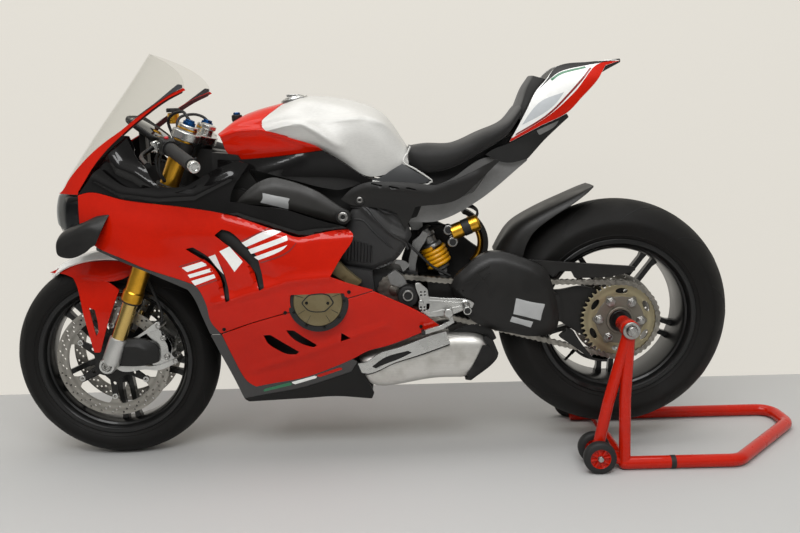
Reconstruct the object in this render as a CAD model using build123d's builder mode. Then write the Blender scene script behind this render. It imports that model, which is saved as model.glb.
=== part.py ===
"""Sport bike held up by a single-sided paddock stand, as separate named pieces.

Frame: +X forward, +Y to the rider's left, +Z up, millimetres. The origin is on the floor, at the middle
of the overall length. Outlines are rows of (back, up): mm behind the front axle, and mm above the floor.
"""

import os
from math import asin, atan2, cos, hypot, radians, sin, tan

from build123d import *

# ---- driving dimensions -------------------------------------------------------------------------------
WHEELBASE = 1469.0
FRONT_TYRE_RADIUS, FRONT_TYRE_WIDTH = 300.0, 120.0
REAR_TYRE_RADIUS, REAR_TYRE_WIDTH = 336.0, 198.0
REAR_LIFT = 59.6  # gap under the rear tyre, which the stand holds off the floor
RIM_SEAT_RADIUS = 216.0  # a 17 inch rim
RIM_WALL = 9.0
FRONT_RIM_HALF, REAR_RIM_HALF = 48.0, 80.0  # bead to centre
FLANGE_HEIGHT, FLANGE_WIDTH = 12.0, 5.0
SEAT_GAP = 0.3  # between curved faces that touch

PARKED_RAKE = 22.2  # degrees, with the rear lifted
AXLE_OFFSET = 33.4  # front axle ahead of the steering axis
FORK_OFFSET = 30.0  # fork legs ahead of the steering axis
FORK_HALF_SPREAD = 107.0
FORK_TUBE_RADIUS, FORK_COLLAR_RADIUS, FORK_LEG_RADIUS = 26.0, 28.5, 21.5
FORK_TOP_UP = 985.0
STEM_RADIUS, HEAD_TUBE_RADIUS = 17.0, 30.0
BAR_RADIUS, GRIP_RADIUS = 11.0, 16.5
BAR_HALF_SPAN = 345.0

FRONT_AXLE_RADIUS, FRONT_HUB_RADIUS = 12.5, 34.0
DISC_THICKNESS = 5.0
FRONT_DISC_RADIUS, FRONT_DISC_INNER = 165.0, 131.0
FOOT_WALL = 4.0  # the cast foot round each fork leg
DISC_TO_FOOT = 13.5
FRONT_DISC_Y = FORK_HALF_SPREAD - FORK_LEG_RADIUS - FOOT_WALL - DISC_TO_FOOT - DISC_THICKNESS / 2
REAR_DISC_RADIUS, REAR_DISC_INNER, REAR_DISC_Y = 122.0, 78.0, 44.0
REAR_AXLE_RADIUS, REAR_AXLE_BORE = 30.0, 14.5
REAR_HUB_RADIUS = 52.0
ROTOR_ARM_WIDTH = 22.0
SPOKE_PAIRS = 5
SPOKE_WIDTH = 15.0

CHAIN_Y, CHAIN_WIDTH, CHAIN_HEIGHT = 112.0, 16.0, 15.0
FRONT_SPROCKET_RADIUS, REAR_SPROCKET_RADIUS = 40.0, 108.0  # pitch circles
FRONT_SPROCKET_BACK, FRONT_SPROCKET_UP = 830.0, 500.0
SPROCKET_THICKNESS = 6.0
SPROCKET_BORE, CARRIER_RADIUS, CARRIER_NOSE_RADIUS = 62.0, 68.0, 44.0
LIGHTENING_REACH, LIGHTENING_RADIUS = 82.0, 9.0
PIVOT_BACK, PIVOT_UP, PIVOT_RADIUS = 865.0, 481.0, 15.0
HUB_RADIUS = 62.0
HUB_INNER_Y, HUB_OUTER_Y = 52.0, 98.0

PANEL_WALL = 4.0

STAND_TUBE = 18.0  # radius
STAND_REACH = 561.0  # rear axle to the middle of the handle
STAND_NEAR_Y, STAND_FAR_Y = 241.0, -150.0
STAND_PIN_RADIUS = 14.0
STAND_PIN_END_Y = 258.0
STAND_WHEEL_RADIUS, STAND_WHEEL_WIDTH = 45.0, 28.0

# ---- places that follow from them ---------------------------------------------------------------------
REAR_AXLE_UP = REAR_TYRE_RADIUS + REAR_LIFT
STAND_END_BACK = WHEELBASE + STAND_REACH + STAND_TUBE
FRONT_AXLE_X = (STAND_END_BACK - FRONT_TYRE_RADIUS) / 2
RAKE = radians(PARKED_RAKE)
# the steering axis passes this far behind the front axle, at axle height
AXIS_BACK_AT_AXLE = AXLE_OFFSET / cos(RAKE)


def at(back, up, y=0.0):
    """A point in the part's frame."""
    return Vector(FRONT_AXLE_X - back, y, up)


def steer_point(up, ahead=0.0, y=0.0):
    """A point beside the steering axis: ahead mm in front of it, square to it, at its place up."""
    back = AXIS_BACK_AT_AXLE + (up - FRONT_TYRE_RADIUS) * tan(RAKE)
    return at(back - ahead * cos(RAKE), up + ahead * sin(RAKE), y)


FRONT_AXLE = at(0, FRONT_TYRE_RADIUS)
REAR_AXLE = at(WHEELBASE, REAR_AXLE_UP)
STEER_DIRECTION = Vector(-sin(RAKE), 0, cos(RAKE))
FORK_FOOT_UP = FRONT_TYRE_RADIUS - (FORK_OFFSET - AXLE_OFFSET) * sin(RAKE)


def side_plane(y):
    """A plane seen from the bike's left side, at y."""
    return Plane.XZ.offset(-y)


def outline_face(outline, y):
    """A flat face at y, from rows of (back, up)."""
    with BuildSketch(side_plane(y)) as profile:
        with BuildLine():
            Polyline(*[(FRONT_AXLE_X - back, up) for back, up in outline], close=True)
        make_face()
    return profile.sketch


def slab(outline, y_low, y_high, mode=Mode.ADD):
    """Extrude a side outline from y_high to y_low, in the part that is open."""
    extrude(outline_face(outline, y_high), amount=y_high - y_low, mode=mode)


def both_slabs(outline, y_low, y_high, mode=Mode.ADD):
    """The same on both sides of the bike."""
    slab(outline, y_low, y_high, mode)
    slab(outline, -y_high, -y_low, mode)


def rod(start, end, radius, mode=Mode.ADD):
    """A round bar between two points, in the part that is open."""
    direction = Vector(*end) - Vector(*start)
    with BuildSketch(Plane(origin=start, z_dir=direction)) as section:
        Circle(radius)
    extrude(section.sketch, amount=direction.length, mode=mode)


def turned(center, rows, mode=Mode.ADD):
    """Turn a closed outline of rows (y, radius) about the cross-wise axis through center."""
    with BuildSketch(Plane(origin=center, x_dir=(0, 1, 0), z_dir=(1, 0, 0))) as section:
        with BuildLine():
            Polyline(*rows, close=True)
        make_face()
    revolve(section.sketch, axis=Axis(center, (0, 1, 0)), mode=mode)


def disc(center, radius, y_low, y_high, bore=0.0, mode=Mode.ADD):
    """A round plate or ring about the cross-wise axis through center."""
    with BuildSketch(Plane(origin=(center.X, y_high, center.Z), x_dir=(1, 0, 0), z_dir=(0, -1, 0))) as face:
        Circle(radius)
        if bore:
            Circle(bore, mode=Mode.SUBTRACT)
    extrude(face.sketch, amount=y_high - y_low, mode=mode)


def section_face(back, points):
    """A closed cross-section at one station, from rows of (y, up)."""
    with BuildSketch(Plane(origin=at(back, 0), x_dir=(0, 1, 0), z_dir=(1, 0, 0))) as profile:
        with BuildLine():
            Polyline(*points, close=True)
        make_face()
    return profile.sketch


def lofted(rows, mode=Mode.ADD, inset=0.0):
    """Loft six-cornered sections. Columns: back, low, shoulder, top, and half-widths at those three."""
    faces = []
    for back, low, shoulder, top, low_half, shoulder_half, top_half in rows:
        half = [(low_half - inset, low + inset), (shoulder_half - inset, shoulder),
                (top_half - inset, top - inset)]
        mirrored = [(-y, up) for y, up in reversed(half)]
        faces.append(section_face(back, half + mirrored))
    loft(faces, ruled=True, mode=mode)


def between(rows, back, column):
    """Read one column of a table at a station, in line between its rows."""
    for low, high in zip(rows, rows[1:]):
        if back <= high[0]:
            break
    share = (back - low[0]) / (high[0] - low[0])
    return low[column] + (high[column] - low[column]) * share


# ---- wheels -------------------------------------------------------------------------------------------
def tyre_section(center, radius, half_width, bead_half, widest_radius, wall):
    """Turn a tyre: round crown, sidewalls that narrow to the beads, hollow inside."""
    bead = RIM_SEAT_RADIUS + SEAT_GAP
    flange_top = RIM_SEAT_RADIUS + FLANGE_HEIGHT + 2
    inner_half = half_width - wall
    with BuildSketch(Plane(origin=center, x_dir=(0, 1, 0), z_dir=(1, 0, 0))) as section:
        with BuildLine():
            Polyline((-half_width, widest_radius), (-bead_half, flange_top), (-bead_half, bead),
                     (-bead_half + wall, bead), (-inner_half, widest_radius))
            ThreePointArc((-inner_half, widest_radius), (0, radius - wall), (inner_half, widest_radius))
            Polyline((inner_half, widest_radius), (bead_half - wall, bead), (bead_half, bead),
                     (bead_half, flange_top), (half_width, widest_radius))
            ThreePointArc((half_width, widest_radius), (0, radius), (-half_width, widest_radius))
        make_face()
    revolve(section.sketch, axis=Axis(center, (0, 1, 0)))


def rim_barrel(center, bead_half):
    """Turn a rim: a barrel with a flange at each edge."""
    seat, inner = RIM_SEAT_RADIUS, RIM_SEAT_RADIUS - RIM_WALL
    edge = bead_half + SEAT_GAP
    turned(center, [(-edge - FLANGE_WIDTH, inner), (edge + FLANGE_WIDTH, inner),
                    (edge + FLANGE_WIDTH, seat + FLANGE_HEIGHT), (edge, seat + FLANGE_HEIGHT), (edge, seat),
                    (-edge, seat), (-edge, seat + FLANGE_HEIGHT),
                    (-edge - FLANGE_WIDTH, seat + FLANGE_HEIGHT)])


def spokes(center, hub_radius, start_angle, y_low, y_high, pair_offset):
    """Pairs of flat spokes from the hub to the rim's barrel."""
    inner, outer = hub_radius - 6, RIM_SEAT_RADIUS - RIM_WALL / 2
    with BuildSketch(Plane(origin=(center.X, y_high, center.Z), x_dir=(1, 0, 0), z_dir=(0, -1, 0))) as face:
        with PolarLocations((inner + outer) / 2, SPOKE_PAIRS, start_angle=start_angle):
            with Locations((0, pair_offset), (0, -pair_offset)):
                Rectangle(outer - inner, SPOKE_WIDTH)
    extrude(face.sketch, amount=y_high - y_low)


with BuildPart() as front_tyre:
    tyre_section(FRONT_AXLE, FRONT_TYRE_RADIUS, FRONT_TYRE_WIDTH / 2, FRONT_RIM_HALF,
                 widest_radius=262.0, wall=9.0)

with BuildPart() as front_rim:
    rim_barrel(FRONT_AXLE, FRONT_RIM_HALF)
    spokes(FRONT_AXLE, FRONT_HUB_RADIUS, start_angle=48.0, y_low=-14.0, y_high=14.0, pair_offset=20.0)
    hub_half = FRONT_DISC_Y - DISC_THICKNESS / 2
    disc(FRONT_AXLE, FRONT_HUB_RADIUS, -hub_half, hub_half)
    disc(FRONT_AXLE, FRONT_AXLE_RADIUS + SEAT_GAP, -hub_half, hub_half, mode=Mode.SUBTRACT)


def rotor(center, outer, inner, y, thickness, arms, hub_radius, bore):
    """A brake disc's ring, its hub and the arms between them."""
    low, high = y - thickness / 2, y + thickness / 2
    disc(center, outer, low, high, inner)
    disc(center, hub_radius, low, high, bore)
    with BuildSketch(Plane(origin=(center.X, high, center.Z), x_dir=(1, 0, 0), z_dir=(0, -1, 0))) as face:
        with PolarLocations((inner + hub_radius) / 2, arms, start_angle=30):
            Rectangle(inner - hub_radius + 8, ROTOR_ARM_WIDTH)
    extrude(face.sketch, amount=thickness)


with BuildPart() as front_discs:
    for disc_y in (-FRONT_DISC_Y, FRONT_DISC_Y):
        rotor(FRONT_AXLE, FRONT_DISC_RADIUS, FRONT_DISC_INNER, disc_y, DISC_THICKNESS, 5,
              FRONT_HUB_RADIUS + 10, FRONT_AXLE_RADIUS + 6)

REAR_HUB_LEFT, REAR_HUB_RIGHT = REAR_DISC_Y - DISC_THICKNESS / 2, -60.0
SPROCKET_CARRIER_Y = CHAIN_Y - SPROCKET_THICKNESS / 2

with BuildPart() as rear_tyre:
    tyre_section(REAR_AXLE, REAR_TYRE_RADIUS, REAR_TYRE_WIDTH / 2, REAR_RIM_HALF,
                 widest_radius=276.0, wall=11.0)

with BuildPart() as rear_rim:
    rim_barrel(REAR_AXLE, REAR_RIM_HALF)
    spokes(REAR_AXLE, REAR_HUB_RADIUS, start_angle=56.0, y_low=-52.0, y_high=-20.0, pair_offset=22.0)
    disc(REAR_AXLE, REAR_HUB_RADIUS, REAR_HUB_RIGHT, REAR_HUB_LEFT)
    disc(REAR_AXLE, REAR_AXLE_RADIUS, REAR_HUB_LEFT, SPROCKET_CARRIER_Y + SPROCKET_THICKNESS + 14)
    disc(REAR_AXLE, REAR_AXLE_BORE, REAR_HUB_RIGHT, SPROCKET_CARRIER_Y + SPROCKET_THICKNESS + 14,
         mode=Mode.SUBTRACT)

with BuildPart() as rear_disc:
    rotor(REAR_AXLE, REAR_DISC_RADIUS, REAR_DISC_INNER, REAR_DISC_Y, DISC_THICKNESS, 6, REAR_HUB_RADIUS,
          REAR_AXLE_RADIUS + SEAT_GAP)

with BuildPart() as rear_sprocket:
    tooth_root = REAR_SPROCKET_RADIUS - CHAIN_HEIGHT / 2 - 0.5
    disc(REAR_AXLE, tooth_root, CHAIN_Y - SPROCKET_THICKNESS / 2, CHAIN_Y + SPROCKET_THICKNESS / 2,
         SPROCKET_BORE)
    disc(REAR_AXLE, CARRIER_RADIUS, HUB_OUTER_Y + 3, CHAIN_Y - SPROCKET_THICKNESS / 2, REAR_AXLE_RADIUS + SEAT_GAP)
    disc(REAR_AXLE, CARRIER_NOSE_RADIUS, HUB_OUTER_Y + 3, CHAIN_Y + SPROCKET_THICKNESS / 2 + 6,
         REAR_AXLE_RADIUS + SEAT_GAP)
    with BuildSketch(side_plane(CHAIN_Y + SPROCKET_THICKNESS / 2)) as lightening:
        with Locations((REAR_AXLE.X, REAR_AXLE.Z)):
            with PolarLocations(LIGHTENING_REACH, 6):
                Circle(LIGHTENING_RADIUS)
    extrude(lightening.sketch, amount=SPROCKET_THICKNESS, mode=Mode.SUBTRACT)

# ---- steering -----------------------------------------------------------------------------------------
TOP_CLAMP_UP, LOWER_CLAMP_UP, CLAMP_THICKNESS = 955.0, 770.0, 26.0
COLLAR_BOTTOM_UP, COLLAR_TOP_UP = 489.0, 545.0
FOOT_TOP_UP = 380.0


def fork_point(up, y):
    """A point on a fork leg's centre line."""
    return steer_point(up, FORK_OFFSET, y)


def clamp_plate(up, ring_radius):
    """A fork clamp: a plate square to the steering axis, round the stem and both legs."""
    base = steer_point(up)
    with BuildSketch(Plane(origin=base, x_dir=(0, 1, 0), z_dir=STEER_DIRECTION)) as plate:
        with Locations((0, -FORK_OFFSET)):
            with Locations((FORK_HALF_SPREAD, 0), (-FORK_HALF_SPREAD, 0)):
                Circle(ring_radius)
            Rectangle(2 * FORK_HALF_SPREAD, 34)
        Circle(ring_radius - 6)
        with Locations((0, -FORK_OFFSET)):
            with Locations((FORK_HALF_SPREAD, 0), (-FORK_HALF_SPREAD, 0)):
                Circle(FORK_TUBE_RADIUS + SEAT_GAP, mode=Mode.SUBTRACT)
    extrude(plate.sketch, amount=CLAMP_THICKNESS)


with BuildPart() as fork_clamps:
    clamp_plate(TOP_CLAMP_UP - 10, FORK_TUBE_RADIUS + 9)
    clamp_plate(LOWER_CLAMP_UP, FORK_TUBE_RADIUS + 10)
    rod(steer_point(LOWER_CLAMP_UP), steer_point(TOP_CLAMP_UP), STEM_RADIUS)

with BuildPart() as fork_tubes:
    for leg_y in (-FORK_HALF_SPREAD, FORK_HALF_SPREAD):
        rod(fork_point(COLLAR_BOTTOM_UP, leg_y), fork_point(FORK_TOP_UP, leg_y), FORK_TUBE_RADIUS)
        rod(fork_point(COLLAR_BOTTOM_UP, leg_y), fork_point(COLLAR_TOP_UP, leg_y), FORK_COLLAR_RADIUS)

with BuildPart() as fork_feet:
    for leg_y in (-FORK_HALF_SPREAD, FORK_HALF_SPREAD):
        rod(fork_point(FORK_FOOT_UP, leg_y), fork_point(COLLAR_BOTTOM_UP, leg_y), FORK_LEG_RADIUS)
        rod(fork_point(FORK_FOOT_UP, leg_y), fork_point(FOOT_TOP_UP, leg_y), FORK_LEG_RADIUS + FOOT_WALL)
        disc(FRONT_AXLE, 26.0, leg_y - 20, leg_y + 20)
        disc(FRONT_AXLE, FRONT_AXLE_RADIUS + SEAT_GAP, leg_y - 30, leg_y + 30, mode=Mode.SUBTRACT)

with BuildPart() as front_axle:
    axle_half = FORK_HALF_SPREAD + 22
    disc(FRONT_AXLE, FRONT_AXLE_RADIUS, -axle_half, axle_half, FRONT_AXLE_RADIUS - 3.5)

# columns: back, up, y of the bar's inner end and of its outer end
BAR_INNER, BAR_OUTER = (222.0, 929.0, 171.0), (347.0, 870.0, BAR_HALF_SPAN)
BAR_CLAMP_UP = 905.0
LEVER_PIVOT, LEVER_TIP = (196.0, 924.0, 190.0), (232.0, 892.0, 335.0)


def mixed(start, end, share):
    """The point that lies a share of the way from start to end, as rows of (back, up, y)."""
    return at(*[a + (b - a) * share for a, b in zip(start, end)])


with BuildPart() as handlebars:
    clamp_center = fork_point(BAR_CLAMP_UP, FORK_HALF_SPREAD)
    with BuildSketch(Plane(origin=clamp_center, x_dir=(0, 1, 0), z_dir=STEER_DIRECTION)) as ring:
        Circle(FORK_TUBE_RADIUS + 9)
        with Locations((26, -20)):
            Rectangle(60, 34, rotation=-30)
        Circle(FORK_TUBE_RADIUS + SEAT_GAP, mode=Mode.SUBTRACT)
    extrude(ring.sketch, amount=28)
    rod(clamp_center + Vector(30, 42, 12), mixed(BAR_INNER, BAR_OUTER, 0.0), BAR_RADIUS + 2)
    rod(mixed(BAR_INNER, BAR_OUTER, -0.02), mixed(BAR_INNER, BAR_OUTER, 0.95), BAR_RADIUS)
    rod(mixed(BAR_INNER, BAR_OUTER, 0.22), mixed(BAR_INNER, BAR_OUTER, 0.9), GRIP_RADIUS)
    rod(mixed(BAR_INNER, BAR_OUTER, 0.08), at(*LEVER_PIVOT), 10)
    rod(at(*LEVER_PIVOT), at(*LEVER_TIP), 6)
    mirror(about=Plane.XZ)

CALIPER = [(100, 395), (124, 420), (150, 424), (158, 398), (163, 350), (188, 310), (158, 284), (128, 281),
           (112, 300), (104, 340)]

CALIPER_OUTER_Y = FRONT_DISC_Y + 22.5

with BuildPart() as brake_calipers:
    both_slabs(CALIPER, FRONT_DISC_Y - 19.5, CALIPER_OUTER_Y)
    for disc_y in (-FRONT_DISC_Y, FRONT_DISC_Y):
        disc(FRONT_AXLE, FRONT_DISC_RADIUS + 6, disc_y - 8, disc_y + 8, mode=Mode.SUBTRACT)
    both_slabs([(40, 392), (100, 396), (112, 402), (112, 330), (100, 322), (30, 326)], CALIPER_OUTER_Y - 12,
               CALIPER_OUTER_Y)
    for leg_y in (-FORK_HALF_SPREAD, FORK_HALF_SPREAD):
        rod(fork_point(FORK_FOOT_UP, leg_y), fork_point(FOOT_TOP_UP + 60, leg_y),
            FORK_LEG_RADIUS + FOOT_WALL + SEAT_GAP, mode=Mode.SUBTRACT)

FENDER_CLEARANCE, FENDER_WALL, FENDER_HALF, FENDER_ARM_Y = 8.0, 4.0, 66.0, 74.0
FENDER_FRONT, FENDER_REAR = 141.0, 78.0  # degrees up from straight back, about the axle

with BuildPart() as front_fender:
    inner_radius = FRONT_TYRE_RADIUS + FENDER_CLEARANCE
    disc(FRONT_AXLE, inner_radius + FENDER_WALL, -FENDER_HALF, FENDER_HALF, inner_radius)
    wedge = [(0, FRONT_TYRE_RADIUS)]
    for angle in (FENDER_FRONT, 110.0, FENDER_REAR):
        reach = 2 * FRONT_TYRE_RADIUS
        wedge.append((reach * cos(radians(angle)), FRONT_TYRE_RADIUS + reach * sin(radians(angle))))
    slab(wedge, -FENDER_HALF, FENDER_HALF, mode=Mode.INTERSECT)
    both_slabs([(-150, 555), (-97, 495), (36, 495), (62, 560), (60, 606), (-60, 616), (-150, 575)],
               FENDER_HALF, FENDER_ARM_Y)
    both_slabs([(-99, 500), (-95, 489), (-72, 425), (-52, 359), (-32, 336), (-3, 433), (23, 500)],
               FENDER_ARM_Y, FENDER_ARM_Y + FENDER_WALL)
    both_slabs([(-20, 500), (-10, 430), (75, 440), (80, 470), (40, 500)], FENDER_ARM_Y,
               FORK_HALF_SPREAD - 8)
    for leg_y in (-FORK_HALF_SPREAD, FORK_HALF_SPREAD):
        rod(fork_point(FORK_FOOT_UP, leg_y), fork_point(COLLAR_BOTTOM_UP, leg_y),
            FORK_LEG_RADIUS + SEAT_GAP, mode=Mode.SUBTRACT)

# ---- frame, engine and tank -------------------------------------------------------------------------
DUCT_Y, FRAME_COVER_Y = 122.0, 136.0
DASH_BACK, DASH_UP, DASH_THICKNESS = 140.0, 972.0, 22.0
DASH_WIDTH, DASH_HEIGHT = 172.0, 104.0
DASH_TILT = radians(38.5)


def dash_under(back):
    """The height of the display's underside at a station."""
    return DASH_UP - (back - DASH_BACK) * tan(DASH_TILT) - DASH_THICKNESS / cos(DASH_TILT)


HEADLIGHT_BACK = -41.0
HEAD_BOTTOM_UP, HEAD_TOP_UP = LOWER_CLAMP_UP + CLAMP_THICKNESS + 6, TOP_CLAMP_UP - 18

with BuildPart() as main_frame:
    rod(steer_point(HEAD_BOTTOM_UP), steer_point(HEAD_TOP_UP), HEAD_TUBE_RADIUS)
    slab([(262, 840), (290, 910), (370, 896), (372, 800), (340, 790)], -42, 42)
    both_slabs([(340, 790), (340, 899), (370, 896), (410, 890), (480, 780), (640, 700), (690, 662),
                (640, 640), (560, 650), (440, 730)], 42, DUCT_Y)
    both_slabs([(390, 740), (440, 730), (640, 660), (690, 662), (560, 742), (410, 796)], 100, FRAME_COVER_Y)
    slab([(232, 880), (240, 850), (HEADLIGHT_BACK, 750), (HEADLIGHT_BACK, 780), (110, 850),
          (112, dash_under(112)), (128, dash_under(128)), (132, 862)], -15, 15)
    rod(steer_point(HEAD_BOTTOM_UP - 20), steer_point(HEAD_TOP_UP + 20), STEM_RADIUS + SEAT_GAP,
        mode=Mode.SUBTRACT)

ENGINE = [(432, 385), (430, 420), (470, 560), (560, 650), (640, 640), (690, 575), (770, 560), (780, 440),
          (784, 385)]
SUMP = [(440, 250), (432, 385), (784, 385), (722, 310), (700, 222), (560, 210)]
ENGINE_HALF, SUMP_HALF = 148.0, 100.0

with BuildPart() as engine_block:
    slab(ENGINE, -ENGINE_HALF, ENGINE_HALF)
    slab(SUMP, -SUMP_HALF, SUMP_HALF)
    slab([(770, 560), (900, 545), (905, 420), (784, 385)], -92, 92)
    rod(at(PIVOT_BACK, PIVOT_UP, -93), at(PIVOT_BACK, PIVOT_UP, 93), PIVOT_RADIUS + SEAT_GAP,
        mode=Mode.SUBTRACT)

ROUND_COVER_BACK, ROUND_COVER_UP, ROUND_COVER_RADIUS, ROUND_COVER_Y = 622.0, 469.0, 78.0, 203.0

with BuildPart() as engine_covers:
    cover_center = at(ROUND_COVER_BACK, ROUND_COVER_UP)
    disc(cover_center, ROUND_COVER_RADIUS, ENGINE_HALF, ROUND_COVER_Y - 8)
    disc(cover_center, ROUND_COVER_RADIUS - 12, ROUND_COVER_Y - 8, ROUND_COVER_Y)
    slab([(640, 575), (650, 645), (690, 640), (735, 590), (760, 540), (720, 520)], ENGINE_HALF, 172)
    mirror(about=Plane.XZ)

HEAD_COVER = [(738, 747), (771, 760), (812, 739), (852, 724), (873, 688), (883, 654), (835, 586),
              (770, 560), (690, 575), (697, 623), (719, 673), (728, 719)]

with BuildPart() as rear_head_cover:
    slab(HEAD_COVER, -DUCT_Y, DUCT_Y)

with BuildPart() as radiator:
    slab([(352, 330), (392, 330), (420, 620), (380, 620)], -135, 135)
    slab([(390, 400), (431, 400), (430, 420), (435, 438), (395, 440)], -20, 20)

# columns: back, low, shoulder, top, half-widths at those three
TANK = [(518, 898, 958, 1012, 118, 112, 50), (590, 892, 965, 1045, 122, 122, 70),
        (720, 860, 930, 1028, 122, 122, 66), (802, 828, 900, 997, 110, 105, 58),
        (880, 850, 880, 915, 84, 70, 40)]

with BuildPart() as fuel_tank:
    lofted(TANK)

TANK_COVER = [(370, 896, 930, 940, 104, 108, 80), (410, 890, 940, 992, 118, 110, 72),
              (518, 898, 958, 1012, 118, 112, 50)]

with BuildPart() as tank_cover:
    lofted(TANK_COVER)

CAP_BACK, CAP_RADIUS, CAP_HEIGHT = 556.0, 38.0, 12.0

with BuildPart() as fuel_cap:
    tank_slope = (TANK[1][3] - TANK[0][3]) / (TANK[1][0] - TANK[0][0])
    cap_plane = Plane(origin=at(CAP_BACK, between(TANK, CAP_BACK, 3)), x_dir=(0, 1, 0),
                      z_dir=(tank_slope, 0, 1))
    with BuildSketch(cap_plane) as cap_disc:
        Circle(CAP_RADIUS)
    extrude(cap_disc.sketch, amount=CAP_HEIGHT)

# ---- seat and tail ------------------------------------------------------------------------------------
# columns: back, low, shoulder, top, half-widths at those three
SEAT = [(TANK[-1][0], 845, 862, 888, 70, 84, 60), (945, 812, 850, 908, 100, 108, 80), (1048, 861, 890,
                                                                                       916, 122, 128,
                                                                                       96), (1150, 915,
                                                                                             936, 958,
                                                                                             126, 128,
                                                                                             98), (1192,
                                                                                                   968,
                                                                                                   985,
                                                                                                   1006,
                                                                                                   118,
                                                                                                   118,
                                                                                                   90)]
TAIL = [(SEAT[-1][0], 940, 976, 996, 112, 118, 96), (1268, 962, 1030, 1078, 104, 108, 66),
        (1330, 1020, 1062, 1096, 84, 90, 56), (1400, 1072, 1092, 1108, 58, 66, 44),
        (1486, 1116, 1121, 1127, 20, 22, 14)]
TAIL_HOLLOW = 5.0
SUBFRAME = [(873, 688), (960, 690), (1070, 742), (1210, 852), (1212, 868), (1130, 862), (1060, 768),
            (1000, 748), (905, 740), (852, 724)]
SEAT_RAIL = [(905, 739), (960, 740), (1000, 780), (1128, 848), (1130, 862), (1090, 862), (985, 800),
             (905, 780)]
SUBFRAME_HALF = 88.0

with BuildPart() as seat:
    lofted(SEAT)
    pad_rows = []
    for back, height, half in ((1203, 40, 84), (1262, 14, 62)):
        seat_back = between(TAIL, back, 3)
        pad_rows.append((back, seat_back, seat_back + height / 2, seat_back + height, half, half,
                         half - 10))
    lofted(pad_rows)

with BuildPart() as tail_fairing:
    lofted(TAIL)
    lofted([(back, low - 20, shoulder, top, low_half, shoulder_half, top_half)
            for back, low, shoulder, top, low_half, shoulder_half, top_half in TAIL[1:4]],
           mode=Mode.SUBTRACT, inset=TAIL_HOLLOW)

with BuildPart() as undertail:
    slab([(1130, 862), (1212, 868), (1262, 928), (1258, 959), (1192, 940), (1156, 905)], -100, 100)

with BuildPart() as subframe:
    both_slabs(SUBFRAME, SUBFRAME_HALF - 16, SUBFRAME_HALF)
    both_slabs(SEAT_RAIL, SUBFRAME_HALF - 16, SUBFRAME_HALF)
    for side in (-1, 1):
        for back, up in ((1005, 786), (935, 765)):
            rod(at(back, up, side * (SUBFRAME_HALF - 8)), at(back, up, side * DUCT_Y), 7)
    slab([(1160, 838), (1200, 850), (1200, 861), (1185, 860)], 16 - SUBFRAME_HALF, SUBFRAME_HALF - 16)
    slab([(940, 700), (964, 700), (964, 722), (940, 722)], 16 - SUBFRAME_HALF, SUBFRAME_HALF - 16)

SIDE_COVER = [(690, 762), (720, 790), (800, 806), (925, 795), (945, 792), (1005, 808), (1120, 860),
              (1128, 855), (1010, 752), (895, 736), (880, 700), (866, 676), (842, 722), (812, 746),
              (772, 766), (730, 750)]

with BuildPart() as side_covers:
    both_slabs(SIDE_COVER, DUCT_Y, DUCT_Y + 12)

FRAME_COVER = [(415, 796), (474, 822), (515, 826), (583, 800), (660, 757), (686, 735), (712, 714),
               (702, 698), (676, 700), (583, 731), (476, 750), (405, 764)]

with BuildPart() as frame_covers:
    both_slabs(FRAME_COVER, FRAME_COVER_Y, FRAME_COVER_Y + 24)

DUCT = [(356, 880), (395, 876), (610, 886), (665, 890), (730, 846), (772, 816), (744, 799), (714, 794),
        (689, 788), (648, 794), (541, 824), (450, 852), (420, 836), (379, 814), (352, 786)]

with BuildPart() as duct_panels:
    both_slabs(DUCT, DUCT_Y, DUCT_Y + 12)

# ---- fairing ------------------------------------------------------------------------------------------
LEVELS = (150, 260, 360, 460, 560, 660, 760, 860, 960, 1100)
# columns: back, then the fairing's half-width at each of those levels
FAIRING = [
    (-118, 52, 52, 52, 52, 56, 66, 66, 54, 40, 30),
    (-60, 84, 84, 84, 84, 94, 108, 108, 88, 66, 50),
    (20, 110, 110, 120, 130, 146, 154, 142, 122, 98, 76),
    (130, 116, 120, 140, 165, 186, 186, 170, 152, 140, 120),
    (290, 112, 124, 158, 192, 200, 200, 192, 176, 166, 158),
    (460, 104, 130, 166, 196, 208, 206, 196, 180, 170, 160),
    (640, 98, 130, 166, 196, 208, 200, 184, 170, 160, 150),
    (790, 92, 130, 160, 186, 196, 186, 172, 160, 150, 140),
    (970, 86, 120, 150, 172, 180, 172, 160, 150, 140, 130),
]


def fairing_solid(inset, mode=Mode.ADD):
    """The fairing's outer form as one solid, or the same form a wall smaller on every side."""
    faces = []
    for back, *halves in FAIRING:
        station = back + inset if back == FAIRING[0][0] else back
        overrun = inset / PANEL_WALL * 10
        levels = (LEVELS[0] - overrun, *LEVELS[1:-1], LEVELS[-1] + overrun)
        left = [(half - inset, level) for half, level in zip(halves, levels)]
        faces.append(section_face(station, left + [(-y, up) for y, up in reversed(left)]))
    if inset:
        tail_back, *tail_halves = FAIRING[-1]
        left = [(half - inset, level) for half, level in zip(tail_halves, levels)]
        faces.append(section_face(tail_back + 10, left + [(-y, up) for y, up in reversed(left)]))
    loft(faces, ruled=True, mode=mode)


with BuildPart() as fairing_skin:
    fairing_solid(0)
    fairing_solid(PANEL_WALL, Mode.SUBTRACT)

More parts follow.
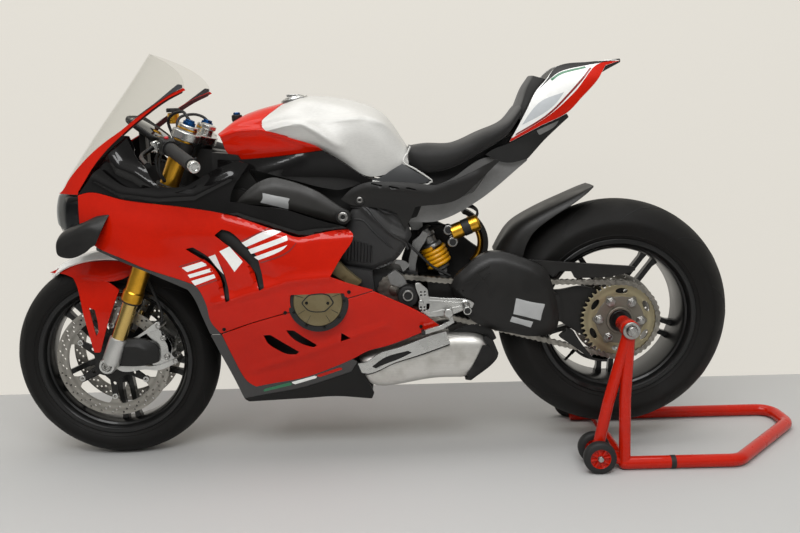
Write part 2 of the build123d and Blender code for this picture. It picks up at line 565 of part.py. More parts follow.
UPPER_PANEL = [(HEADLIGHT_BACK, 792), (1, 799), (102, 778), (279, 756), (381, 737), (529, 684),
               (622, 682), (707, 681), (723, 656), (645, 566), (660, 553), (774, 516), (711, 499),
               (546, 463), (317, 402), (304, 458), (284, 533), (203, 578), (119, 614), (9, 651),
               (-14, 667), (HEADLIGHT_BACK, 697)]
LOWER_PANEL = [(317, 402), (546, 463), (711, 499), (774, 516), (906, 443), (955, 404), (912, 388),
               (810, 349), (707, 324), (548, 265), (419, 227), (401, 231), (342, 356)]
VENT_A = [(353, 690), (376, 700), (450, 615), (477, 542), (471, 526), (458, 531), (433, 607)]
VENT_B = [(270, 649), (285, 652), (357, 574), (383, 507), (375, 493), (361, 502), (341, 573)]
LOWER_SLOTS = [[(459, 381), (467, 389), (550, 332), (544, 319), (524, 327)],
               [(527, 398), (536, 397), (603, 353), (594, 344)]]
ENGINE_WINDOW_RADIUS = ROUND_COVER_RADIUS + 7


def panel(outline, holes, left):
    """Cut one side's panel out of the fairing's skin, with its holes and the window round the engine cover."""
    low, high = (2, 260) if left else (-260, -2)
    slab(outline, low, high, mode=Mode.INTERSECT)
    for hole in holes:
        slab(hole, low, high, mode=Mode.SUBTRACT)
    disc(at(ROUND_COVER_BACK, ROUND_COVER_UP), ENGINE_WINDOW_RADIUS, low, high, mode=Mode.SUBTRACT)


with BuildPart() as upper_fairing_left:
    add(fairing_skin.part)
    panel(UPPER_PANEL, [VENT_A, VENT_B], left=True)

with BuildPart() as upper_fairing_right:
    mirror(upper_fairing_left.part, about=Plane.XZ)

with BuildPart() as lower_fairing_left:
    add(fairing_skin.part)
    panel(LOWER_PANEL, LOWER_SLOTS, left=True)

with BuildPart() as lower_fairing_right:
    mirror(lower_fairing_left.part, about=Plane.XZ)

BELLY = [(385, 184), (399, 178), (563, 183), (653, 186), (756, 174), (763, 195), (721, 221), (707, 324),
         (548, 265), (419, 227), (401, 231)]
BELLY_HOLLOW = [(380, 340), (405, 186), (563, 190), (653, 192), (748, 182), (750, 194), (712, 217),
                (730, 225), (730, 340)]

with BuildPart() as belly_hollow:
    fairing_solid(PANEL_WALL)
    slab(BELLY_HOLLOW, -260, 260, mode=Mode.INTERSECT)

with BuildPart() as belly_pan:
    fairing_solid(0)
    slab(BELLY, -260, 260, mode=Mode.INTERSECT)
    add(belly_hollow.part, mode=Mode.SUBTRACT)

# the strip that runs from the nose up along the screen's edge; its upper edge carries the screen
STRIP_EDGE = [(-97, 803), (-80, 831), (7, 915), (40, 936), (101, 972), (190, 1031), (233, 1054),
              (284, 1073)]
NOSE = [(-116, 792), *STRIP_EDGE, (284, 1060), (233, 1038), (161, 994), (101, 948), (50, 903), (14, 858),
        (-8, 826), (HEADLIGHT_BACK, 792)]

with BuildPart() as nose_fairing:
    add(fairing_skin.part)
    slab(NOSE, -260, 260, mode=Mode.INTERSECT)

HEADLIGHT = [(-130, 674), (-84, 650), (-50, 668), (HEADLIGHT_BACK, 697), (HEADLIGHT_BACK, 792), (-130, 792)]

with BuildPart() as headlight:
    fairing_solid(0)
    slab(HEADLIGHT, -260, 260, mode=Mode.INTERSECT)

COCKPIT = [(HEADLIGHT_BACK, 792), (-8, 826), (6, 808), (103, 805), (205, 810), (315, 797), (352, 788),
           (381, 737), (279, 756), (102, 778), (1, 799)]

with BuildPart() as cockpit_panels:
    add(fairing_skin.part)
    slab(COCKPIT, -260, 260, mode=Mode.INTERSECT)


def fairing_half(back, up):
    """The fairing's half-width at a place on its side."""
    row = next(k for k in range(len(LEVELS) - 1) if up <= LEVELS[k + 1])
    low, high = (between(FAIRING, back, row + 1 + k) for k in (0, 1))
    return low + (high - low) * (up - LEVELS[row]) / (LEVELS[row + 1] - LEVELS[row])


SCREEN_WALL = 3.0
# columns: back, edge, shoulder, top, half-widths at shoulder and top
SCREEN = [(-80, 831, 842, 848, 44, 20), (40, 936, 972, 990, 80, 30), (101, 972, 1048, 1080, 95, 40),
          (190, 1031, 1150, 1200, 105, 45), (300, 1076, 1172, 1270, 126, 50)]
SCREEN_REAR = [(300, 1077), (287, 1113), (239, 1145), (174, 1171), (157, 1176)]
SCREEN_SIDE = [*STRIP_EDGE[1:], *SCREEN_REAR, (100, 1176), (-100, 900)]


def screen_form(inset):
    """The screen's arched sections, seated on the strip's edge."""
    return [(back, edge - 30, edge, shoulder, top, fairing_half(back, edge) - 0.5 - inset,
             shoulder_half - inset, top_half - inset * 0.6) for back, edge, shoulder, top, shoulder_half,
            top_half in SCREEN]


def screen_solid(inset, mode=Mode.ADD):
    """Loft the screen's form as a solid."""
    faces = []
    for back, foot, edge, shoulder, top, edge_half, shoulder_half, top_half in screen_form(inset):
        half = [(edge_half, foot), (edge_half, edge), (shoulder_half, shoulder), (top_half, top - inset)]
        faces.append(section_face(back, half + [(-y, up) for y, up in reversed(half)]))
    loft(faces, ruled=True, mode=mode)


with BuildPart() as windscreen:
    screen_solid(0)
    screen_solid(SCREEN_WALL, Mode.SUBTRACT)
    slab(SCREEN_SIDE, -260, 260, mode=Mode.INTERSECT)

WINGLET = [(51, 731), (-6, 723), (-40, 694), (-58, 682), (-61, 657), (-50, 640), (20, 648), (40, 700)]

with BuildPart() as winglets:
    both_slabs(WINGLET, 90, 196)
    fairing_solid(0, Mode.SUBTRACT)

with BuildPart() as dashboard:
    dash_plane = Plane(origin=at(DASH_BACK, DASH_UP), x_dir=(0, 1, 0), z_dir=(-sin(DASH_TILT), 0,
                                                                              cos(DASH_TILT)))
    with BuildSketch(dash_plane) as dash_face:
        RectangleRounded(DASH_WIDTH, DASH_HEIGHT, 10)
    extrude(dash_face.sketch, amount=-DASH_THICKNESS)

# ---- swingarm, shock and hugger -----------------------------------------------------------------------
def ahead_of_rear_axle(*rows):
    """Rows of (back, up) from rows of (mm ahead of the rear axle, up)."""
    return [(WHEELBASE - ahead, up) for ahead, up in rows]


BLADE = [(1003, 536), (1069, 589), (1103, 596),
         *ahead_of_rear_axle((254, 573), (203, 537), (171, 455), (166, 391), (181, 362), (254, 357)),
         (1044, 419), (1010, 463), (988, 508)]
TUNNEL_GAP = 4.0
BLADE_OUTER_Y, BLADE_INNER_Y = 150.0, CHAIN_Y + CHAIN_WIDTH / 2 + TUNNEL_GAP
ARM_INNER_Y = CHAIN_Y - CHAIN_WIDTH / 2
SHOCK_SEAT_UP = 520.0

with BuildPart() as swingarm:
    slab(BLADE, BLADE_INNER_Y, BLADE_OUTER_Y)
    slab([(1010, 440), (1006, 490),
          *ahead_of_rear_axle((199, 488), (179, 470), (171, 400), (219, 392), (349, 410))],
         ARM_INNER_Y, BLADE_INNER_Y)
    slab([(925, 430), (925, SHOCK_SEAT_UP), (1085, SHOCK_SEAT_UP), (1085, 430)], -80, 94)
    slab([(1010, 440), (1006, 490), (1085, 490), (1085, 440)], 94, ARM_INNER_Y)
    slab([(850, 452), (850, 512), (925, 520), (925, 440)], 92.3, 102)
    slab([(850, 452), (850, 512), (925, 520), (925, 440)], -102, -92.3)
    slab([(908, 430), (925, 430), (925, SHOCK_SEAT_UP), (908, SHOCK_SEAT_UP)], -102, 102)
    slab([*ahead_of_rear_axle((221, 392), (217, 470), (169, 470), (0, REAR_AXLE_UP + 50),
                              (0, REAR_AXLE_UP - 50), (166, 391))], HUB_OUTER_Y - 7, HUB_OUTER_Y)
    slab(ahead_of_rear_axle((219, 394), (217, 468), (173, 468), (169, 400)), HUB_OUTER_Y, ARM_INNER_Y)
    disc(REAR_AXLE, HUB_RADIUS, HUB_INNER_Y, HUB_OUTER_Y)
    disc(REAR_AXLE, REAR_AXLE_RADIUS + SEAT_GAP, HUB_INNER_Y, HUB_OUTER_Y, mode=Mode.SUBTRACT)
    rod(at(PIVOT_BACK, PIVOT_UP, -103), at(PIVOT_BACK, PIVOT_UP, 103), PIVOT_RADIUS)

REAR_CALIPER = [(WHEELBASE + back, REAR_AXLE_UP + up) for back, up in
                ((-67, -128), (-17, -134), (9, -114), (1, -84), (-49, -74), (-73, -96))]
CALIPER_BRACKET = [(WHEELBASE + back, REAR_AXLE_UP + up) for back, up in
                   ((-49, -78), (1, -88), (15, -56), (-29, -50))]
CALIPER_SLOT = 13.0  # the gap that the disc runs in

with BuildPart() as rear_caliper:
    slab(REAR_CALIPER, REAR_DISC_Y - 15, REAR_DISC_Y + 14)
    disc(REAR_AXLE, REAR_DISC_RADIUS + 4, REAR_DISC_Y - CALIPER_SLOT / 2, REAR_DISC_Y + CALIPER_SLOT / 2,
         mode=Mode.SUBTRACT)
    slab(CALIPER_BRACKET, REAR_DISC_Y + 8, REAR_DISC_Y + 14)
    disc(REAR_AXLE, HUB_RADIUS + SEAT_GAP, HUB_INNER_Y - 1, HUB_OUTER_Y, mode=Mode.SUBTRACT)

GUARD_INNER_Y = 106.0

with BuildPart() as chain_guard:
    slab(ahead_of_rear_axle((346, 590), (225, 575), (-42, 548), (-42, 536), (168, 528), (229, 545),
                            (329, 560)), GUARD_INNER_Y, BLADE_INNER_Y)

HUGGER_GAP, HUGGER_WALL, HUGGER_HALF = 12.0, 4.0, 98.0
HUGGER_START, HUGGER_END = 104.0, 152.0  # degrees about the rear axle, from straight back, through up

with BuildPart() as rear_hugger:
    hug_radius = REAR_TYRE_RADIUS + HUGGER_GAP
    disc(REAR_AXLE, hug_radius + HUGGER_WALL, -HUGGER_HALF, GUARD_INNER_Y, hug_radius)
    wedge = [(WHEELBASE, REAR_AXLE_UP)]
    for angle in (HUGGER_START, 130.0, HUGGER_END):
        reach = 2 * REAR_TYRE_RADIUS
        wedge.append((WHEELBASE + reach * cos(radians(angle)), REAR_AXLE_UP + reach * sin(radians(angle))))
    slab(wedge, -HUGGER_HALF, GUARD_INNER_Y, mode=Mode.INTERSECT)

SHOCK_EYE = 14.0
SHOCK_TOP, SHOCK_LOW = (918, 664, 0), (972, SHOCK_SEAT_UP + SHOCK_EYE, 0)

with BuildPart() as shock_absorber:
    rod(at(*SHOCK_TOP), at(*SHOCK_LOW), 9)
    rod(mixed(SHOCK_TOP, SHOCK_LOW, 0.15), mixed(SHOCK_TOP, SHOCK_LOW, 0.8), 30)
    disc(at(*SHOCK_LOW), SHOCK_EYE, -12, 12)
    slab([(873, 688), (883, 654), (918, 655), (916, 678)], -8, 8)
    rod(at(1019, 660, 62), at(1068, 682, 62), 24)
    rod(at(925, 650, 0), at(1030, 664, 60), 7)

# ---- exhaust, footrests and chain ---------------------------------------------------------------------
SILENCER = [(722, 310), (727, 300), (734, 263), (759, 221), (810, 219), (924, 237), (1038, 237),
            (1115, 305), (1098, 345), (1070, 366), (975, 378), (964, 372), (868, 340), (770, 318)]
SILENCER_INNER_Y, SILENCER_OUTER_Y = 44.0, 152.0

with BuildPart() as silencers:
    both_slabs(SILENCER, SILENCER_INNER_Y, SILENCER_OUTER_Y)
    both_slabs([(1012, 250), (1038, 243), (1112, 304), (1120, 320), (1075, 306)], SILENCER_INNER_Y + 8,
               SILENCER_OUTER_Y - 8, mode=Mode.SUBTRACT)

HEEL_PLATE = [(886, 522), (916, 516), (929, 478), (1029, 474), (1047, 447), (1025, 440), (981, 426),
              (923, 427), (889, 442)]

FOOTPEG_RADIUS = 11.0

with BuildPart() as rearsets:
    both_slabs(HEEL_PLATE, 154, 162)
    for side in (-1, 1):
        rod(at(1025, 457, side * 160), at(1025, 457, side * 238), FOOTPEG_RADIUS)
        rod(at(980, 448, side * 160), at(980, 448, side * 184), 12)
        rod(at(980, 448, side * 174), at(900, 394, side * 174), 6)
        rod(at(903, 478, side * 102.5), at(903, 478, side * 154), 9)

CHAIN_TOP_BREAK = (974.0, 522.0)  # the upper run rests on the swingarm here


def tangent_points(center_a, radius_a, center_b, radius_b, upper):
    """Where a straight run leaves one circle and meets another, as two rows of (back, up)."""
    run = hypot(center_b[0] - center_a[0], center_b[1] - center_a[1])
    slope = atan2(center_b[1] - center_a[1], center_b[0] - center_a[0])
    sign = 1 if upper else -1
    angle = slope + sign * (radians(90) + asin((radius_b - radius_a) / run))
    return [(center[0] + radius * cos(angle), center[1] + radius * sin(angle))
            for center, radius in ((center_a, radius_a), (center_b, radius_b))]


def chain_outline(offset):
    """The chain's edge, offset mm outside its pitch line, as a face at the chain's outer side."""
    front, rear = (FRONT_SPROCKET_BACK, FRONT_SPROCKET_UP), (WHEELBASE, REAR_AXLE_UP)
    front_radius, rear_radius = FRONT_SPROCKET_RADIUS + offset, REAR_SPROCKET_RADIUS + offset
    guide = (CHAIN_TOP_BREAK[0], CHAIN_TOP_BREAK[1] + offset)
    top_front = tangent_points(front, front_radius, guide, 0.0, True)[0]
    top_rear = tangent_points(guide, 0.0, rear, rear_radius, True)[1]
    low_front, low_rear = tangent_points(front, front_radius, rear, rear_radius, False)
    nose, tail = (front[0] - front_radius, front[1]), (rear[0] + rear_radius, rear[1])

    def flat(point):
        return FRONT_AXLE_X - point[0], point[1]

    with BuildSketch(side_plane(CHAIN_Y + CHAIN_WIDTH / 2)) as loop:
        with BuildLine():
            Polyline(flat(top_front), flat(guide), flat(top_rear))
            ThreePointArc(flat(top_rear), flat(tail), flat(low_rear))
            Line(flat(low_rear), flat(low_front))
            ThreePointArc(flat(low_front), flat(nose), flat(top_front))
        make_face()
    return loop.sketch


with BuildPart() as drive_chain:
    extrude(chain_outline(CHAIN_HEIGHT / 2), amount=CHAIN_WIDTH)
    extrude(chain_outline(-CHAIN_HEIGHT / 2), amount=CHAIN_WIDTH, mode=Mode.SUBTRACT)

with BuildPart() as front_sprocket:
    sprocket_center = at(FRONT_SPROCKET_BACK, FRONT_SPROCKET_UP)
    disc(sprocket_center, FRONT_SPROCKET_RADIUS - CHAIN_HEIGHT / 2 - 0.5, CHAIN_Y - 3, CHAIN_Y + 3)
    disc(sprocket_center, 16, 92, CHAIN_Y + 8)

# ---- paddock stand ------------------------------------------------------------------------------------
STAND_HANDLE_BACK = WHEELBASE + STAND_REACH
STAND_WHEEL_BACK = WHEELBASE - 86.0
STAND_LEG_Y = 229.0
STAND_WHEEL_AXLE = 8.0
CROSS_TUBE, CROSS_TUBE_UP = 14.0, 30.0
NEAR_WHEEL_Y, NEAR_INNER_WHEEL_Y, FAR_WHEEL_Y = 249.0, 175.0, -200.0  # inner faces
STAND_AXLES = [(NEAR_INNER_WHEEL_Y - 4, NEAR_WHEEL_Y + STAND_WHEEL_WIDTH + 4),
               (FAR_WHEEL_Y - 4, STAND_FAR_Y)]

with BuildPart() as paddock_stand:
    with BuildLine() as foot_path:
        FilletPolyline(at(WHEELBASE - 12, STAND_TUBE, STAND_NEAR_Y), at(WHEELBASE + 306, STAND_TUBE,
                                                                        STAND_NEAR_Y),
                       at(STAND_HANDLE_BACK, STAND_TUBE, -28), at(STAND_HANDLE_BACK, STAND_TUBE,
                                                                  STAND_FAR_Y), at(STAND_WHEEL_BACK,
                                                                                   STAND_TUBE,
                                                                                   STAND_FAR_Y),
                       radius=56)
    with BuildSketch(Plane(origin=foot_path.line @ 0, z_dir=foot_path.line % 0)) as foot_section:
        Circle(STAND_TUBE)
    sweep(foot_section.sketch, path=foot_path.line)
    leg_foot = at(WHEELBASE - 12, STAND_TUBE, STAND_NEAR_Y)
    leg_knee = at(WHEELBASE - 11, 200, STAND_LEG_Y)
    leg_head = at(WHEELBASE, REAR_AXLE_UP, STAND_LEG_Y - 8)
    front_foot = at(STAND_WHEEL_BACK, STAND_WHEEL_RADIUS, STAND_LEG_Y - 4)
    front_knee = at(STAND_WHEEL_BACK + 30, 190, STAND_LEG_Y - 4)
    rod(leg_foot, leg_knee, STAND_TUBE - 2)
    rod(leg_knee, leg_head, STAND_TUBE - 2)
    rod(front_foot, front_knee, STAND_TUBE - 2)
    rod(front_knee, leg_head, STAND_TUBE - 2)
    for joint in (leg_foot, leg_knee, leg_head, front_knee, front_foot):
        with Locations(joint):
            Sphere(STAND_TUBE - 2)
    rod(front_foot, leg_foot, 10)
    cross_y_low, cross_y_high = STAND_FAR_Y, STAND_LEG_Y - 4
    cross_back = STAND_WHEEL_BACK + STAND_WHEEL_RADIUS + CROSS_TUBE + 6
    rod(at(cross_back, CROSS_TUBE_UP, cross_y_low), at(cross_back, CROSS_TUBE_UP, cross_y_high), CROSS_TUBE)
    rod(at(cross_back, CROSS_TUBE_UP, cross_y_high), front_foot, CROSS_TUBE)
    disc(REAR_AXLE, 25, STAND_LEG_Y - 26, STAND_LEG_Y + 12)
    disc(REAR_AXLE, STAND_PIN_RADIUS, REAR_DISC_Y, STAND_PIN_END_Y)
    for axle_start, axle_end in STAND_AXLES:
        disc(at(STAND_WHEEL_BACK, STAND_WHEEL_RADIUS), STAND_WHEEL_AXLE, axle_start, axle_end)
    slab([(STAND_WHEEL_BACK - 12, 30), (STAND_WHEEL_BACK + 30, 10), (STAND_WHEEL_BACK + 30, 34),
          (STAND_WHEEL_BACK + 8, STAND_WHEEL_RADIUS + 14), (STAND_WHEEL_BACK - 12, STAND_WHEEL_RADIUS + 8)],
         STAND_FAR_Y - 6, STAND_FAR_Y + 6)


def stand_wheel(y_low):
    """One small wheel of the stand, with its bore and a recess in its outer face."""
    center = at(STAND_WHEEL_BACK, STAND_WHEEL_RADIUS)
    disc(center, STAND_WHEEL_RADIUS, y_low, y_low + STAND_WHEEL_WIDTH, STAND_WHEEL_AXLE + SEAT_GAP)


with BuildPart() as stand_wheels_left:
    stand_wheel(NEAR_WHEEL_Y)
    stand_wheel(NEAR_INNER_WHEEL_Y)

with BuildPart() as stand_wheel_right:
    stand_wheel(FAR_WHEEL_Y)

NOT_PIECES = ("fairing_skin", "belly_hollow")  # tools that cut the panels
PIECES = {name: value for name, value in globals().items()
          if isinstance(value, BuildPart) and name not in NOT_PIECES}
os.makedirs("parts", exist_ok=True)
for name, piece in PIECES.items():
    piece.part.label = name
    export_step(piece.part, f"parts/{name}.step")
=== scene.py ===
"""Sport bike on a single-sided paddock stand: the visible model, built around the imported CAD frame.

Each sub-assembly is a class. Its sizes are dataclass fields, in millimetres, and its methods make the meshes,
dress them in a finish and hand them to the Workshop, which puts every piece on its body. Outlines are rows of
(back, up): millimetres behind the front axle, and millimetres above the floor.
"""

import logging
import math
from bisect import bisect_right
from dataclasses import dataclass, field
from enum import Enum
from typing import Callable, Iterable, Sequence

import bpy
from mathutils import Matrix, Vector
from mathutils.geometry import delaunay_2d_cdt


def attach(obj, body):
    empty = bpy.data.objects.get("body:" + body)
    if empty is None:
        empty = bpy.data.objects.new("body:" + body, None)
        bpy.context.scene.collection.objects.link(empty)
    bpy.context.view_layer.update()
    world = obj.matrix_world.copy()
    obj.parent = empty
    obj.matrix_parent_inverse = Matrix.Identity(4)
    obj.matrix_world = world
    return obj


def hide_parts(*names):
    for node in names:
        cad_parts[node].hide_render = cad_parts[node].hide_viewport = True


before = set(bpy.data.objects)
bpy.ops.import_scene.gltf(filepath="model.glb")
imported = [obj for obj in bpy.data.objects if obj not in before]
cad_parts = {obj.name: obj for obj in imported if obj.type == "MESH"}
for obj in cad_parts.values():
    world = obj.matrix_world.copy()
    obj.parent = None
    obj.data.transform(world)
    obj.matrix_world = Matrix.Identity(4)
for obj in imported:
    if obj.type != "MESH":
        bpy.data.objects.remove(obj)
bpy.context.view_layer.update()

MM = 0.001
FRONT_AXLE_X = 874.0

Point = tuple[float, float]
Net = tuple[tuple[tuple[float, float, float], ...], ...]
Surface = Callable[[float, float], float]
log = logging.getLogger("sport_bike")

FRONT_AXLE: Point = (0.0, 300.0)
REAR_AXLE: Point = (1469.0, 395.6)
ACROSS = Vector((0, 1, 0))
UPRIGHT = Vector((0, 0, 1))


# ---- places and lines ---------------------------------------------------------------------------------
def at(back: float, up: float, y: float = 0.0) -> Vector:
    """A point in the part's frame, in metres, from back, up and y in millimetres."""
    return Vector(((FRONT_AXLE_X - back) * MM, y * MM, up * MM))


def hermite(t: float, start: float | Vector, leaving: float | Vector, end: float | Vector,
            arriving: float | Vector) -> float | Vector:
    """A place a share t along a smooth curve, from its ends and the slopes there."""
    return (start * (2 * t**3 - 3 * t**2 + 1) + leaving * (t**3 - 2 * t**2 + t)
            + end * (3 * t**2 - 2 * t**3) + arriving * (t**3 - t**2))


def eased(places: Sequence[float], values: Sequence[float], place: float) -> float:
    """Read a smooth curve that passes through the values.

    Args:
        places: rising positions of the values.
        values: one value at each position.
        place: where to read the curve; outside the positions it holds the end value.

    Returns:
        The curve's value there.
    """
    last = len(places) - 1
    place = min(max(place, places[0]), places[-1])
    k = min(max(bisect_right(places, place) - 1, 0), last - 1)

    def slope(i: int) -> float:
        """The curve's slope at a value."""
        low, high = max(i - 1, 0), min(i + 1, last)
        return (values[high] - values[low]) / (places[high] - places[low])

    span = places[k + 1] - places[k]
    return hermite((place - places[k]) / span, values[k], slope(k) * span, values[k + 1], slope(k + 1) * span)


def flowing(outline: Sequence[Point], step: float = 6.0, corner: float = 34.0, fillet: float = 3.0,
            closed: bool = True) -> list[Point]:
    """Draw a smooth line through an outline and keep its sharp corners, slightly rounded.

    Args:
        outline: rows of (back, up).
        step: the distance between points on the line.
        corner: a turn sharper than this many degrees stays a corner.
        fillet: how far before a corner its rounding starts.
        closed: whether the line returns to its start.

    Returns:
        Points along the line.
    """
    points = [Vector(p) for p in outline]
    count = len(points)
    runs = count if closed else count - 1

    def heading(i: int) -> Vector:
        """The direction of the run that leaves a point."""
        return (points[(i + 1) % count] - points[i % count]).normalized()

    def is_corner(i: int) -> bool:
        """Whether the line turns sharply at a point.

        Args:
            i: the point's number.

        Returns:
            True where the line turns sharply.
        """
        if not closed and i % count in (0, count - 1):
            return True
        return math.degrees(heading(i - 1).angle(heading(i))) > corner

    def tangent(i: int, leaving: bool) -> Vector:
        """The line's direction at a point.

        Args:
            i: the point's number.
            leaving: whether the run starts there, rather than ends there.

        Returns:
            A direction of length one.
        """
        if is_corner(i):
            return heading(i) if leaving else heading(i - 1)
        return (heading(i - 1) + heading(i)).normalized()

    line: list[Point] = []
    for i in range(runs):
        start, end = points[i], points[(i + 1) % count]
        length = (end - start).length
        cut = min(fillet, length / 3)
        a, b = tangent(i, True) * length, tangent(i + 1, False) * length
        pieces = max(1, round(length / step))
        first = 0.0
        if is_corner(i) and fillet and (closed or i):
            before = start - heading(i - 1) * min(fillet, (start - points[i - 1]).length / 3)
            after = start + heading(i) * cut
            line.append(tuple((before + 2 * start + after) / 4))
            first = cut / length
            line.append(tuple(after))
        elif not line or not is_corner(i):
            line.append(tuple(start))
        last_cut = cut / length if is_corner(i + 1) and fillet and (closed or i < runs - 1) else 0.0
        for k in range(1, pieces + (1 if last_cut else 0)):
            t = k / pieces
            if first + 0.3 / pieces < t < 1 - last_cut - 0.3 / pieces:
                line.append(tuple(hermite(t, start, a, end, b)))
        if last_cut:
            line.append(tuple(end - heading(i) * cut))
    if not closed:
        line.append(tuple(points[-1]))
    return line


def smooth_path(points: Sequence[Vector], step: float = 8.0) -> list[Vector]:
    """A smooth path in space through a few points, with a point about every step millimetres.

    Args:
        points: the places it passes through, in metres.
        step: millimetres between its points.

    Returns:
        Points along the path, with both ends.
    """
    path: list[Vector] = []
    last = len(points) - 1
    for i in range(last):
        a, b = points[i], points[i + 1]
        ta = (b - points[max(i - 1, 0)]) / (2 if i else 1)
        tb = (points[min(i + 2, last)] - a) / (2 if i + 1 < last else 1)
        pieces = max(1, round((b - a).length / (step * MM)))
        path += [hermite(k / pieces, a, ta, b, tb) for k in range(pieces)]
    return path + [points[-1].copy()]


def away(point: Point, line: Sequence[Point], closed: bool = False) -> float:
    """How far a point lies from a line.

    Args:
        point: a place as (back, up).
        line: points along the line.
        closed: whether the line returns to its start.

    Returns:
        The gap, in millimetres.
    """
    gaps = []
    px, py = point
    for (ax, ay), (bx, by) in list(zip(line, line[1:])) + ([(line[-1], line[0])] if closed else []):
        dx, dy = bx - ax, by - ay
        t = min(max(((px - ax) * dx + (py - ay) * dy) / (dx * dx + dy * dy or 1e-9), 0.0), 1.0)
        gaps.append(math.hypot(px - ax - t * dx, py - ay - t * dy))
    return min(gaps)


def inside(point: Point, loops: Iterable[Sequence[Point]]) -> bool:
    """Whether a point is inside the first loop and outside its holes.

    Args:
        point: a place as (back, up).
        loops: the outline and its holes.

    Returns:
        True between the outline and its holes.
    """
    px, py = point
    odd = False
    for loop in loops:
        ax, ay = loop[-1]
        for bx, by in loop:
            if (ay > py) != (by > py) and px < (bx - ax) * (py - ay) / (by - ay) + ax:
                odd = not odd
            ax, ay = bx, by
    return odd


class Cut(Enum):
    """What a feature does to a surface."""

    RIDGE = "a soft rib along the line"
    POCKET = "the surface sinks behind the line, as far as the deep side"
    ROLL = "the surface rolls in beside the line"


@dataclass(frozen=True)
class Feature:
    """A crease, pocket or rolled edge of a panel: height and width in mm, positive outwards."""

    cut: Cut
    line: tuple[Point, ...]
    height: float
    width: float
    deep: tuple[Point, ...] = ()  # closes a pocket on its open, deepest side

    def lift(self, back: float, up: float) -> float:
        """How far the feature moves the surface outwards at a place.

        Args:
            back: millimetres behind the front axle.
            up: millimetres above the floor.

        Returns:
            Millimetres outwards; inwards is negative.
        """
        if self.cut is Cut.POCKET:
            if not inside((back, up), [self.line + self.deep]):
                return 0.0
            t = min(away((back, up), self.line, closed=not self.deep) / self.width, 1.0)
            return self.height * t * t * (3 - 2 * t)
        gap = away((back, up), self.line) / self.width
        if self.cut is Cut.ROLL:
            return -self.height * max(1 - gap, 0.0) ** 2
        return self.height * math.exp(-(gap**2))


@dataclass(frozen=True)
class Skin:
    """A side surface: half-widths at a grid of levels and stations, smooth between them, with features."""

    levels: tuple[float, ...]
    stations: tuple[tuple[float, ...], ...]
    features: tuple[Feature, ...] = ()

    def __call__(self, back: float, up: float) -> float:
        """The half-width at a place.

        Args:
            back: millimetres behind the front axle.
            up: millimetres above the floor.

        Returns:
            Millimetres from the middle plane.
        """
        backs = [row[0] for row in self.stations]
        k = min(max(bisect_right(backs, back) - 1, 0), len(backs) - 2)
        near = range(max(k - 1, 0), min(k + 3, len(backs)))
        halves = [eased(self.levels, self.stations[i][1:], up) for i in near]
        half = eased([backs[i] for i in near], halves, back)
        return half + sum(feature.lift(back, up) for feature in self.features)

    def pressed(self, *features: Feature) -> "Skin":
        """The same surface with other features."""
        return Skin(self.levels, self.stations, features)

    def raised(self, lift: float) -> Surface:
        """The same surface, a little further out, for decals and trims."""
        return lambda back, up: self(back, up) + lift


# ---- shapes -------------------------------------------------------------------------------------------
@dataclass
class Shape:
    """A closed mesh while it is put together. Slot numbers pick the finish of each face."""

    verts: list[Vector] = field(default_factory=list)
    faces: list[tuple[int, ...]] = field(default_factory=list)
    slots: list[int] = field(default_factory=list)

    def lace(self, rings: int, sides: int, closed: bool = False) -> "Shape":
        """Lay faces between rings of vertices.

        Args:
            rings: how many rings there are.
            sides: how many vertices each has.
            closed: whether the last ring meets the first; otherwise both ends are capped.

        Returns:
            The shape itself.
        """
        for i in range(rings if closed else rings - 1):
            a, b = i * sides, (i + 1) % rings * sides
            for k in range(sides):
                n = (k + 1) % sides
                self.faces.append((a + k, a + n, b + n, b + k))
        if not closed:
            last = (rings - 1) * sides
            self.faces += [tuple(reversed(range(sides))), tuple(range(last, last + sides))]
        return self.dressed()

    def dressed(self, slot: int = 0) -> "Shape":
        """The shape itself, with every face in one slot."""
        self.slots = [slot] * len(self.faces)
        return self

    def join(self, *others: "Shape") -> "Shape":
        """Take in other shapes, each with its own slots.

        Args:
            others: the shapes to take in.

        Returns:
            This shape.
        """
        for other in others:
            base = len(self.verts)
            self.verts.extend(other.verts)
            self.faces.extend(tuple(base + i for i in face) for face in other.faces)
            self.slots.extend(other.slots)
        return self

    def moved(self, matrix: Matrix) -> "Shape":
        """The shape carried somewhere else; a mirror turns its faces round to point outwards.

        Args:
            matrix: the move.

        Returns:
            A new shape.
        """
        flip = matrix.determinant() < 0
        faces = [tuple(reversed(face)) for face in self.faces] if flip else list(self.faces)
        return Shape([matrix @ v for v in self.verts], faces, list(self.slots))

    def mirrored(self) -> "Shape":
        """The same shape on the bike's other side."""
        return self.moved(Matrix.Diagonal((1, -1, 1, 1)))

    def both(self) -> "Shape":
        """The shape and its mirror image."""
        return Shape(list(self.verts), list(self.faces), list(self.slots)).join(self.mirrored())


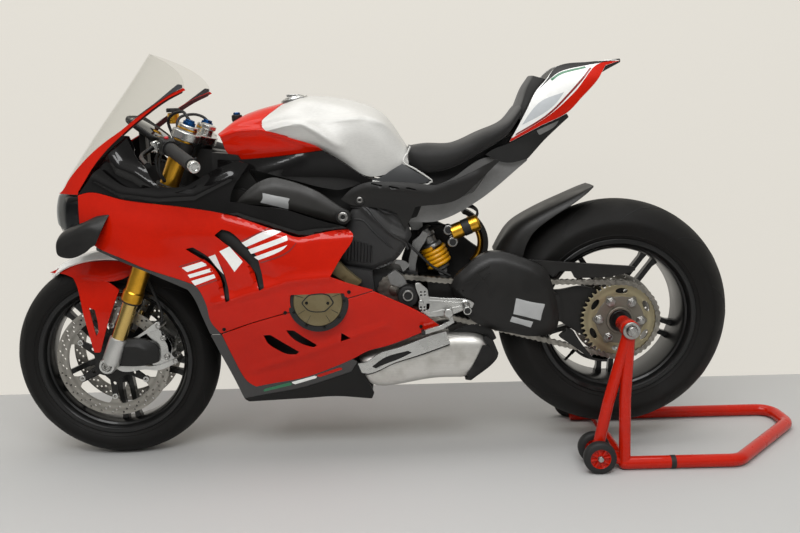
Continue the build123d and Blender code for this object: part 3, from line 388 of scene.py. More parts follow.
def panel(outline: Sequence[Point], surface: Surface, wall: float, holes: Sequence[Sequence[Point]] = (),
          step: float = 9.0, slot: int = 0) -> Shape:
    """Lay a sheet on a side surface and give it a wall.

    Args:
        outline: the sheet's edge, as a closed line of (back, up).
        surface: the outer face's y at a place.
        wall: the sheet's thickness.
        holes: closed lines that are cut out.
        step: the spacing of the points between the edges, or 0 for a flat sheet with none.
        slot: the finish of its faces.

    Returns:
        The sheet on the bike's left.
    """
    loops = [list(outline), *[list(hole) for hole in holes]]
    points: list[Vector] = []
    edges: list[tuple[int, int]] = []
    for loop in loops:
        base, count = len(points), len(loop)
        points.extend(Vector(p) for p in loop)
        edges.extend((base + i, base + (i + 1) % count) for i in range(count))
    if step:
        backs, ups = [p[0] for p in outline], [p[1] for p in outline]
        rim = list(points)
        row, up = 0, min(ups) + step / 2
        while up < max(ups):
            back = min(backs) + step * (0.5 if row % 2 else 1.0)
            while back < max(backs):
                if inside((back, up), loops) and min(
                        (abs(back - r[0]) + abs(up - r[1])) for r in rim) > step * 0.8:
                    points.append(Vector((back, up)))
                back += step
            up += step * 0.87
            row += 1
    flat, _, triangles, *_ = delaunay_2d_cdt(points, edges, [], 0, 1e-5)
    keep = []
    for face in triangles:
        middle = tuple(sum((flat[i] for i in face), Vector((0, 0))) / len(face))
        if inside(middle, loops[:1]) and not any(inside(middle, [hole]) for hole in loops[1:]):
            keep.append(tuple(face))
    outer = [surface(p[0], p[1]) for p in flat]
    count = len(flat)
    shape = Shape([at(p[0], p[1], y - depth) for depth in (0.0, wall) for p, y in zip(flat, outer)])
    used = {(a, b) for face in keep for a, b in zip(face, face[1:] + face[:1])}
    for face in keep:
        shape.faces.append(face)
        shape.faces.append(tuple(count + i for i in reversed(face)))
    for a, b in used:
        if (b, a) not in used:
            shape.faces.append((b, a, count + a, count + b))
    return shape.dressed(slot)


def plate(outline: Sequence[Point], y_one: float, y_other: float, holes: Sequence[Sequence[Point]] = ()) -> Shape:
    """A flat plate between two places on y."""
    low, high = sorted((y_one, y_other))
    return panel(outline, lambda back, up: high, high - low, holes, 0.0)


def prism(low: Sequence[Vector], high: Sequence[Vector]) -> Shape:
    """A block between two matching outlines in space.

    Args:
        low: the outline at one end.
        high: the outline at the other end, with as many points.

    Returns:
        The block.
    """
    count = len(low)
    faces = [tuple(range(count)), tuple(reversed(range(count, 2 * count)))]
    faces += [(k, k + count, (k + 1) % count + count, (k + 1) % count) for k in range(count)]
    return outward(Shape([*low, *high], faces).dressed())


def double_sheet(verts: Sequence[Vector], along: int, across: int) -> Shape:
    """A thin shell between two layers of a grid, closed all round.

    Args:
        verts: the outer layer, row by row, and then the inner one.
        along: how many steps lie between the first row and the last.
        across: how many steps each row has.

    Returns:
        The shell.
    """
    row = across + 1
    layer = (along + 1) * row
    shape = Shape(list(verts))
    for i in range(along):
        for j in range(across):
            a, b = i * row + j, (i + 1) * row + j
            shape.faces += [(a, b, b + 1, a + 1), (layer + a, layer + a + 1, layer + b + 1, layer + b)]
    rim = [i * row for i in range(along + 1)] + [along * row + j for j in range(1, row)]
    rim += [i * row + row - 1 for i in range(along - 1, -1, -1)] + list(range(row - 2, 0, -1))
    shape.faces += [(b, a, layer + a, layer + b) for a, b in zip(rim, rim[1:] + rim[:1])]
    return outward(shape.dressed())


def ring_of(count: int, radius: float, center: Point, start: float = 0.0) -> list[Point]:
    """Points round a circle from a start in degrees, as (back, up)."""
    return [(center[0] + radius * math.cos(math.radians(start) + math.tau * k / count),
             center[1] + radius * math.sin(math.radians(start) + math.tau * k / count)) for k in range(count)]


def turned(rows: Sequence[Point], start: Vector, axis: Vector, sides: int = 32, closed: bool = False) -> Shape:
    """Turn a profile about an axis.

    Args:
        rows: (mm along the axis, radius in mm), in order along the outside.
        start: where the axis begins, in metres.
        axis: the axis's direction.
        sides: how many faces go round.
        closed: whether the profile is a closed loop, as for a ring.

    Returns:
        The turned shape.
    """
    axis = axis.normalized()
    across = axis.orthogonal().normalized()
    third = axis.cross(across)
    shape = Shape()
    for along, radius in rows:
        for k in range(sides):
            angle = math.tau * k / sides
            shape.verts.append(start + axis * (along * MM)
                               + (across * math.cos(angle) + third * math.sin(angle)) * (max(radius, 1e-4) * MM))
    return shape.lace(len(rows), sides, closed)


def hoop(rows: Sequence[Point], start: Vector, axis: Vector, sides: int = 32) -> Shape:
    """A ring with its profile turned about an axis, and its faces outwards."""
    return outward(turned(rows, start, axis, sides, closed=True))


def tube(points: Sequence[Vector], radius: float | Sequence[float], sides: int = 12, wide: float = 1.0) -> Shape:
    """Sweep a round section along a path in metres; wide stretches it sideways.

    Args:
        points: the path, in metres.
        radius: one radius, or one for each point, in millimetres.
        sides: how many sides the section has.
        wide: stretches the section sideways.

    Returns:
        The tube.
    """
    count = len(points)
    radii = [radius] * count if isinstance(radius, (int, float)) else list(radius)
    shape = Shape()
    normal = None
    for i, p in enumerate(points):
        tangent = (points[min(i + 1, count - 1)] - points[max(i - 1, 0)]).normalized()
        if normal is None:
            normal = (ACROSS - tangent * ACROSS.dot(tangent))
            if normal.length < 0.1:
                normal = tangent.orthogonal()
        normal = (normal - tangent * normal.dot(tangent)).normalized()
        third = tangent.cross(normal)
        for k in range(sides):
            angle = math.tau * k / sides
            shape.verts.append(p + (normal * math.cos(angle) * wide + third * math.sin(angle)) * (radii[i] * MM))
    return shape.lace(count, sides)


def hose(points: Sequence[Vector], radius: float, step: float = 6.0) -> Shape:
    """A smooth round hose through a few points."""
    return tube(smooth_path(points, step), radius, 10)


def beam(stations: Sequence[tuple[Vector, float, float]], side: Vector = ACROSS) -> Shape:
    """A bar of rectangular section through stations of (place, half-size along side, other half-size).

    Args:
        stations: places along the bar's middle, with its half-sizes in millimetres.
        side: the way that the first half-size is measured.

    Returns:
        The bar.
    """
    shape = Shape()
    for i, (place, a, b) in enumerate(stations):
        ahead = (stations[min(i + 1, len(stations) - 1)][0] - stations[max(i - 1, 0)][0]).normalized()
        u = (side - ahead * side.dot(ahead)).normalized() * (a * MM)
        v = ahead.cross(u).normalized() * (b * MM)
        shape.verts += [place + u + v, place - u + v, place - u - v, place + u - v]
    return outward(shape.lace(len(stations), 4))


FULL_PRESS = 30.0  # features fade out nearer the middle plane than this


def skinned(rows: Sequence[Sequence[tuple[float, float, float]]], along: int = 6, around: int = 5,
            features: Sequence[Feature] = (), whole: bool = True) -> Shape:
    """A closed smooth skin through a net of points.

    Args:
        rows: rings of (back, half-width, up), the same count in each.
        along: how many steps lie between two rings.
        around: how many steps lie between two points of a ring.
        features: creases and pockets, which move the sides in and out.
        whole: whether each ring runs from the lowest point to the top of the left side and is mirrored to the
            right; otherwise it is a full ring on the left.

    Returns:
        The skin, closed at both ends.
    """
    index, corners = list(range(len(rows))), len(rows[0])
    lines = list(range(corners)) if whole else list(range(-2, corners + 3))
    steps = [k / around for k in range((corners - 1) * around + 1)] if whole else \
        [k / around for k in range(corners * around)]
    shape, size = Shape(), 0
    for i in range((len(rows) - 1) * along + 1):
        net = [[eased(index, [row[c][k] for row in rows], i / along) for k in range(3)] for c in range(corners)]
        loop = []
        for s in steps:
            back, half, up = (eased(lines, [net[c % corners][k] for c in lines], s) for k in range(3))
            shift = sum(feature.lift(back, up) for feature in features)
            loop.append((back, half + shift * min(abs(half) / FULL_PRESS, 1.0), up))
        if whole:
            loop = [(b, max(h, 0.0), u) for b, h, u in loop]
            loop += [(b, -h, u) for b, h, u in reversed(loop) if h > 1e-6]
        size = len(loop)
        shape.verts.extend(at(b, u, h) for b, h, u in loop)
    for i in range((len(rows) - 1) * along):
        for k in range(size):
            n = (k + 1) % size
            shape.faces.append((i * size + k, (i + 1) * size + k, (i + 1) * size + n, i * size + n))
    shape.faces.append(tuple(range(size)))
    last = len(shape.verts) - size
    shape.faces.append(tuple(reversed(range(last, last + size))))
    return outward(shape.dressed())


def outward(shape: Shape) -> Shape:
    """Turn a closed shape's faces to point outwards, judged by its signed volume.

    Args:
        shape: a closed shape.

    Returns:
        The same shape.
    """
    volume = 0.0
    for face in shape.faces:
        a = shape.verts[face[0]]
        for i in range(1, len(face) - 1):
            volume += a.dot(shape.verts[face[i]].cross(shape.verts[face[i + 1]]))
    if volume < 0:
        shape.faces = [tuple(reversed(face)) for face in shape.faces]
    return shape


# ---- finishes -----------------------------------------------------------------------------------------
def linear(code: str) -> tuple[float, float, float, float]:
    """Turn an sRGB hex colour to the linear numbers that shaders work in.

    Args:
        code: the colour, such as "#BE1A05".

    Returns:
        Red, green, blue and a full alpha.
    """
    def channel(value: int) -> float:
        """One channel's linear value."""
        share = value / 255
        return share / 12.92 if share <= 0.04045 else ((share + 0.055) / 1.055) ** 2.4

    return (*[channel(int(code[k:k + 2], 16)) for k in (1, 3, 5)], 1.0)


def add_node(tree: bpy.types.NodeTree, kind: str, settings: dict | None = None, **inputs: object) -> bpy.types.Node:
    """Add a node to a tree.

    Args:
        tree: the node tree.
        kind: the node's type name.
        settings: properties of the node itself.
        inputs: values or sockets for its inputs, named as the socket is with "_" for a space, or "i" and a number.

    Returns:
        The node.
    """
    node = tree.nodes.new(kind)
    for name, value in (settings or {}).items():
        setattr(node, name, value)
    for name, value in inputs.items():
        socket = node.inputs[int(name[1:])] if name[0] == "i" and name[1:].isdigit() else \
            node.inputs[name.replace("_", " ")]
        if isinstance(value, bpy.types.NodeSocket):
            tree.links.new(value, socket)
        else:
            socket.default_value = value
    return node


class Pattern(Enum):
    """How a surface was made, which sets its grain."""

    SPRAYED = "lacquer over colour"
    MOULDED = "moulded plastic with an etched grain"
    BRUSHED = "long fine scratches along X"
    CAST = "sand-cast or die-cast metal"
    MACHINED = "tool marks round the cross-wise axis"
    LEATHER = "vinyl with a pebbled grain"
    RUBBER = "tyre rubber with a dusty bloom"
    CLEAR = "transparent plastic or glass"


CLOUDS = 14.0  # soft patches of tint and gloss per metre
TINT_EDGES = (0.42, 0.68)  # the patch noise at which the shade starts and is full
GLOSS_SWING = (0.86, 1.16)  # the least and most roughness of the patches, as shares
FLECK = 0.22  # how much the grain darkens the colour
PLASTIC_IOR = 1.5


@dataclass(frozen=True)
class Finish:
    """A surface: sRGB colour, shine, and the grain of the way it was made."""

    title: str
    colour: str
    roughness: float
    pattern: Pattern
    metallic: float = 0.0
    coat: float = 0.0
    grain_mm: float = 2.0
    relief_mm: float = 0.01
    shade: str = ""  # the colour that patches, dust or wear turn to
    share: float = 0.5  # how much of it there is
    specular: float = 0.5
    center: tuple[float, float, float] = (0.0, 0.0, 0.0)  # of turning marks, in metres
    turn: float = 0.0  # degrees that brushing marks lean from X, about Y
    slot: str = "black_satin"  # a slot name, kept with the finish

    def material(self) -> bpy.types.Material:
        """Build the material once, and return it after that."""
        found = bpy.data.materials.get(self.title)
        return found or self.build()

    def build(self) -> bpy.types.Material:
        """Make the node tree.

        Returns:
            The new material.
        """
        material = bpy.data.materials.new(self.title)
        material.use_nodes = True
        tree = material.node_tree
        tree.nodes.clear()
        output = add_node(tree, "ShaderNodeOutputMaterial")
        place = add_node(tree, "ShaderNodeTexCoord").outputs["Object"]
        grain = self.grain(tree, place)
        clouds = add_node(tree, "ShaderNodeTexNoise", Vector=place, Scale=CLOUDS, Detail=4.0, Roughness=0.6)
        tint = add_node(tree, "ShaderNodeMapRange", Value=clouds.outputs["Fac"], i1=TINT_EDGES[0],
                        i2=TINT_EDGES[1], i3=0.0, i4=self.share)
        colour = add_node(tree, "ShaderNodeMix", {"data_type": "RGBA"}, i0=tint.outputs["Result"],
                          i6=linear(self.colour), i7=linear(self.shade or self.colour))
        fleck = add_node(tree, "ShaderNodeMix", {"data_type": "RGBA", "blend_type": "MULTIPLY"}, i0=FLECK,
                         i6=colour.outputs[2], i7=grain)
        gloss = add_node(tree, "ShaderNodeMapRange", Value=clouds.outputs["Fac"], i1=0.3, i2=0.7,
                         i3=self.roughness * GLOSS_SWING[0], i4=min(self.roughness * GLOSS_SWING[1], 1.0))
        bump = add_node(tree, "ShaderNodeBump", Strength=1.0, Distance=self.relief_mm * MM, Height=grain)
        shader = add_node(tree, "ShaderNodeBsdfPrincipled", Base_Color=fleck.outputs[2],
                          Roughness=gloss.outputs["Result"], Metallic=self.metallic, IOR=PLASTIC_IOR,
                          Coat_Weight=self.coat, Coat_Roughness=0.04, Specular_IOR_Level=self.specular,
                          Normal=bump.outputs["Normal"])
        result = shader.outputs["BSDF"]
        if self.pattern is Pattern.LEATHER:
            shader.inputs["Sheen Weight"].default_value = 0.15
        if self.pattern is Pattern.CLEAR:
            clear = add_node(tree, "ShaderNodeBsdfTransparent", Color=linear(self.shade))
            facing = add_node(tree, "ShaderNodeLayerWeight", Blend=0.25)
            see = add_node(tree, "ShaderNodeMapRange", Value=facing.outputs["Facing"], i1=0.0, i2=1.0,
                           i3=self.share, i4=min(self.share * 4.0 + 0.12, 1.0))
            result = add_node(tree, "ShaderNodeMixShader", i0=see.outputs["Result"], i1=clear.outputs["BSDF"],
                              i2=result).outputs["Shader"]
        tree.links.new(result, output.inputs["Surface"])
        return material

    def grain(self, tree: bpy.types.NodeTree, place: bpy.types.NodeSocket) -> bpy.types.NodeSocket:
        """The pattern's height field, from 0 to 1, at the grain's real size.

        Args:
            tree: the material's node tree.
            place: the socket with the place on the piece.

        Returns:
            The socket with the height.
        """
        scale = 1.0 / (self.grain_mm * MM)
        if self.pattern is Pattern.BRUSHED:
            stretch = add_node(tree, "ShaderNodeMapping", Vector=place, Scale=(0.02, 1.0, 1.0),
                               Rotation=(0.0, math.radians(self.turn), 0.0))
            return add_node(tree, "ShaderNodeTexNoise", Vector=stretch.outputs["Vector"], Scale=scale,
                            Detail=3.0).outputs["Fac"]
        if self.pattern is Pattern.MACHINED:
            centred = add_node(tree, "ShaderNodeMapping", Vector=place,
                               Location=tuple(-value for value in self.center))
            wave = add_node(tree, "ShaderNodeTexWave", {"wave_type": "RINGS", "rings_direction": "Y"},
                            Vector=centred.outputs["Vector"], Scale=scale / 20, Distortion=1.5, Detail=2.0)
            return wave.outputs["Fac"]
        if self.pattern in (Pattern.LEATHER, Pattern.CAST):
            cells = add_node(tree, "ShaderNodeTexVoronoi", {"feature": "SMOOTH_F1"}, Vector=place, Scale=scale)
            return add_node(tree, "ShaderNodeMapRange", Value=cells.outputs["Distance"], i1=0.0, i2=0.8, i3=0.6,
                            i4=1.0).outputs["Result"]
        noise = add_node(tree, "ShaderNodeTexNoise", Vector=place, Scale=scale, Detail=3.0, Roughness=0.55)
        return add_node(tree, "ShaderNodeMapRange", Value=noise.outputs["Fac"], i1=0.25, i2=0.75, i3=0.7,
                        i4=1.0).outputs["Result"]


# Grains finer than about 2 mm don't show from where the whole bike is seen, so they are drawn that coarse.

# Two-pack lacquer over red: deep colour under a wet-looking clear coat with a faint orange peel.
RED = Finish("red_lacquered_abs", "#BE1A05", 0.34, Pattern.SPRAYED, coat=0.42, grain_mm=9.0, relief_mm=0.012,
             shade="#B01603", specular=0.05, slot="red_paint")
# The same lacquer in the darker red of pinstripes.
RED_LINE = Finish("dark_red_lacquer", "#7E1511", 0.35, Pattern.SPRAYED, coat=0.8, grain_mm=9.0, slot="red_paint")
# White lacquered plastic: clean and bright, with a soft grey where it turns away.
WHITE = Finish("white_lacquered_abs", "#EDEDEA", 0.34, Pattern.SPRAYED, coat=1.0, grain_mm=9.0, shade="#E2E3E2",
               share=0.4, slot="white_paint")
# Dark red painted shade, for the shaded inner faces of the strips beside the screen.
PAINTED_SHADE_RED = Finish("painted_shade_red_lacquer", "#3C0D10", 0.35, Pattern.SPRAYED, coat=0.3, grain_mm=9.0, slot="black_gloss")
BLADE_GREY = Finish("charcoal_lacquer", "#3A3B3E", 0.3, Pattern.SPRAYED, coat=0.4, grain_mm=9.0, slot="black_gloss")
GREY = Finish("pale_grey_lacquer", "#B9BDC0", 0.36, Pattern.SPRAYED, coat=0.9, grain_mm=9.0, slot="white_paint")
GREEN = Finish("green_vinyl_film", "#1E6A45", 0.35, Pattern.SPRAYED, coat=0.6, grain_mm=6.0, slot="white_paint")
# Black lacquered plastic: near-black with sharp studio reflections.
GLOSS_BLACK = Finish("black_lacquered_abs", "#0B0A0A", 0.22, Pattern.SPRAYED, coat=0.7, grain_mm=9.0, shade="#100F0F",
                     specular=0.1, slot="black_gloss")
# Injection-moulded nylon with an etched grain: a flat charcoal with broad soft highlights.
MATT_BLACK = Finish("moulded_glass_filled_nylon", "#161615", 0.52, Pattern.MOULDED, relief_mm=0.05, shade="#1D1C1B",
                    specular=0.35)
# The same nylon on the frame covers, painted lighter where they face the light: painted light, a lighter charcoal.
COVER_BLACK = Finish("painted_light_moulded_nylon", "#242321", 0.46, Pattern.MOULDED, relief_mm=0.05, shade="#2C2B29",
                     specular=0.45)
# Black plastic with polished edges, which draw thin bright lines.
EDGE_BLACK = Finish("polished_black_edge", "#0C0B0B", 0.1, Pattern.SPRAYED, coat=1.0, grain_mm=9.0, relief_mm=0.005,
                    specular=0.6)
# Satin powder coat on the swingarm and small brackets: charcoal with a dull sheen.
SATIN_BLACK = Finish("black_powder_coat", "#151413", 0.42, Pattern.MOULDED, grain_mm=2.5, relief_mm=0.02,
                     shade="#1E1D1B", specular=0.35)
# Deep black plastic that faces the road.
BELLY_BLACK = Finish("moulded_polypropylene", "#100F0E", 0.45, Pattern.MOULDED, grain_mm=2.5, relief_mm=0.04,
                     shade="#171615", specular=0.3, slot="black_gloss")
# Brushed and clear-coated tank aluminium: satin silver with long soft highlights.
TANK_ALLOY = Finish("brushed_tank_aluminium", "#CBCAC6", 0.46, Pattern.BRUSHED, metallic=0.25, coat=0.15,
                    relief_mm=0.006, shade="#C9C8C4", share=0.4, turn=-20.0, slot="brushed_tank")
# Die-cast aluminium: mid grey with the faint pebble of the mould.
CAST_ALLOY = Finish("die_cast_aluminium", "#8F8F8E", 0.42, Pattern.CAST, metallic=0.9, grain_mm=3.0, relief_mm=0.08,
                    shade="#777675", slot="cast_alloy")
# Shot-peened fork feet: a brighter silver than the frame castings.
FOOT_ALLOY = Finish("peened_forged_aluminium", "#CFCFCC", 0.36, Pattern.CAST, metallic=0.85, grain_mm=3.0,
                    relief_mm=0.03, shade="#BDBDBA", slot="cast_alloy")
# Dark-painted engine castings.
ENGINE = Finish("painted_engine_casting", "#2B2B2C", 0.5, Pattern.CAST, metallic=0.3, grain_mm=3.5, relief_mm=0.12,
                shade="#3A3937", slot="engine_cast")
# Magnesium covers in a bronze-tinted paint: warm, dull and slightly speckled.
BRONZE = Finish("bronze_painted_magnesium", "#766A4C", 0.4, Pattern.CAST, metallic=0.55, grain_mm=3.0, relief_mm=0.05,
                shade="#8E8466", slot="bronze_cover")
# Gold-anodised fork legs: a deep satin yellow metal.
GOLD = Finish("gold_anodised_aluminium", "#F0B43C", 0.33, Pattern.BRUSHED, metallic=1.0, relief_mm=0.004,
              shade="#B88323", slot="gold_anodised")
# Titanium-nitride stanchions, paler than the anodised legs.
NITRIDE = Finish("nitrided_fork_tube", "#DBBC72", 0.16, Pattern.BRUSHED, metallic=1.0, relief_mm=0.002,
                 slot="gold_anodised")
BLUE_ANODISED = Finish("blue_anodised_aluminium", "#1F4F86", 0.3, Pattern.BRUSHED, metallic=1.0, relief_mm=0.004,
                       slot="machined_alloy")
# Milled billet aluminium: bright, with fine tool lines.
BILLET = Finish("milled_billet_aluminium", "#D2D2CF", 0.27, Pattern.BRUSHED, metallic=1.0, shade="#B2B2B0",
                slot="machined_alloy")
# Zinc-plated and stainless hardware.
STEEL = Finish("stainless_hardware", "#B4B3B0", 0.28, Pattern.MACHINED, metallic=1.0, grain_mm=2.5, relief_mm=0.005,
               shade="#9A9895", slot="steel")
BLACK_STEEL = Finish("black_oxide_steel", "#232323", 0.35, Pattern.MACHINED, metallic=0.8, grain_mm=2.5,
                     relief_mm=0.005)
CHAIN_STEEL = Finish("oiled_chain_steel", "#A19D95", 0.38, Pattern.MACHINED, metallic=1.0, grain_mm=2.5,
                     shade="#5E5B55", share=0.6, slot="steel")
CARRIER = Finish("blasted_carrier_steel", "#7C776D", 0.48, Pattern.CAST, metallic=0.75, grain_mm=2.5, shade="#6B675E",
                 slot="machined_alloy")
FRONT_ROTOR = Finish("ground_stainless_disc", "#A29F98", 0.33, Pattern.MACHINED, metallic=1.0, grain_mm=3.0,
                     relief_mm=0.012, shade="#908C85", share=0.6, center=tuple(at(*FRONT_AXLE)), slot="disc_steel")
REAR_ROTOR = Finish("ground_rear_disc", "#A5A29C", 0.33, Pattern.MACHINED, metallic=1.0, grain_mm=3.0, relief_mm=0.012,
                    shade="#8F8B84", share=0.6, center=tuple(at(*REAR_AXLE)), slot="disc_steel")
SPROCKET_GOLD = Finish("hard_anodised_sprocket", "#AAA083", 0.36, Pattern.MACHINED, metallic=0.9, grain_mm=3.0,
                       shade="#968B6C", center=tuple(at(*REAR_AXLE)), slot="gold_anodised")
# Brushed silencer skin: pale, with soft patches of a darker, warmer grey.
SILENCER = Finish("brushed_stainless_silencer", "#DEDCD7", 0.42, Pattern.BRUSHED, metallic=0.9, relief_mm=0.008,
                  shade="#B3B0A8", share=0.6, turn=-14.0, slot="titanium")
# Near-black: soot in the outlet bores with painted shade for their depth, and painted shadow under the silencer
# shields.
SOOT_AND_SHADE = Finish("soot_and_painted_shade", "#0B0A09", 0.8, Pattern.CAST, grain_mm=3.0, relief_mm=0.1)
TYRE = Finish("cured_tyre_rubber", "#121110", 0.62, Pattern.RUBBER, grain_mm=2.5, relief_mm=0.05, shade="#171614",
              share=0.6, specular=0.2, slot="tyre_rubber")
# Darker rubber for the tread slits: painted shade in the grooves.
GROOVE_SHADE = Finish("painted_groove_shade_rubber", "#090909", 0.8, Pattern.RUBBER, grain_mm=2.5, relief_mm=0.02, slot="tyre_rubber")
WHEEL_BLACK = Finish("black_enamelled_wheel", "#0D0D0D", 0.32, Pattern.SPRAYED, coat=0.2, grain_mm=6.0, shade="#131312",
                     specular=0.35, slot="wheel_black")
RUBBER = Finish("moulded_epdm_rubber", "#121212", 0.6, Pattern.RUBBER, relief_mm=0.05, shade="#1C1C1B")
# Seat vinyl: dull black with a pebbled grain that breaks up highlights.
VINYL = Finish("grained_seat_vinyl", "#141312", 0.66, Pattern.LEATHER, grain_mm=2.6, relief_mm=0.18, shade="#1C1B19",
               specular=0.35, slot="seat_cover")
SPRING = Finish("yellow_powder_coat", "#E0A010", 0.36, Pattern.SPRAYED, coat=0.3, grain_mm=6.0, relief_mm=0.02,
                slot="gold_anodised")
# Powder-coated stand tube: bright orange-red, glossy with a slight peel.
STAND_RED = Finish("red_powder_coat", "#B81C06", 0.28, Pattern.SPRAYED, coat=0.45, grain_mm=7.0, relief_mm=0.03,
                   shade="#AC1805", specular=0.08, slot="stand_red")
LABEL = Finish("blank_foil_label", "#A9AAAA", 0.45, Pattern.MOULDED, grain_mm=3.0, shade="#9A9B9B",
               slot="machined_alloy")
BLACK_LABEL = Finish("grey_vinyl_film", "#3B3C3D", 0.4, Pattern.MOULDED, grain_mm=3.0)
SCREEN = Finish("clear_polycarbonate", "#8A8A86", 0.04, Pattern.CLEAR, grain_mm=30.0, relief_mm=0.0, shade="#FBFBFA",
                share=0.01, slot="clear_screen")
LENS = Finish("clear_lamp_lens", "#2A2C2E", 0.05, Pattern.CLEAR, grain_mm=30.0, relief_mm=0.0, shade="#D5D8DA",
              share=0.1, slot="lamp_lens")
GLASS_BLACK = Finish("display_cover_glass", "#08090B", 0.08, Pattern.SPRAYED, coat=1.0, grain_mm=20.0, relief_mm=0.0,
                     slot="display")
BUTTON_RED = Finish("red_switch_plastic", "#B01524", 0.4, Pattern.MOULDED, slot="red_paint")
YELLOW = Finish("yellow_film", "#D8C21E", 0.4, Pattern.MOULDED, slot="red_paint")


# ---- the workshop -------------------------------------------------------------------------------------
BEVEL_STARTS = math.radians(40)  # edges that fold by less than this aren't rounded


@dataclass(frozen=True)
class Workshop:
    """Turns shapes into pieces that ride on one body, and lists what it made."""

    body: str = "chassis"
    made: list[str] = field(default_factory=list)

    def on(self, body: str) -> "Workshop":
        """The same workshop, for pieces of another body."""
        return Workshop(body, self.made)

    def fit(self, name: str, shape: Shape, finish: Finish | Sequence[Finish], replaces: str = "",
            bevel: float = 0.0, *, slot: str = "", sharp: float = 32.0) -> bpy.types.Object:
        """Make a piece.

        Args:
            name: the piece's name.
            shape: its mesh.
            finish: its finish, or one for each slot number.
            replaces: the CAD node that it stands for.
            bevel: the radius of its rounded edges, in mm.
            slot: not used.
            sharp: edges that fold by more than this many degrees stay sharp.

        Returns:
            The piece.
        """
        mesh = bpy.data.meshes.new(name)
        mesh.from_pydata([tuple(v) for v in shape.verts], [], shape.faces)
        mesh.polygons.foreach_set("material_index", shape.slots)
        mesh.update()
        return self.take(name, mesh, finish, replaces, bevel, sharp=sharp)

    def take(self, name: str, mesh: bpy.types.Mesh, finish: Finish | Sequence[Finish], replaces: str = "",
             bevel: float = 0.0, *, sharp: float = 32.0) -> bpy.types.Object:
        """Make a piece of a finished mesh; the arguments are as in fit.

        Args:
            name: the piece's name.
            mesh: its mesh.
            finish: its finish, or one for each slot number.
            replaces: the CAD node that it stands for.
            bevel: the radius of its rounded edges, in mm.
            sharp: edges that fold by more than this many degrees stay sharp.

        Returns:
            The piece.
        """
        finishes = [finish] if isinstance(finish, Finish) else finish
        for one in finishes:
            mesh.materials.append(one.material())
        mesh.polygons.foreach_set("use_smooth", [True] * len(mesh.polygons))
        mesh.set_sharp_from_angle(angle=math.radians(sharp))
        piece = bpy.data.objects.new(name, mesh)
        bpy.context.scene.collection.objects.link(piece)
        if bevel:
            edge = piece.modifiers.new("rounded_edges", "BEVEL")
            edge.width, edge.segments, edge.limit_method = bevel * MM, 2, "ANGLE"
            edge.angle_limit = BEVEL_STARTS
            edge.use_clamp_overlap = True
            edge.harden_normals = False
        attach(piece, self.body)
        if replaces:
            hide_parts(replaces)
        self.made.append(name)
        log.info("%s: %d faces, on %s", name, len(mesh.polygons), self.body)
        return piece

    def dress(self, node: str, finish: Finish) -> None:
        """Give a CAD node that stays its finish.

        Args:
            node: the node's name.
            finish: its finish.
        """
        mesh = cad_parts[node].data
        mesh.materials.clear()
        mesh.materials.append(finish.material())
        log.info("%s: the CAD solid in %s", node, finish.title)


Place = tuple[Vector, Vector, float]


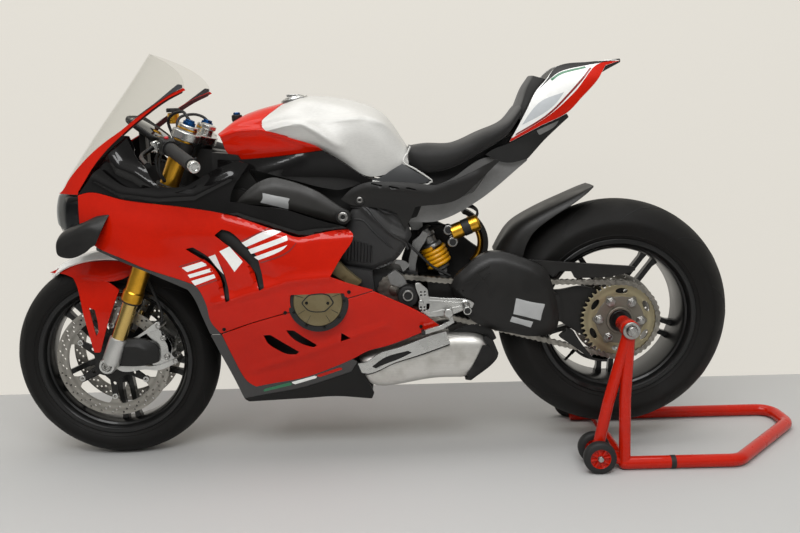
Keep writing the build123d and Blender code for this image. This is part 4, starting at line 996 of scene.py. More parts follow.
@dataclass(frozen=True)
class Spread:
    """A Geometry Nodes tree that copies one small part to many places.

    The places are a point mesh with the attributes "facing", a direction, and "spin", radians about it.
    """

    title: str

    def tree(self) -> bpy.types.NodeTree:
        """Build the tree once, and return it after that.

        Returns:
            The tree.
        """
        found = bpy.data.node_groups.get(self.title)
        if found:
            return found
        tree = bpy.data.node_groups.new(self.title, "GeometryNodeTree")
        face = tree.interface
        face.new_socket("Places", in_out="INPUT", socket_type="NodeSocketGeometry")
        face.new_socket("Part", in_out="INPUT", socket_type="NodeSocketObject")
        face.new_socket("Size", in_out="INPUT", socket_type="NodeSocketFloat")
        face.new_socket("Finish", in_out="INPUT", socket_type="NodeSocketMaterial")
        face.new_socket("Copies", in_out="OUTPUT", socket_type="NodeSocketGeometry")
        given = add_node(tree, "NodeGroupInput")
        part = add_node(tree, "GeometryNodeObjectInfo", Object=given.outputs["Part"])
        facing = add_node(tree, "GeometryNodeInputNamedAttribute", {"data_type": "FLOAT_VECTOR"}, Name="facing")
        spin = add_node(tree, "GeometryNodeInputNamedAttribute", {"data_type": "FLOAT"}, Name="spin")
        turn = add_node(tree, "FunctionNodeAlignRotationToVector", {"axis": "Z"},
                        Vector=facing.outputs["Attribute"])
        about = add_node(tree, "FunctionNodeAxisAngleToRotation", Axis=(0.0, 0.0, 1.0),
                         Angle=spin.outputs["Attribute"])
        both = add_node(tree, "FunctionNodeRotateRotation", {"rotation_space": "LOCAL"},
                        Rotation=turn.outputs["Rotation"], Rotate_By=about.outputs["Rotation"])
        copies = add_node(tree, "GeometryNodeInstanceOnPoints", Points=given.outputs["Places"],
                          Instance=part.outputs["Geometry"], Rotation=both.outputs["Rotation"],
                          Scale=given.outputs["Size"])
        solid = add_node(tree, "GeometryNodeRealizeInstances", Geometry=copies.outputs["Instances"])
        dressed = add_node(tree, "GeometryNodeSetMaterial", Geometry=solid.outputs["Geometry"],
                           Material=given.outputs["Finish"])
        result = add_node(tree, "NodeGroupOutput")
        tree.links.new(dressed.outputs["Geometry"], result.inputs["Copies"])
        return tree

    def fill(self, shop: Workshop, name: str, places: Sequence[Place], part: Shape, finish: Finish,
             replaces: str = "", *, sharp: float = 32.0) -> None:
        """Make one piece of copies of a part.

        Args:
            shop: where the piece is made.
            name: the piece's name.
            places: (point, facing direction, spin in radians) of each copy.
            part: the part, at the origin and facing +Z, in metres.
            finish: the finish of every copy.
            replaces: the CAD node that the piece stands for.
            sharp: edges that fold by more than this many degrees stay sharp.
        """
        points = bpy.data.meshes.new("places")
        points.from_pydata([tuple(place[0]) for place in places], [], [])
        for title, kind, key, values in (
                ("facing", "FLOAT_VECTOR", "vector", [c for place in places for c in place[1].normalized()]),
                ("spin", "FLOAT", "value", [place[2] for place in places])):
            points.attributes.new(title, kind, "POINT").data.foreach_set(key, values)
        sample_mesh = bpy.data.meshes.new("sample")
        sample_mesh.from_pydata([tuple(v) for v in part.verts], [], part.faces)
        sample = bpy.data.objects.new("sample", sample_mesh)
        carrier = bpy.data.objects.new("carrier", points)
        for helper in (sample, carrier):
            bpy.context.scene.collection.objects.link(helper)
        spread = carrier.modifiers.new("spread", "NODES")
        spread.node_group = self.tree()
        sockets = {item.name: item.identifier for item in spread.node_group.interface.items_tree
                   if item.in_out == "INPUT"}
        spread[sockets["Part"]] = sample
        spread[sockets["Size"]] = 1.0
        spread[sockets["Finish"]] = finish.material()
        bpy.context.view_layer.update()
        graph = bpy.context.evaluated_depsgraph_get()
        mesh = bpy.data.meshes.new_from_object(carrier.evaluated_get(graph))
        mesh.materials.clear()
        for helper in (carrier, sample):
            bpy.data.objects.remove(helper)
        shop.take(name, mesh, finish, replaces, sharp=sharp)


FASTENERS = Spread("fasteners_on_points")
LINKS = Spread("chain_links_on_path")


def socket_screw(radius: float, height: float, sides: int = 14) -> Shape:
    """A round-headed screw with a round socket, facing +Z, in mm turned to metres.

    Args:
        radius: the head's radius, in mm.
        height: the head's height, in mm.
        sides: how many sides it has.

    Returns:
        The head.
    """
    rows = [(-0.5, radius), (height * 0.7, radius), (height, radius * 0.82), (height, radius * 0.45)]
    head = turned(rows, Vector(), UPRIGHT, sides)
    head.faces.pop()
    rim, floor = (len(rows) - 1) * sides, len(head.verts)
    head.verts += [Vector((v.x, v.y, height * 0.35 * MM)) for v in head.verts[rim:]]
    head.faces += [(rim + k, rim + (k + 1) % sides, floor + (k + 1) % sides, floor + k) for k in range(sides)]
    head.faces.append(tuple(range(floor, floor + sides)))
    return head.dressed()


# ---- fairing ------------------------------------------------------------------------------------------
CREASE = ((340.0, 492.0), (407.0, 510.0), (471.0, 527.0), (550.0, 552.0), (664.0, 560.0))
SCOOPS = (
    Feature(Cut.POCKET, ((366, 697), (388, 690), (431, 677), (492, 618), (530, 550), (474, 528)), -17.0, 70.0,
            ((461, 532), (446, 585), (436, 612), (400, 655))),
    Feature(Cut.POCKET, ((278, 653), (318, 655), (366, 630), (398, 582), (414, 512), (380, 496)), -14.0, 60.0,
            ((370, 500), (352, 558), (346, 575), (318, 610))),
)
FAIRING_SIDE = Skin(
    levels=(150, 260, 360, 460, 560, 660, 760, 860, 960, 1100),
    stations=(
        (-118, 52, 52, 52, 52, 56, 66, 66, 54, 40, 30),
        (-60, 84, 84, 84, 84, 94, 108, 108, 88, 66, 50),
        (20, 110, 110, 120, 130, 146, 154, 142, 122, 98, 76),
        (130, 116, 120, 140, 165, 186, 186, 170, 152, 140, 120),
        (290, 112, 124, 158, 192, 200, 200, 192, 176, 166, 158),
        (460, 104, 130, 166, 196, 208, 206, 196, 180, 170, 160),
        (640, 98, 130, 166, 196, 208, 200, 184, 170, 160, 150),
        (790, 92, 130, 160, 186, 196, 186, 172, 160, 150, 140),
        (970, 86, 120, 150, 172, 180, 172, 160, 150, 140, 130),
    ),
    features=(
        Feature(Cut.RIDGE, CREASE, 5.0, 12.0),
        Feature(Cut.RIDGE, ((40, 742), (200, 702), (330, 690), (440, 700)), 3.0, 34.0),
        Feature(Cut.RIDGE, ((430, 285), (560, 325), (680, 372), (800, 410)), 3.5, 12.0),
        Feature(Cut.ROLL, ((381, 737), (529, 684), (576, 668), (622, 675), (722, 678)), 9.0, 16.0),
        *SCOOPS,
    ),
)
VENTS = (
    ((351, 681), (372, 697), (394, 690), (436, 648), (460, 624), (470, 583), (478, 534), (464, 526), (456, 556),
     (446, 590), (418, 622)),
    ((269, 645), (290, 650), (326, 625), (365, 594), (374, 557), (382, 502), (370, 495), (363, 530), (357, 562),
     (340, 592)),
)


VENT_OVERLAP = 16  # how far the slats reach behind the fairing


@dataclass
class Fairing:
    """The painted panels down each side, their dark edge trims, vents, stripes and the belly pan."""

    wall: float = 4.0
    window: tuple[Point, float, float] = ((621.0, 490.0), 76.0, 22.0)
    upper: tuple[Point, ...] = (
        (-41, 792), (1, 799), (102, 778), (279, 756), (381, 737), (529, 684), (576, 668), (622, 675), (680, 684),
        (712, 684), (724, 672), (722, 658), (690, 612), (658, 560), (700, 542), (774, 517), (711, 500), (546, 464),
        (430, 432), (345, 402), (323, 438), (315, 490), (298, 532), (287, 545), (267, 554), (148, 596), (90, 620),
        (9, 651), (-14, 667), (-41, 697))
    lower: tuple[Point, ...] = (
        (347, 399), (430, 429), (546, 461), (711, 497), (774, 514), (906, 443), (955, 404), (912, 388), (810, 349),
        (752, 334), (707, 310), (594, 262), (548, 249), (470, 236), (423, 227), (405, 240), (394, 254), (367, 331))
    slots: tuple[tuple[Point, ...], ...] = (
        ((463, 393), (482, 394), (514, 370), (558, 338), (548, 330), (522, 332), (498, 346), (474, 366)),
        ((528, 407), (549, 406), (574, 385), (610, 358), (599, 351), (566, 364), (538, 388)),
        ((680, 394), (705, 377), (677, 368)))
    edge_upper: tuple[Point, ...] = (
        (9, 650), (89, 619), (147, 595), (266, 553), (286, 544), (297, 531), (314, 490), (322, 438), (344, 400),
        (315, 400), (301, 452), (284, 505), (268, 532), (225, 552), (158, 583), (105, 604), (9, 641))
    edge_lower: tuple[Point, ...] = (
        (315, 398), (346, 398), (366, 331), (393, 254), (404, 240), (423, 227), (470, 236), (548, 249),
        (594, 262), (705, 310), (720, 300), (700, 268), (560, 222), (440, 200), (386, 190), (337, 330))
    bars: tuple[tuple[Point, ...], ...] = (
        ((256, 594), (312, 610), (328, 600), (270, 582)), ((270, 574), (337, 592), (341, 583), (276, 565)),
        ((279, 557), (343, 575), (347, 565), (288, 544)), ((330, 622), (350, 629), (369, 572), (352, 590)),
        ((362, 637), (390, 650), (424, 608), (400, 580), (380, 612)),
        ((423, 659), (502, 691), (532, 685), (435, 647)), ((440, 640), (545, 675), (548, 662), (447, 627)),
        ((454, 619), (547, 650), (534, 638), (466, 610)))
    lines: tuple[tuple[Point, ...], ...] = (
        ((420, 664), (496, 697), (500, 695), (422, 661)), ((470, 604), (545, 632), (570, 655), (573, 655),
                                                           (548, 629), (472, 601)),
        ((247, 598), (308, 616), (309, 613), (251, 595)), ((290, 540), (350, 560), (351, 557), (292, 537)))
    stripes: tuple[tuple[tuple[Point, ...], Finish], ...] = (
        (((447, 219), (525, 239), (530, 230), (440, 209)), GREEN),
        (((527, 239), (599, 259), (603, 251), (532, 230)), WHITE),
        (((601, 260), (672, 284), (678, 277), (605, 251)), RED))
    belly: tuple[Point, ...] = (
        (386, 188), (440, 198), (560, 220), (700, 266), (722, 300), (742, 250), (763, 195), (756, 175), (653, 187),
        (563, 184), (399, 179))
    screws: tuple[Point, ...] = ((356, 415), (530, 461), (707, 515), (902, 404))

    def build(self, shop: Workshop) -> None:
        """Make both sides.

        Args:
            shop: puts the pieces on their bodies.
        """
        center, radius, top = self.window
        window = [(b, min(u, center[1] + top)) for b, u in ring_of(72, radius, center)]
        vents = [flowing(line, 5) for line in VENTS]
        upper = panel(flowing(self.upper), FAIRING_SIDE, self.wall, [*vents, window], 8.0)
        lower = panel(flowing(self.lower), FAIRING_SIDE, self.wall,
                      [window, *(flowing(line, 4, fillet=1.5) for line in self.slots)], 8.0)
        for name, shape in (("upper_fairing", upper), ("lower_fairing", lower)):
            for mark, one in (("left", shape), ("right", shape.mirrored())):
                shop.fit(f"{name}_skin_{mark}", one, RED, f"{name}_{mark}", 1.2)
        shop.fit("vent_louvres", self.louvres(), MATT_BLACK, bevel=0.8, slot="black_gloss")
        trims = panel(flowing(self.edge_upper), FAIRING_SIDE.raised(-1.0), 5.0, step=8.0).join(
            panel(flowing(self.edge_lower), FAIRING_SIDE.raised(-1.5), 5.0, step=8.0))
        shop.fit("fairing_edge_trims", trims.both(), EDGE_BLACK, bevel=1.0)
        self.build_belly(shop)
        self.build_marks(shop)

    def louvres(self) -> Shape:
        """The slats behind the vents, each with a rib down its middle.

        Returns:
            The slats of both sides.
        """
        shape = Shape()
        middles = (((372, 690), (440, 618), (466, 534)), ((284, 645), (354, 580), (374, 500)))
        for line, middle in zip(VENTS, middles):
            rib = Feature(Cut.RIDGE, middle, 4.0, 16.0)
            blade = FAIRING_SIDE.pressed(FAIRING_SIDE.features[0], rib)
            center = [sum(p[k] for p in line) / len(line) for k in (0, 1)]
            wide = []
            for b, u in line:
                share = max(math.dist((b, u), center), 1)
                wide.append((b + VENT_OVERLAP * (b - center[0]) / share, u + VENT_OVERLAP * (u - center[1]) / share))
            shape.join(panel(flowing(wide, 5), blade.raised(-13.0), 3.0, step=5.0))
        behind = [(252, 640), (262, 668), (330, 690), (400, 712), (465, 662), (498, 580), (500, 505), (362, 480),
                  (338, 520), (300, 600)]
        shape.join(panel(flowing(behind, 10), FAIRING_SIDE.raised(-24.0), 3.0, step=8.0))
        return shape.both()

    def build_belly(self, shop: Workshop) -> None:
        """Make the belly pan, a trough across both sides.

        Args:
            shop: puts the pieces on their bodies.
        """
        sides = panel(flowing(self.belly), FAIRING_SIDE.raised(-2.0), 5.0, step=8.0).both()
        for rows, wall in ((((386, 188), (399, 179), (563, 184), (653, 187), (756, 175)), (0.0, 4.0)),
                           (((386, 190), (362, 262), (342, 332), (322, 396)), (4.0, 0.0))):
            layers = ([], [])
            for back, up in rows:
                half = FAIRING_SIDE(back, up) - 5.0
                for k in range(7):
                    y = half * (1 - k / 3)
                    bow = 22 * (1 - (y / half) ** 2) if wall[0] else 0.0
                    layers[0].append(at(back + bow, up, y))
                    layers[1].append(at(back + bow + wall[0], up + wall[1], y))
            sides.join(double_sheet(layers[0] + layers[1], len(rows) - 1, 6))
        shop.fit("belly_pan_skin", sides, BELLY_BLACK, "belly_pan", 1.0)

    def build_marks(self, shop: Workshop) -> None:
        """Lay plain stripes on the panels and set their screws.

        Args:
            shop: puts the pieces on their bodies.
        """
        film = FAIRING_SIDE.raised(0.35)
        marks = Shape()
        for slot, outlines, step in ((0, self.bars, 6.0), (1, self.lines, 8.0)):
            for outline in outlines:
                marks.join(panel(flowing(outline, 5, fillet=1.5), film, 0.3, step=step, slot=slot))
        shop.fit("side_stripes", marks.both(), [WHITE, RED_LINE])
        stripes = Shape()
        for k, (outline, _) in enumerate(self.stripes):
            stripes.join(panel(flowing(outline, 5, fillet=0.0), FAIRING_SIDE.raised(-1.1), 0.5, step=8.0, slot=k))
        shop.fit("belly_stripes", stripes.both(), [finish for _, finish in self.stripes])
        places = [(at(b, u, sign * (FAIRING_SIDE(b, u) + 0.2)), Vector((0, sign, 0.05)), 0.0)
                  for b, u in self.screws for sign in (1, -1)]
        FASTENERS.fill(shop, "fairing_screws", places, socket_screw(5.0, 2.5), BLACK_STEEL)


# ---- nose, cockpit and screen -------------------------------------------------------------------------
@dataclass
class Nose:
    """The lamp unit, the painted strips beside the screen, the screen, winglets and cockpit panels."""

    dash: Point = (140.0, 972.0)
    dash_tilt: float = math.radians(38.5)
    strip_top: tuple[Point, ...] = (
        (-97, 803), (-72, 834), (-34, 872), (9, 909), (42, 932), (103, 968), (190, 1028), (233, 1052), (284, 1073))
    strip_low: tuple[Point, ...] = (
        (290, 1067), (233, 1043), (161, 997), (101, 953), (46, 908), (6, 864), (-20, 828), (-41, 800))
    screen_mid: tuple[Point, ...] = ((-110, 803), (-88, 848), (-32, 927), (20, 996), (92, 1088), (157, 1175))
    screen_wall: float = 3.0
    lamp: Net = (
        ((-120, 0, 668), (-128, 20, 676), (-131, 36, 704), (-131, 38, 746), (-124, 30, 786), (-120, 0, 797)),
        ((-100, 0, 656), (-104, 34, 662), (-112, 58, 694), (-111, 64, 750), (-103, 54, 790), (-98, 0, 802)),
        ((-76, 0, 650), (-80, 52, 656), (-86, 84, 692), (-84, 92, 752), (-78, 82, 792), (-74, 0, 806)),
        ((-44, 0, 664), (-44, 70, 670), (-44, 98, 700), (-44, 106, 754), (-44, 100, 792), (-44, 0, 806)))

    def build(self, shop: Workshop) -> None:
        """Make every piece ahead of the rider.

        Args:
            shop: puts the pieces on their bodies.
        """
        outline = flowing([(-41, 793), (-112, 794), *self.strip_top, *self.strip_low], 6, fillet=2)
        strip = panel(outline, FAIRING_SIDE, 4.0, step=7.0)
        shop.fit("nose_strips", strip.both(), RED, "nose_fairing", 1.0)
        blade = [(120, 984), (168, 1014), (206, 1038), (240, 1062), (270, 1083), (282, 1081), (282, 1073),
                 (252, 1060), (205, 1034), (143, 997)]
        edge = panel(flowing(blade, 6, fillet=2), FAIRING_SIDE.raised(2.5), 4.0, step=0.0)
        shop.fit("screen_edge_blades", edge.both(), BLADE_GREY, bevel=0.8)
        # Dark red sheets just inside the strips: painted shade on their inner faces, not a lining.
        painted_shade_outline = [(101, 948), (161, 992), (233, 1038), (280, 1060), (284, 1070), (233, 1050), (190, 1026),
                  (101, 968)]
        inside = panel(flowing(painted_shade_outline, 6, fillet=2), FAIRING_SIDE.raised(-4.4), 3.0, step=8.0)
        shop.fit("strip_linings", inside.both(), PAINTED_SHADE_RED, bevel=0.6)
        self.build_screen(shop)
        self.build_lamps(shop)
        self.build_winglets(shop)
        self.build_cockpit(shop)
        self.build_dash(shop)

    def screen_point(self, u: float, v: float, inset: float = 0.0) -> Vector:
        """A point of the screen: u runs from the nose to its rear edge, v from the side to the middle.

        Args:
            u: 0 at the nose, 1 at the rear edge.
            v: 0 at the side, 1 at the middle.
            inset: millimetres inside the outer surface.

        Returns:
            The point.
        """
        edge, middle = range(len(self.strip_top)), range(len(self.screen_mid))
        side = [eased(edge, [p[k] for p in self.strip_top], u * edge[-1]) for k in (0, 1)]
        mid = [eased(middle, [p[k] for p in self.screen_mid], u * middle[-1]) for k in (0, 1)]
        half = FAIRING_SIDE(side[0], side[1]) - 1.5 - inset
        angle = v * math.pi / 2
        w = math.sin(angle)
        back = side[0] + (mid[0] - side[0]) * w ** (1.4 + 1.6 * u)
        up = side[1] + 1.0 + (mid[1] - side[1]) * w**1.4
        return at(back + inset * 0.7, up - inset * 0.7, half * math.cos(angle))

    def build_screen(self, shop: Workshop) -> None:
        """Make the clear double-curved screen.

        Args:
            shop: puts the pieces on their bodies.
        """
        along, across = 40, 16
        verts = []
        for inset in (0.0, self.screen_wall):
            for i in range(along + 1):
                for j in range(2 * across + 1):
                    p = self.screen_point(i / along, 1 - abs(j - across) / across, inset)
                    verts.append(Vector((p.x, p.y if j <= across else -p.y, p.z)))
        shop.fit("screen_skin", double_sheet(verts, along, 2 * across), SCREEN, "windscreen", sharp=50.0)

    def build_lamps(self, shop: Workshop) -> None:
        """Make the black lamp housing, its two clear lenses and the intake between them.

        Args:
            shop: puts the pieces on their bodies.
        """
        shop.fit("lamp_housing", skinned(self.lamp, 6, 6), GLOSS_BLACK, "headlight", slot="lamp_lens", sharp=40.0)
        front = [[(b - 2.5 * (1 - k / 3), h + 3.0, u) for b, h, u in row[2:5]] for k, row in enumerate(self.lamp)]
        net = [row + [(b + 9, h - 6, u) for b, h, u in reversed(row)] for row in front]
        lenses = skinned(net, 5, 5, whole=False).both()
        shop.fit("lamp_lenses", lenses, LENS, sharp=60.0)

    def build_winglets(self, shop: Workshop) -> None:
        """Make the moulded winglets: thick blades beside the nose that turn down and back.

        Args:
            shop: puts the pieces on their bodies.
        """
        rows = (
            ((60, 740), (30, 726), (-6, 716), (-40, 696), (-62, 690), (-64, 694), (-44, 704), (-8, 726), (28, 738)),
            ((62, 741), (32, 722), (-6, 706), (-46, 684), (-80, 682), (-84, 690), (-62, 704), (-14, 722), (24, 738)),
            ((56, 736), (30, 712), (-4, 690), (-42, 662), (-84, 660), (-90, 672), (-74, 694), (-28, 714), (14, 730)),
            ((40, 700), (20, 680), (-6, 652), (-44, 630), (-80, 634), (-87, 650), (-80, 674), (-40, 696), (6, 712)),
            ((24, 664), (10, 654), (-8, 640), (-42, 627), (-68, 631), (-74, 642), (-68, 656), (-40, 668), (4, 676)))
        net = [[(b, half, u) for b, u in row] for half, row in zip((112, 138, 164, 184, 190), rows)]
        shop.fit("winglet_blades", skinned(net, 6, 4, whole=False).both(), SATIN_BLACK, "winglets", sharp=50.0)

    def build_dash(self, shop: Workshop) -> None:
        """Make the display: a moulded case with a rolled rim, and its glass.

        Args:
            shop: puts the pieces on their bodies.
        """
        ahead = Vector((-math.sin(self.dash_tilt), 0, math.cos(self.dash_tilt)))
        down = ahead.cross(ACROSS)
        place = at(*self.dash)
        case, glass = Shape(), Shape()
        for shape, half, tall, rows in (
                (case, 89, 54, ((-16, 0.82), (-14, 0.93), (-8, 0.99), (-1, 1.0), (1.5, 0.975), (2, 0.93), (0, 0.9))),
                (glass, 80, 45, ((-6, 1.0), (-0.5, 1.0), (0.4, 0.985)))):
            edge = ring_of(48, 1.0, (0.0, 0.0))
            for depth, share in rows:
                for c, t in edge:
                    a = math.copysign(abs(c) ** 0.3, c) * half * share
                    b = math.copysign(abs(t) ** 0.35, t) * tall * share
                    shape.verts.append(place + ACROSS * (a * MM) + down * (b * MM) + ahead * (depth * MM))
            shape.lace(len(rows), len(edge))
        shop.fit("display_case", outward(case), MATT_BLACK, "dashboard", sharp=50.0)
        shop.fit("display_glass", outward(glass), GLASS_BLACK, sharp=50.0)

    def build_cockpit(self, shop: Workshop) -> None:
        """Make the black inner panels below the bars.

        Args:
            shop: puts the pieces on their bodies.
        """
        wedge = [(309, 745), (351, 738), (394, 729), (439, 714), (489, 699), (524, 687), (570, 671), (616, 670),
                 (656, 678), (700, 684), (716, 684), (696, 693), (648, 707), (598, 724), (541, 744), (471, 755),
                 (400, 768), (340, 770)]
        top = [(-41, 793), (-14, 824), (14, 856), (30, 864), (52, 846), (110, 813), (205, 812), (277, 813),
               (305, 827), (362, 857), (419, 877), (450, 868), (404, 800), (396, 770), (430, 742), (384, 738),
               (279, 757), (102, 779), (1, 800)]
        shade = Feature(Cut.RIDGE, ((10, 838), (90, 800), (200, 786), (300, 790), (400, 836)), 5.0, 9.0)
        outer = FAIRING_SIDE.pressed(shade)
        funnel = [(-10, 828), (3, 806), (110, 800), (216, 810), (186, 826), (158, 866), (141, 884), (125, 915),
                  (108, 950), (57, 904), (12, 853)]
        fold = FAIRING_SIDE.pressed(
            Feature(Cut.RIDGE, ((60, 900), (84, 868), (130, 850), (190, 812)), 12.0, 16.0))
        shroud = [(-92, 800), (-70, 826), (-34, 864), (9, 900), (46, 926), (88, 952), (112, 950), (128, 915),
                  (100, 850), (30, 812), (-30, 792)]
        inner = panel(flowing(top), outer.raised(-3.0), 4.0, step=7.0).join(
            panel(flowing(shroud, 6), FAIRING_SIDE.raised(-30.0), 4.0, step=7.0),
            panel(flowing(funnel, 6), fold.raised(-16.0), 4.0, step=7.0),
            panel(flowing(wedge, 5), FAIRING_SIDE.raised(-7.0), 4.0, step=7.0))
        shop.fit("cockpit_side_panels", inner.both(), GLOSS_BLACK, "cockpit_panels", 1.0)


# ---- tank and the panels under it ---------------------------------------------------------------------
@dataclass
class Tank:
    """The aluminium tank, the red cover on its front, the cap, and the black panels below."""

    seam: tuple[tuple[float, float, float], ...] = (
        (643, 102, 896), (612, 107, 914), (490, 113, 954), (475, 105, 971), (480, 92, 988), (521, 50, 1021),
        (533, 0, 1032))
    cover: Net = (
        ((392, 100, 878), (375, 106, 905), (364, 107, 940), (356, 95, 945), (350, 74, 948), (345, 45, 947),
         (342, 0, 946)),
        ((440, 104, 878), (425, 112, 912), (406, 112, 953), (396, 98, 964), (393, 78, 975), (395, 46, 984),
         (396, 0, 989)),
        ((530, 104, 884), (505, 112, 914), (450, 114, 957), (438, 103, 970), (437, 87, 985), (445, 49, 1003),
         (448, 0, 1011)))
    silver: Net = (
        ((668, 102, 882), (640, 113, 912), (580, 121, 966), (572, 112, 985), (572, 97, 1004), (588, 60, 1036),
         (592, 0, 1046)),
        ((706, 101, 858), (690, 112, 888), (664, 119, 926), (654, 109, 960), (650, 97, 980), (660, 60, 1022),
         (664, 0, 1043)),
        ((760, 98, 823), (752, 100, 860), (742, 100, 905), (742, 97, 948), (742, 87, 983), (744, 52, 1008),
         (748, 0, 1025)),
        ((812, 92, 824), (813, 92, 858), (813, 90, 895), (813, 84, 930), (814, 72, 962), (815, 42, 976),
         (817, 0, 986)),
        ((880, 78, 852), (880, 76, 862), (880, 70, 873), (880, 62, 881), (880, 50, 888), (880, 30, 892),
         (880, 0, 894)))

    def build(self, shop: Workshop) -> None:
        """Make the tank and its covers.

        Args:
            shop: puts the pieces on their bodies.
        """
        creases = (Feature(Cut.RIDGE, ((490, 954), (589, 971), (630, 950), (690, 906)), 5.0, 8.0),
                   Feature(Cut.RIDGE, ((600, 978), (635, 977), (763, 985), (815, 964)), 4.0, 8.0))
        start = [(b + 1.5, max(h - 1.5, 0), u - 1.0) for b, h, u in self.seam]
        shop.fit("tank_skin", skinned([start, *self.silver], 8, 6, features=creases), TANK_ALLOY, "fuel_tank",
                 sharp=40.0)
        ridge = (Feature(Cut.RIDGE, ((366, 941), (410, 954), (478, 957), (644, 899)), 4.0, 7.0),)
        shop.fit("tank_cover_skin", skinned([*self.cover, self.seam], 8, 6, features=ridge), RED, "tank_cover", 1.0,
                 sharp=40.0)
        knee = Skin((790, 830, 870, 905), ((750, 113, 112, 106, 100), (800, 110, 108, 104, 96),
                                           (880, 106, 104, 94, 84), (960, 108, 106, 98, 88)))
        pad = panel(flowing([(776, 812), (802, 818), (832, 837), (862, 853), (900, 830), (938, 806), (924, 799),
                             (850, 802), (790, 806)], 5, fillet=2), knee, 10.0, step=6.0)
        shop.fit("tank_pads", pad.both(), BLACK_LABEL, bevel=1.5)
        edge = [at(b, u, knee(b, u) + 1) for b, u in ((885, 900), (878, 884), (866, 858), (900, 836), (942, 806),
                                                     (938, 800), (922, 794), (850, 797), (778, 808))]
        shop.fit("tank_trims", hose(edge, 2.6, 3.0).both(), TANK_ALLOY)
        self.build_cap(shop)
        self.build_panels(shop)

    def build_cap(self, shop: Workshop) -> None:
        """Make the filler cap with its ring of screws.

        Args:
            shop: puts the pieces on their bodies.
        """
        lean = Vector((0.18, 0, 1)).normalized()
        base = at(560, 1037)
        cap = turned([(-6, 39), (3, 39), (5, 37), (5, 30), (4, 29), (9, 27), (10, 24), (10, 1)], base, lean, 48)
        grip = prism(*[[base + lean * (z * MM) + Vector((x * MM, y * MM, 0))
                        for x, y in ((-20, -4), (20, -4), (20, 4), (-20, 4))] for z in (9, 16)])
        shop.fit("filler_cap", cap.join(grip), BILLET, "fuel_cap", 0.6)
        across = lean.cross(ACROSS)
        places = [(base + lean * (4.6 * MM) + (ACROSS * math.cos(math.tau * k / 7)
                                               + across * math.sin(math.tau * k / 7)) * (34 * MM), lean, 0.0)
                  for k in range(7)]
        FASTENERS.fill(shop, "filler_cap_screws", places, socket_screw(3.2, 2.0), STEEL)
        knob = turned([(-8, 12), (0, 15), (12, 15), (14, 13), (14, 1)], at(392, 986), UPRIGHT, 28)
        dial = turned([(13, 10), (19, 10), (21, 8), (21, 1)], at(392, 986), UPRIGHT, 28)
        shop.fit("damper_knob", knob, MATT_BLACK, bevel=0.6)
        shop.fit("damper_dial", dial, BLUE_ANODISED, bevel=0.4)

    def build_panels(self, shop: Workshop) -> None:
        """Make the black duct panels, the frame covers with a blank label, and the side covers.

        Args:
            shop: puts the pieces on their bodies.
        """
        duct_line = [(356, 880), (395, 878), (469, 880), (552, 886), (643, 896), (703, 859), (760, 821),
                     (777, 812), (744, 799), (714, 794), (689, 788), (648, 794), (541, 824), (450, 852), (420, 836),
                     (379, 814), (352, 786)]
        duct = Skin((780, 830, 880, 920), ((350, 122, 128, 126, 124), (480, 128, 136, 132, 128),
                                           (640, 128, 134, 126, 120), (790, 124, 122, 114, 110)),
                    (Feature(Cut.RIDGE, ((352, 790), (448, 832), (492, 846), (588, 877)), 3.0, 14.0),))
        shop.fit("duct_panel_skins", panel(flowing(duct_line), duct, 6.0, step=6.0).both(), GLOSS_BLACK, "duct_panels",
                 1.0)
        cover_line = [(403, 759), (422, 782), (467, 816), (506, 828), (529, 824), (583, 807), (632, 784),
                      (670, 756), (694, 739), (712, 730), (718, 714), (708, 698), (694, 693), (648, 706),
                      (598, 723), (541, 742), (471, 754)]
        cover = Skin((690, 740, 790, 830), ((400, 150, 160, 160, 152), (520, 152, 162, 163, 154),
                                            (720, 146, 154, 150, 146)),
                     (Feature(Cut.ROLL, tuple(cover_line + cover_line[:1]), 8.0, 26.0),))
        # The frame covers wear the lighter copy of the nylon: painted light where they face the lamps.
        shop.fit("frame_cover_skins", panel(flowing(cover_line), cover, 14.0, step=6.0).both(), COVER_BLACK,
                 "frame_covers", 1.5)
        bolts, collars = Shape(), Shape()
        for spot, radius, y in (((696, 716), 14.0, 158.0), ((742, 759), 9.0, 136.0)):
            collars.join(turned([(-8, radius + 7), (2, radius + 7), (4, radius + 4), (4, radius)], at(*spot, y),
                                ACROSS, 36))
            bolts.join(turned([(-6, radius), (5, radius), (7, radius - 2), (7, radius * 0.5), (3, radius * 0.42)],
                              at(*spot, y), ACROSS, 36))
        shop.fit("frame_bolts", bolts.both(), STEEL, bevel=0.5)
        shop.fit("frame_bolt_collars", collars.both(), MATT_BLACK, bevel=0.5)
        labels = panel(((481, 788), (553, 771), (547, 741), (473, 762)), cover.raised(0.5), 0.6, step=8.0).join(
            panel(((471, 744), (541, 729), (538, 720), (470, 731)), cover.raised(0.5), 0.6, step=8.0, slot=1))
        shop.fit("frame_labels", labels.both(), [LABEL, BLACK_LABEL])
        side_line = [(690, 762), (720, 790), (760, 806), (805, 808), (925, 797), (945, 794), (1005, 808),
                     (1120, 860), (1128, 855), (1060, 792), (1010, 752), (895, 736), (880, 700), (866, 676),
                     (842, 722), (800, 734), (756, 740), (724, 744)]
        side = Skin((680, 740, 780, 860), ((690, 134, 134, 134, 134), (820, 132, 136, 137, 132),
                                           (1000, 130, 134, 135, 132), (1130, 124, 128, 130, 132)),
                    (Feature(Cut.RIDGE, ((700, 764), (760, 790), (840, 786), (940, 772), (1060, 812)), 7.0, 24.0),))
        slots = [((775, 806), (806, 798), (805, 794), (776, 801)), ((824, 797), (852, 790), (851, 786),
                                                                     (824, 792)),
                 ((871, 792), (898, 785), (897, 781), (871, 787))]
        shop.fit("side_cover_skins", panel(flowing(side_line), side, 10.0, slots, 6.0).both(), SATIN_BLACK,
                 "side_covers", 1.0, slot="black_gloss")


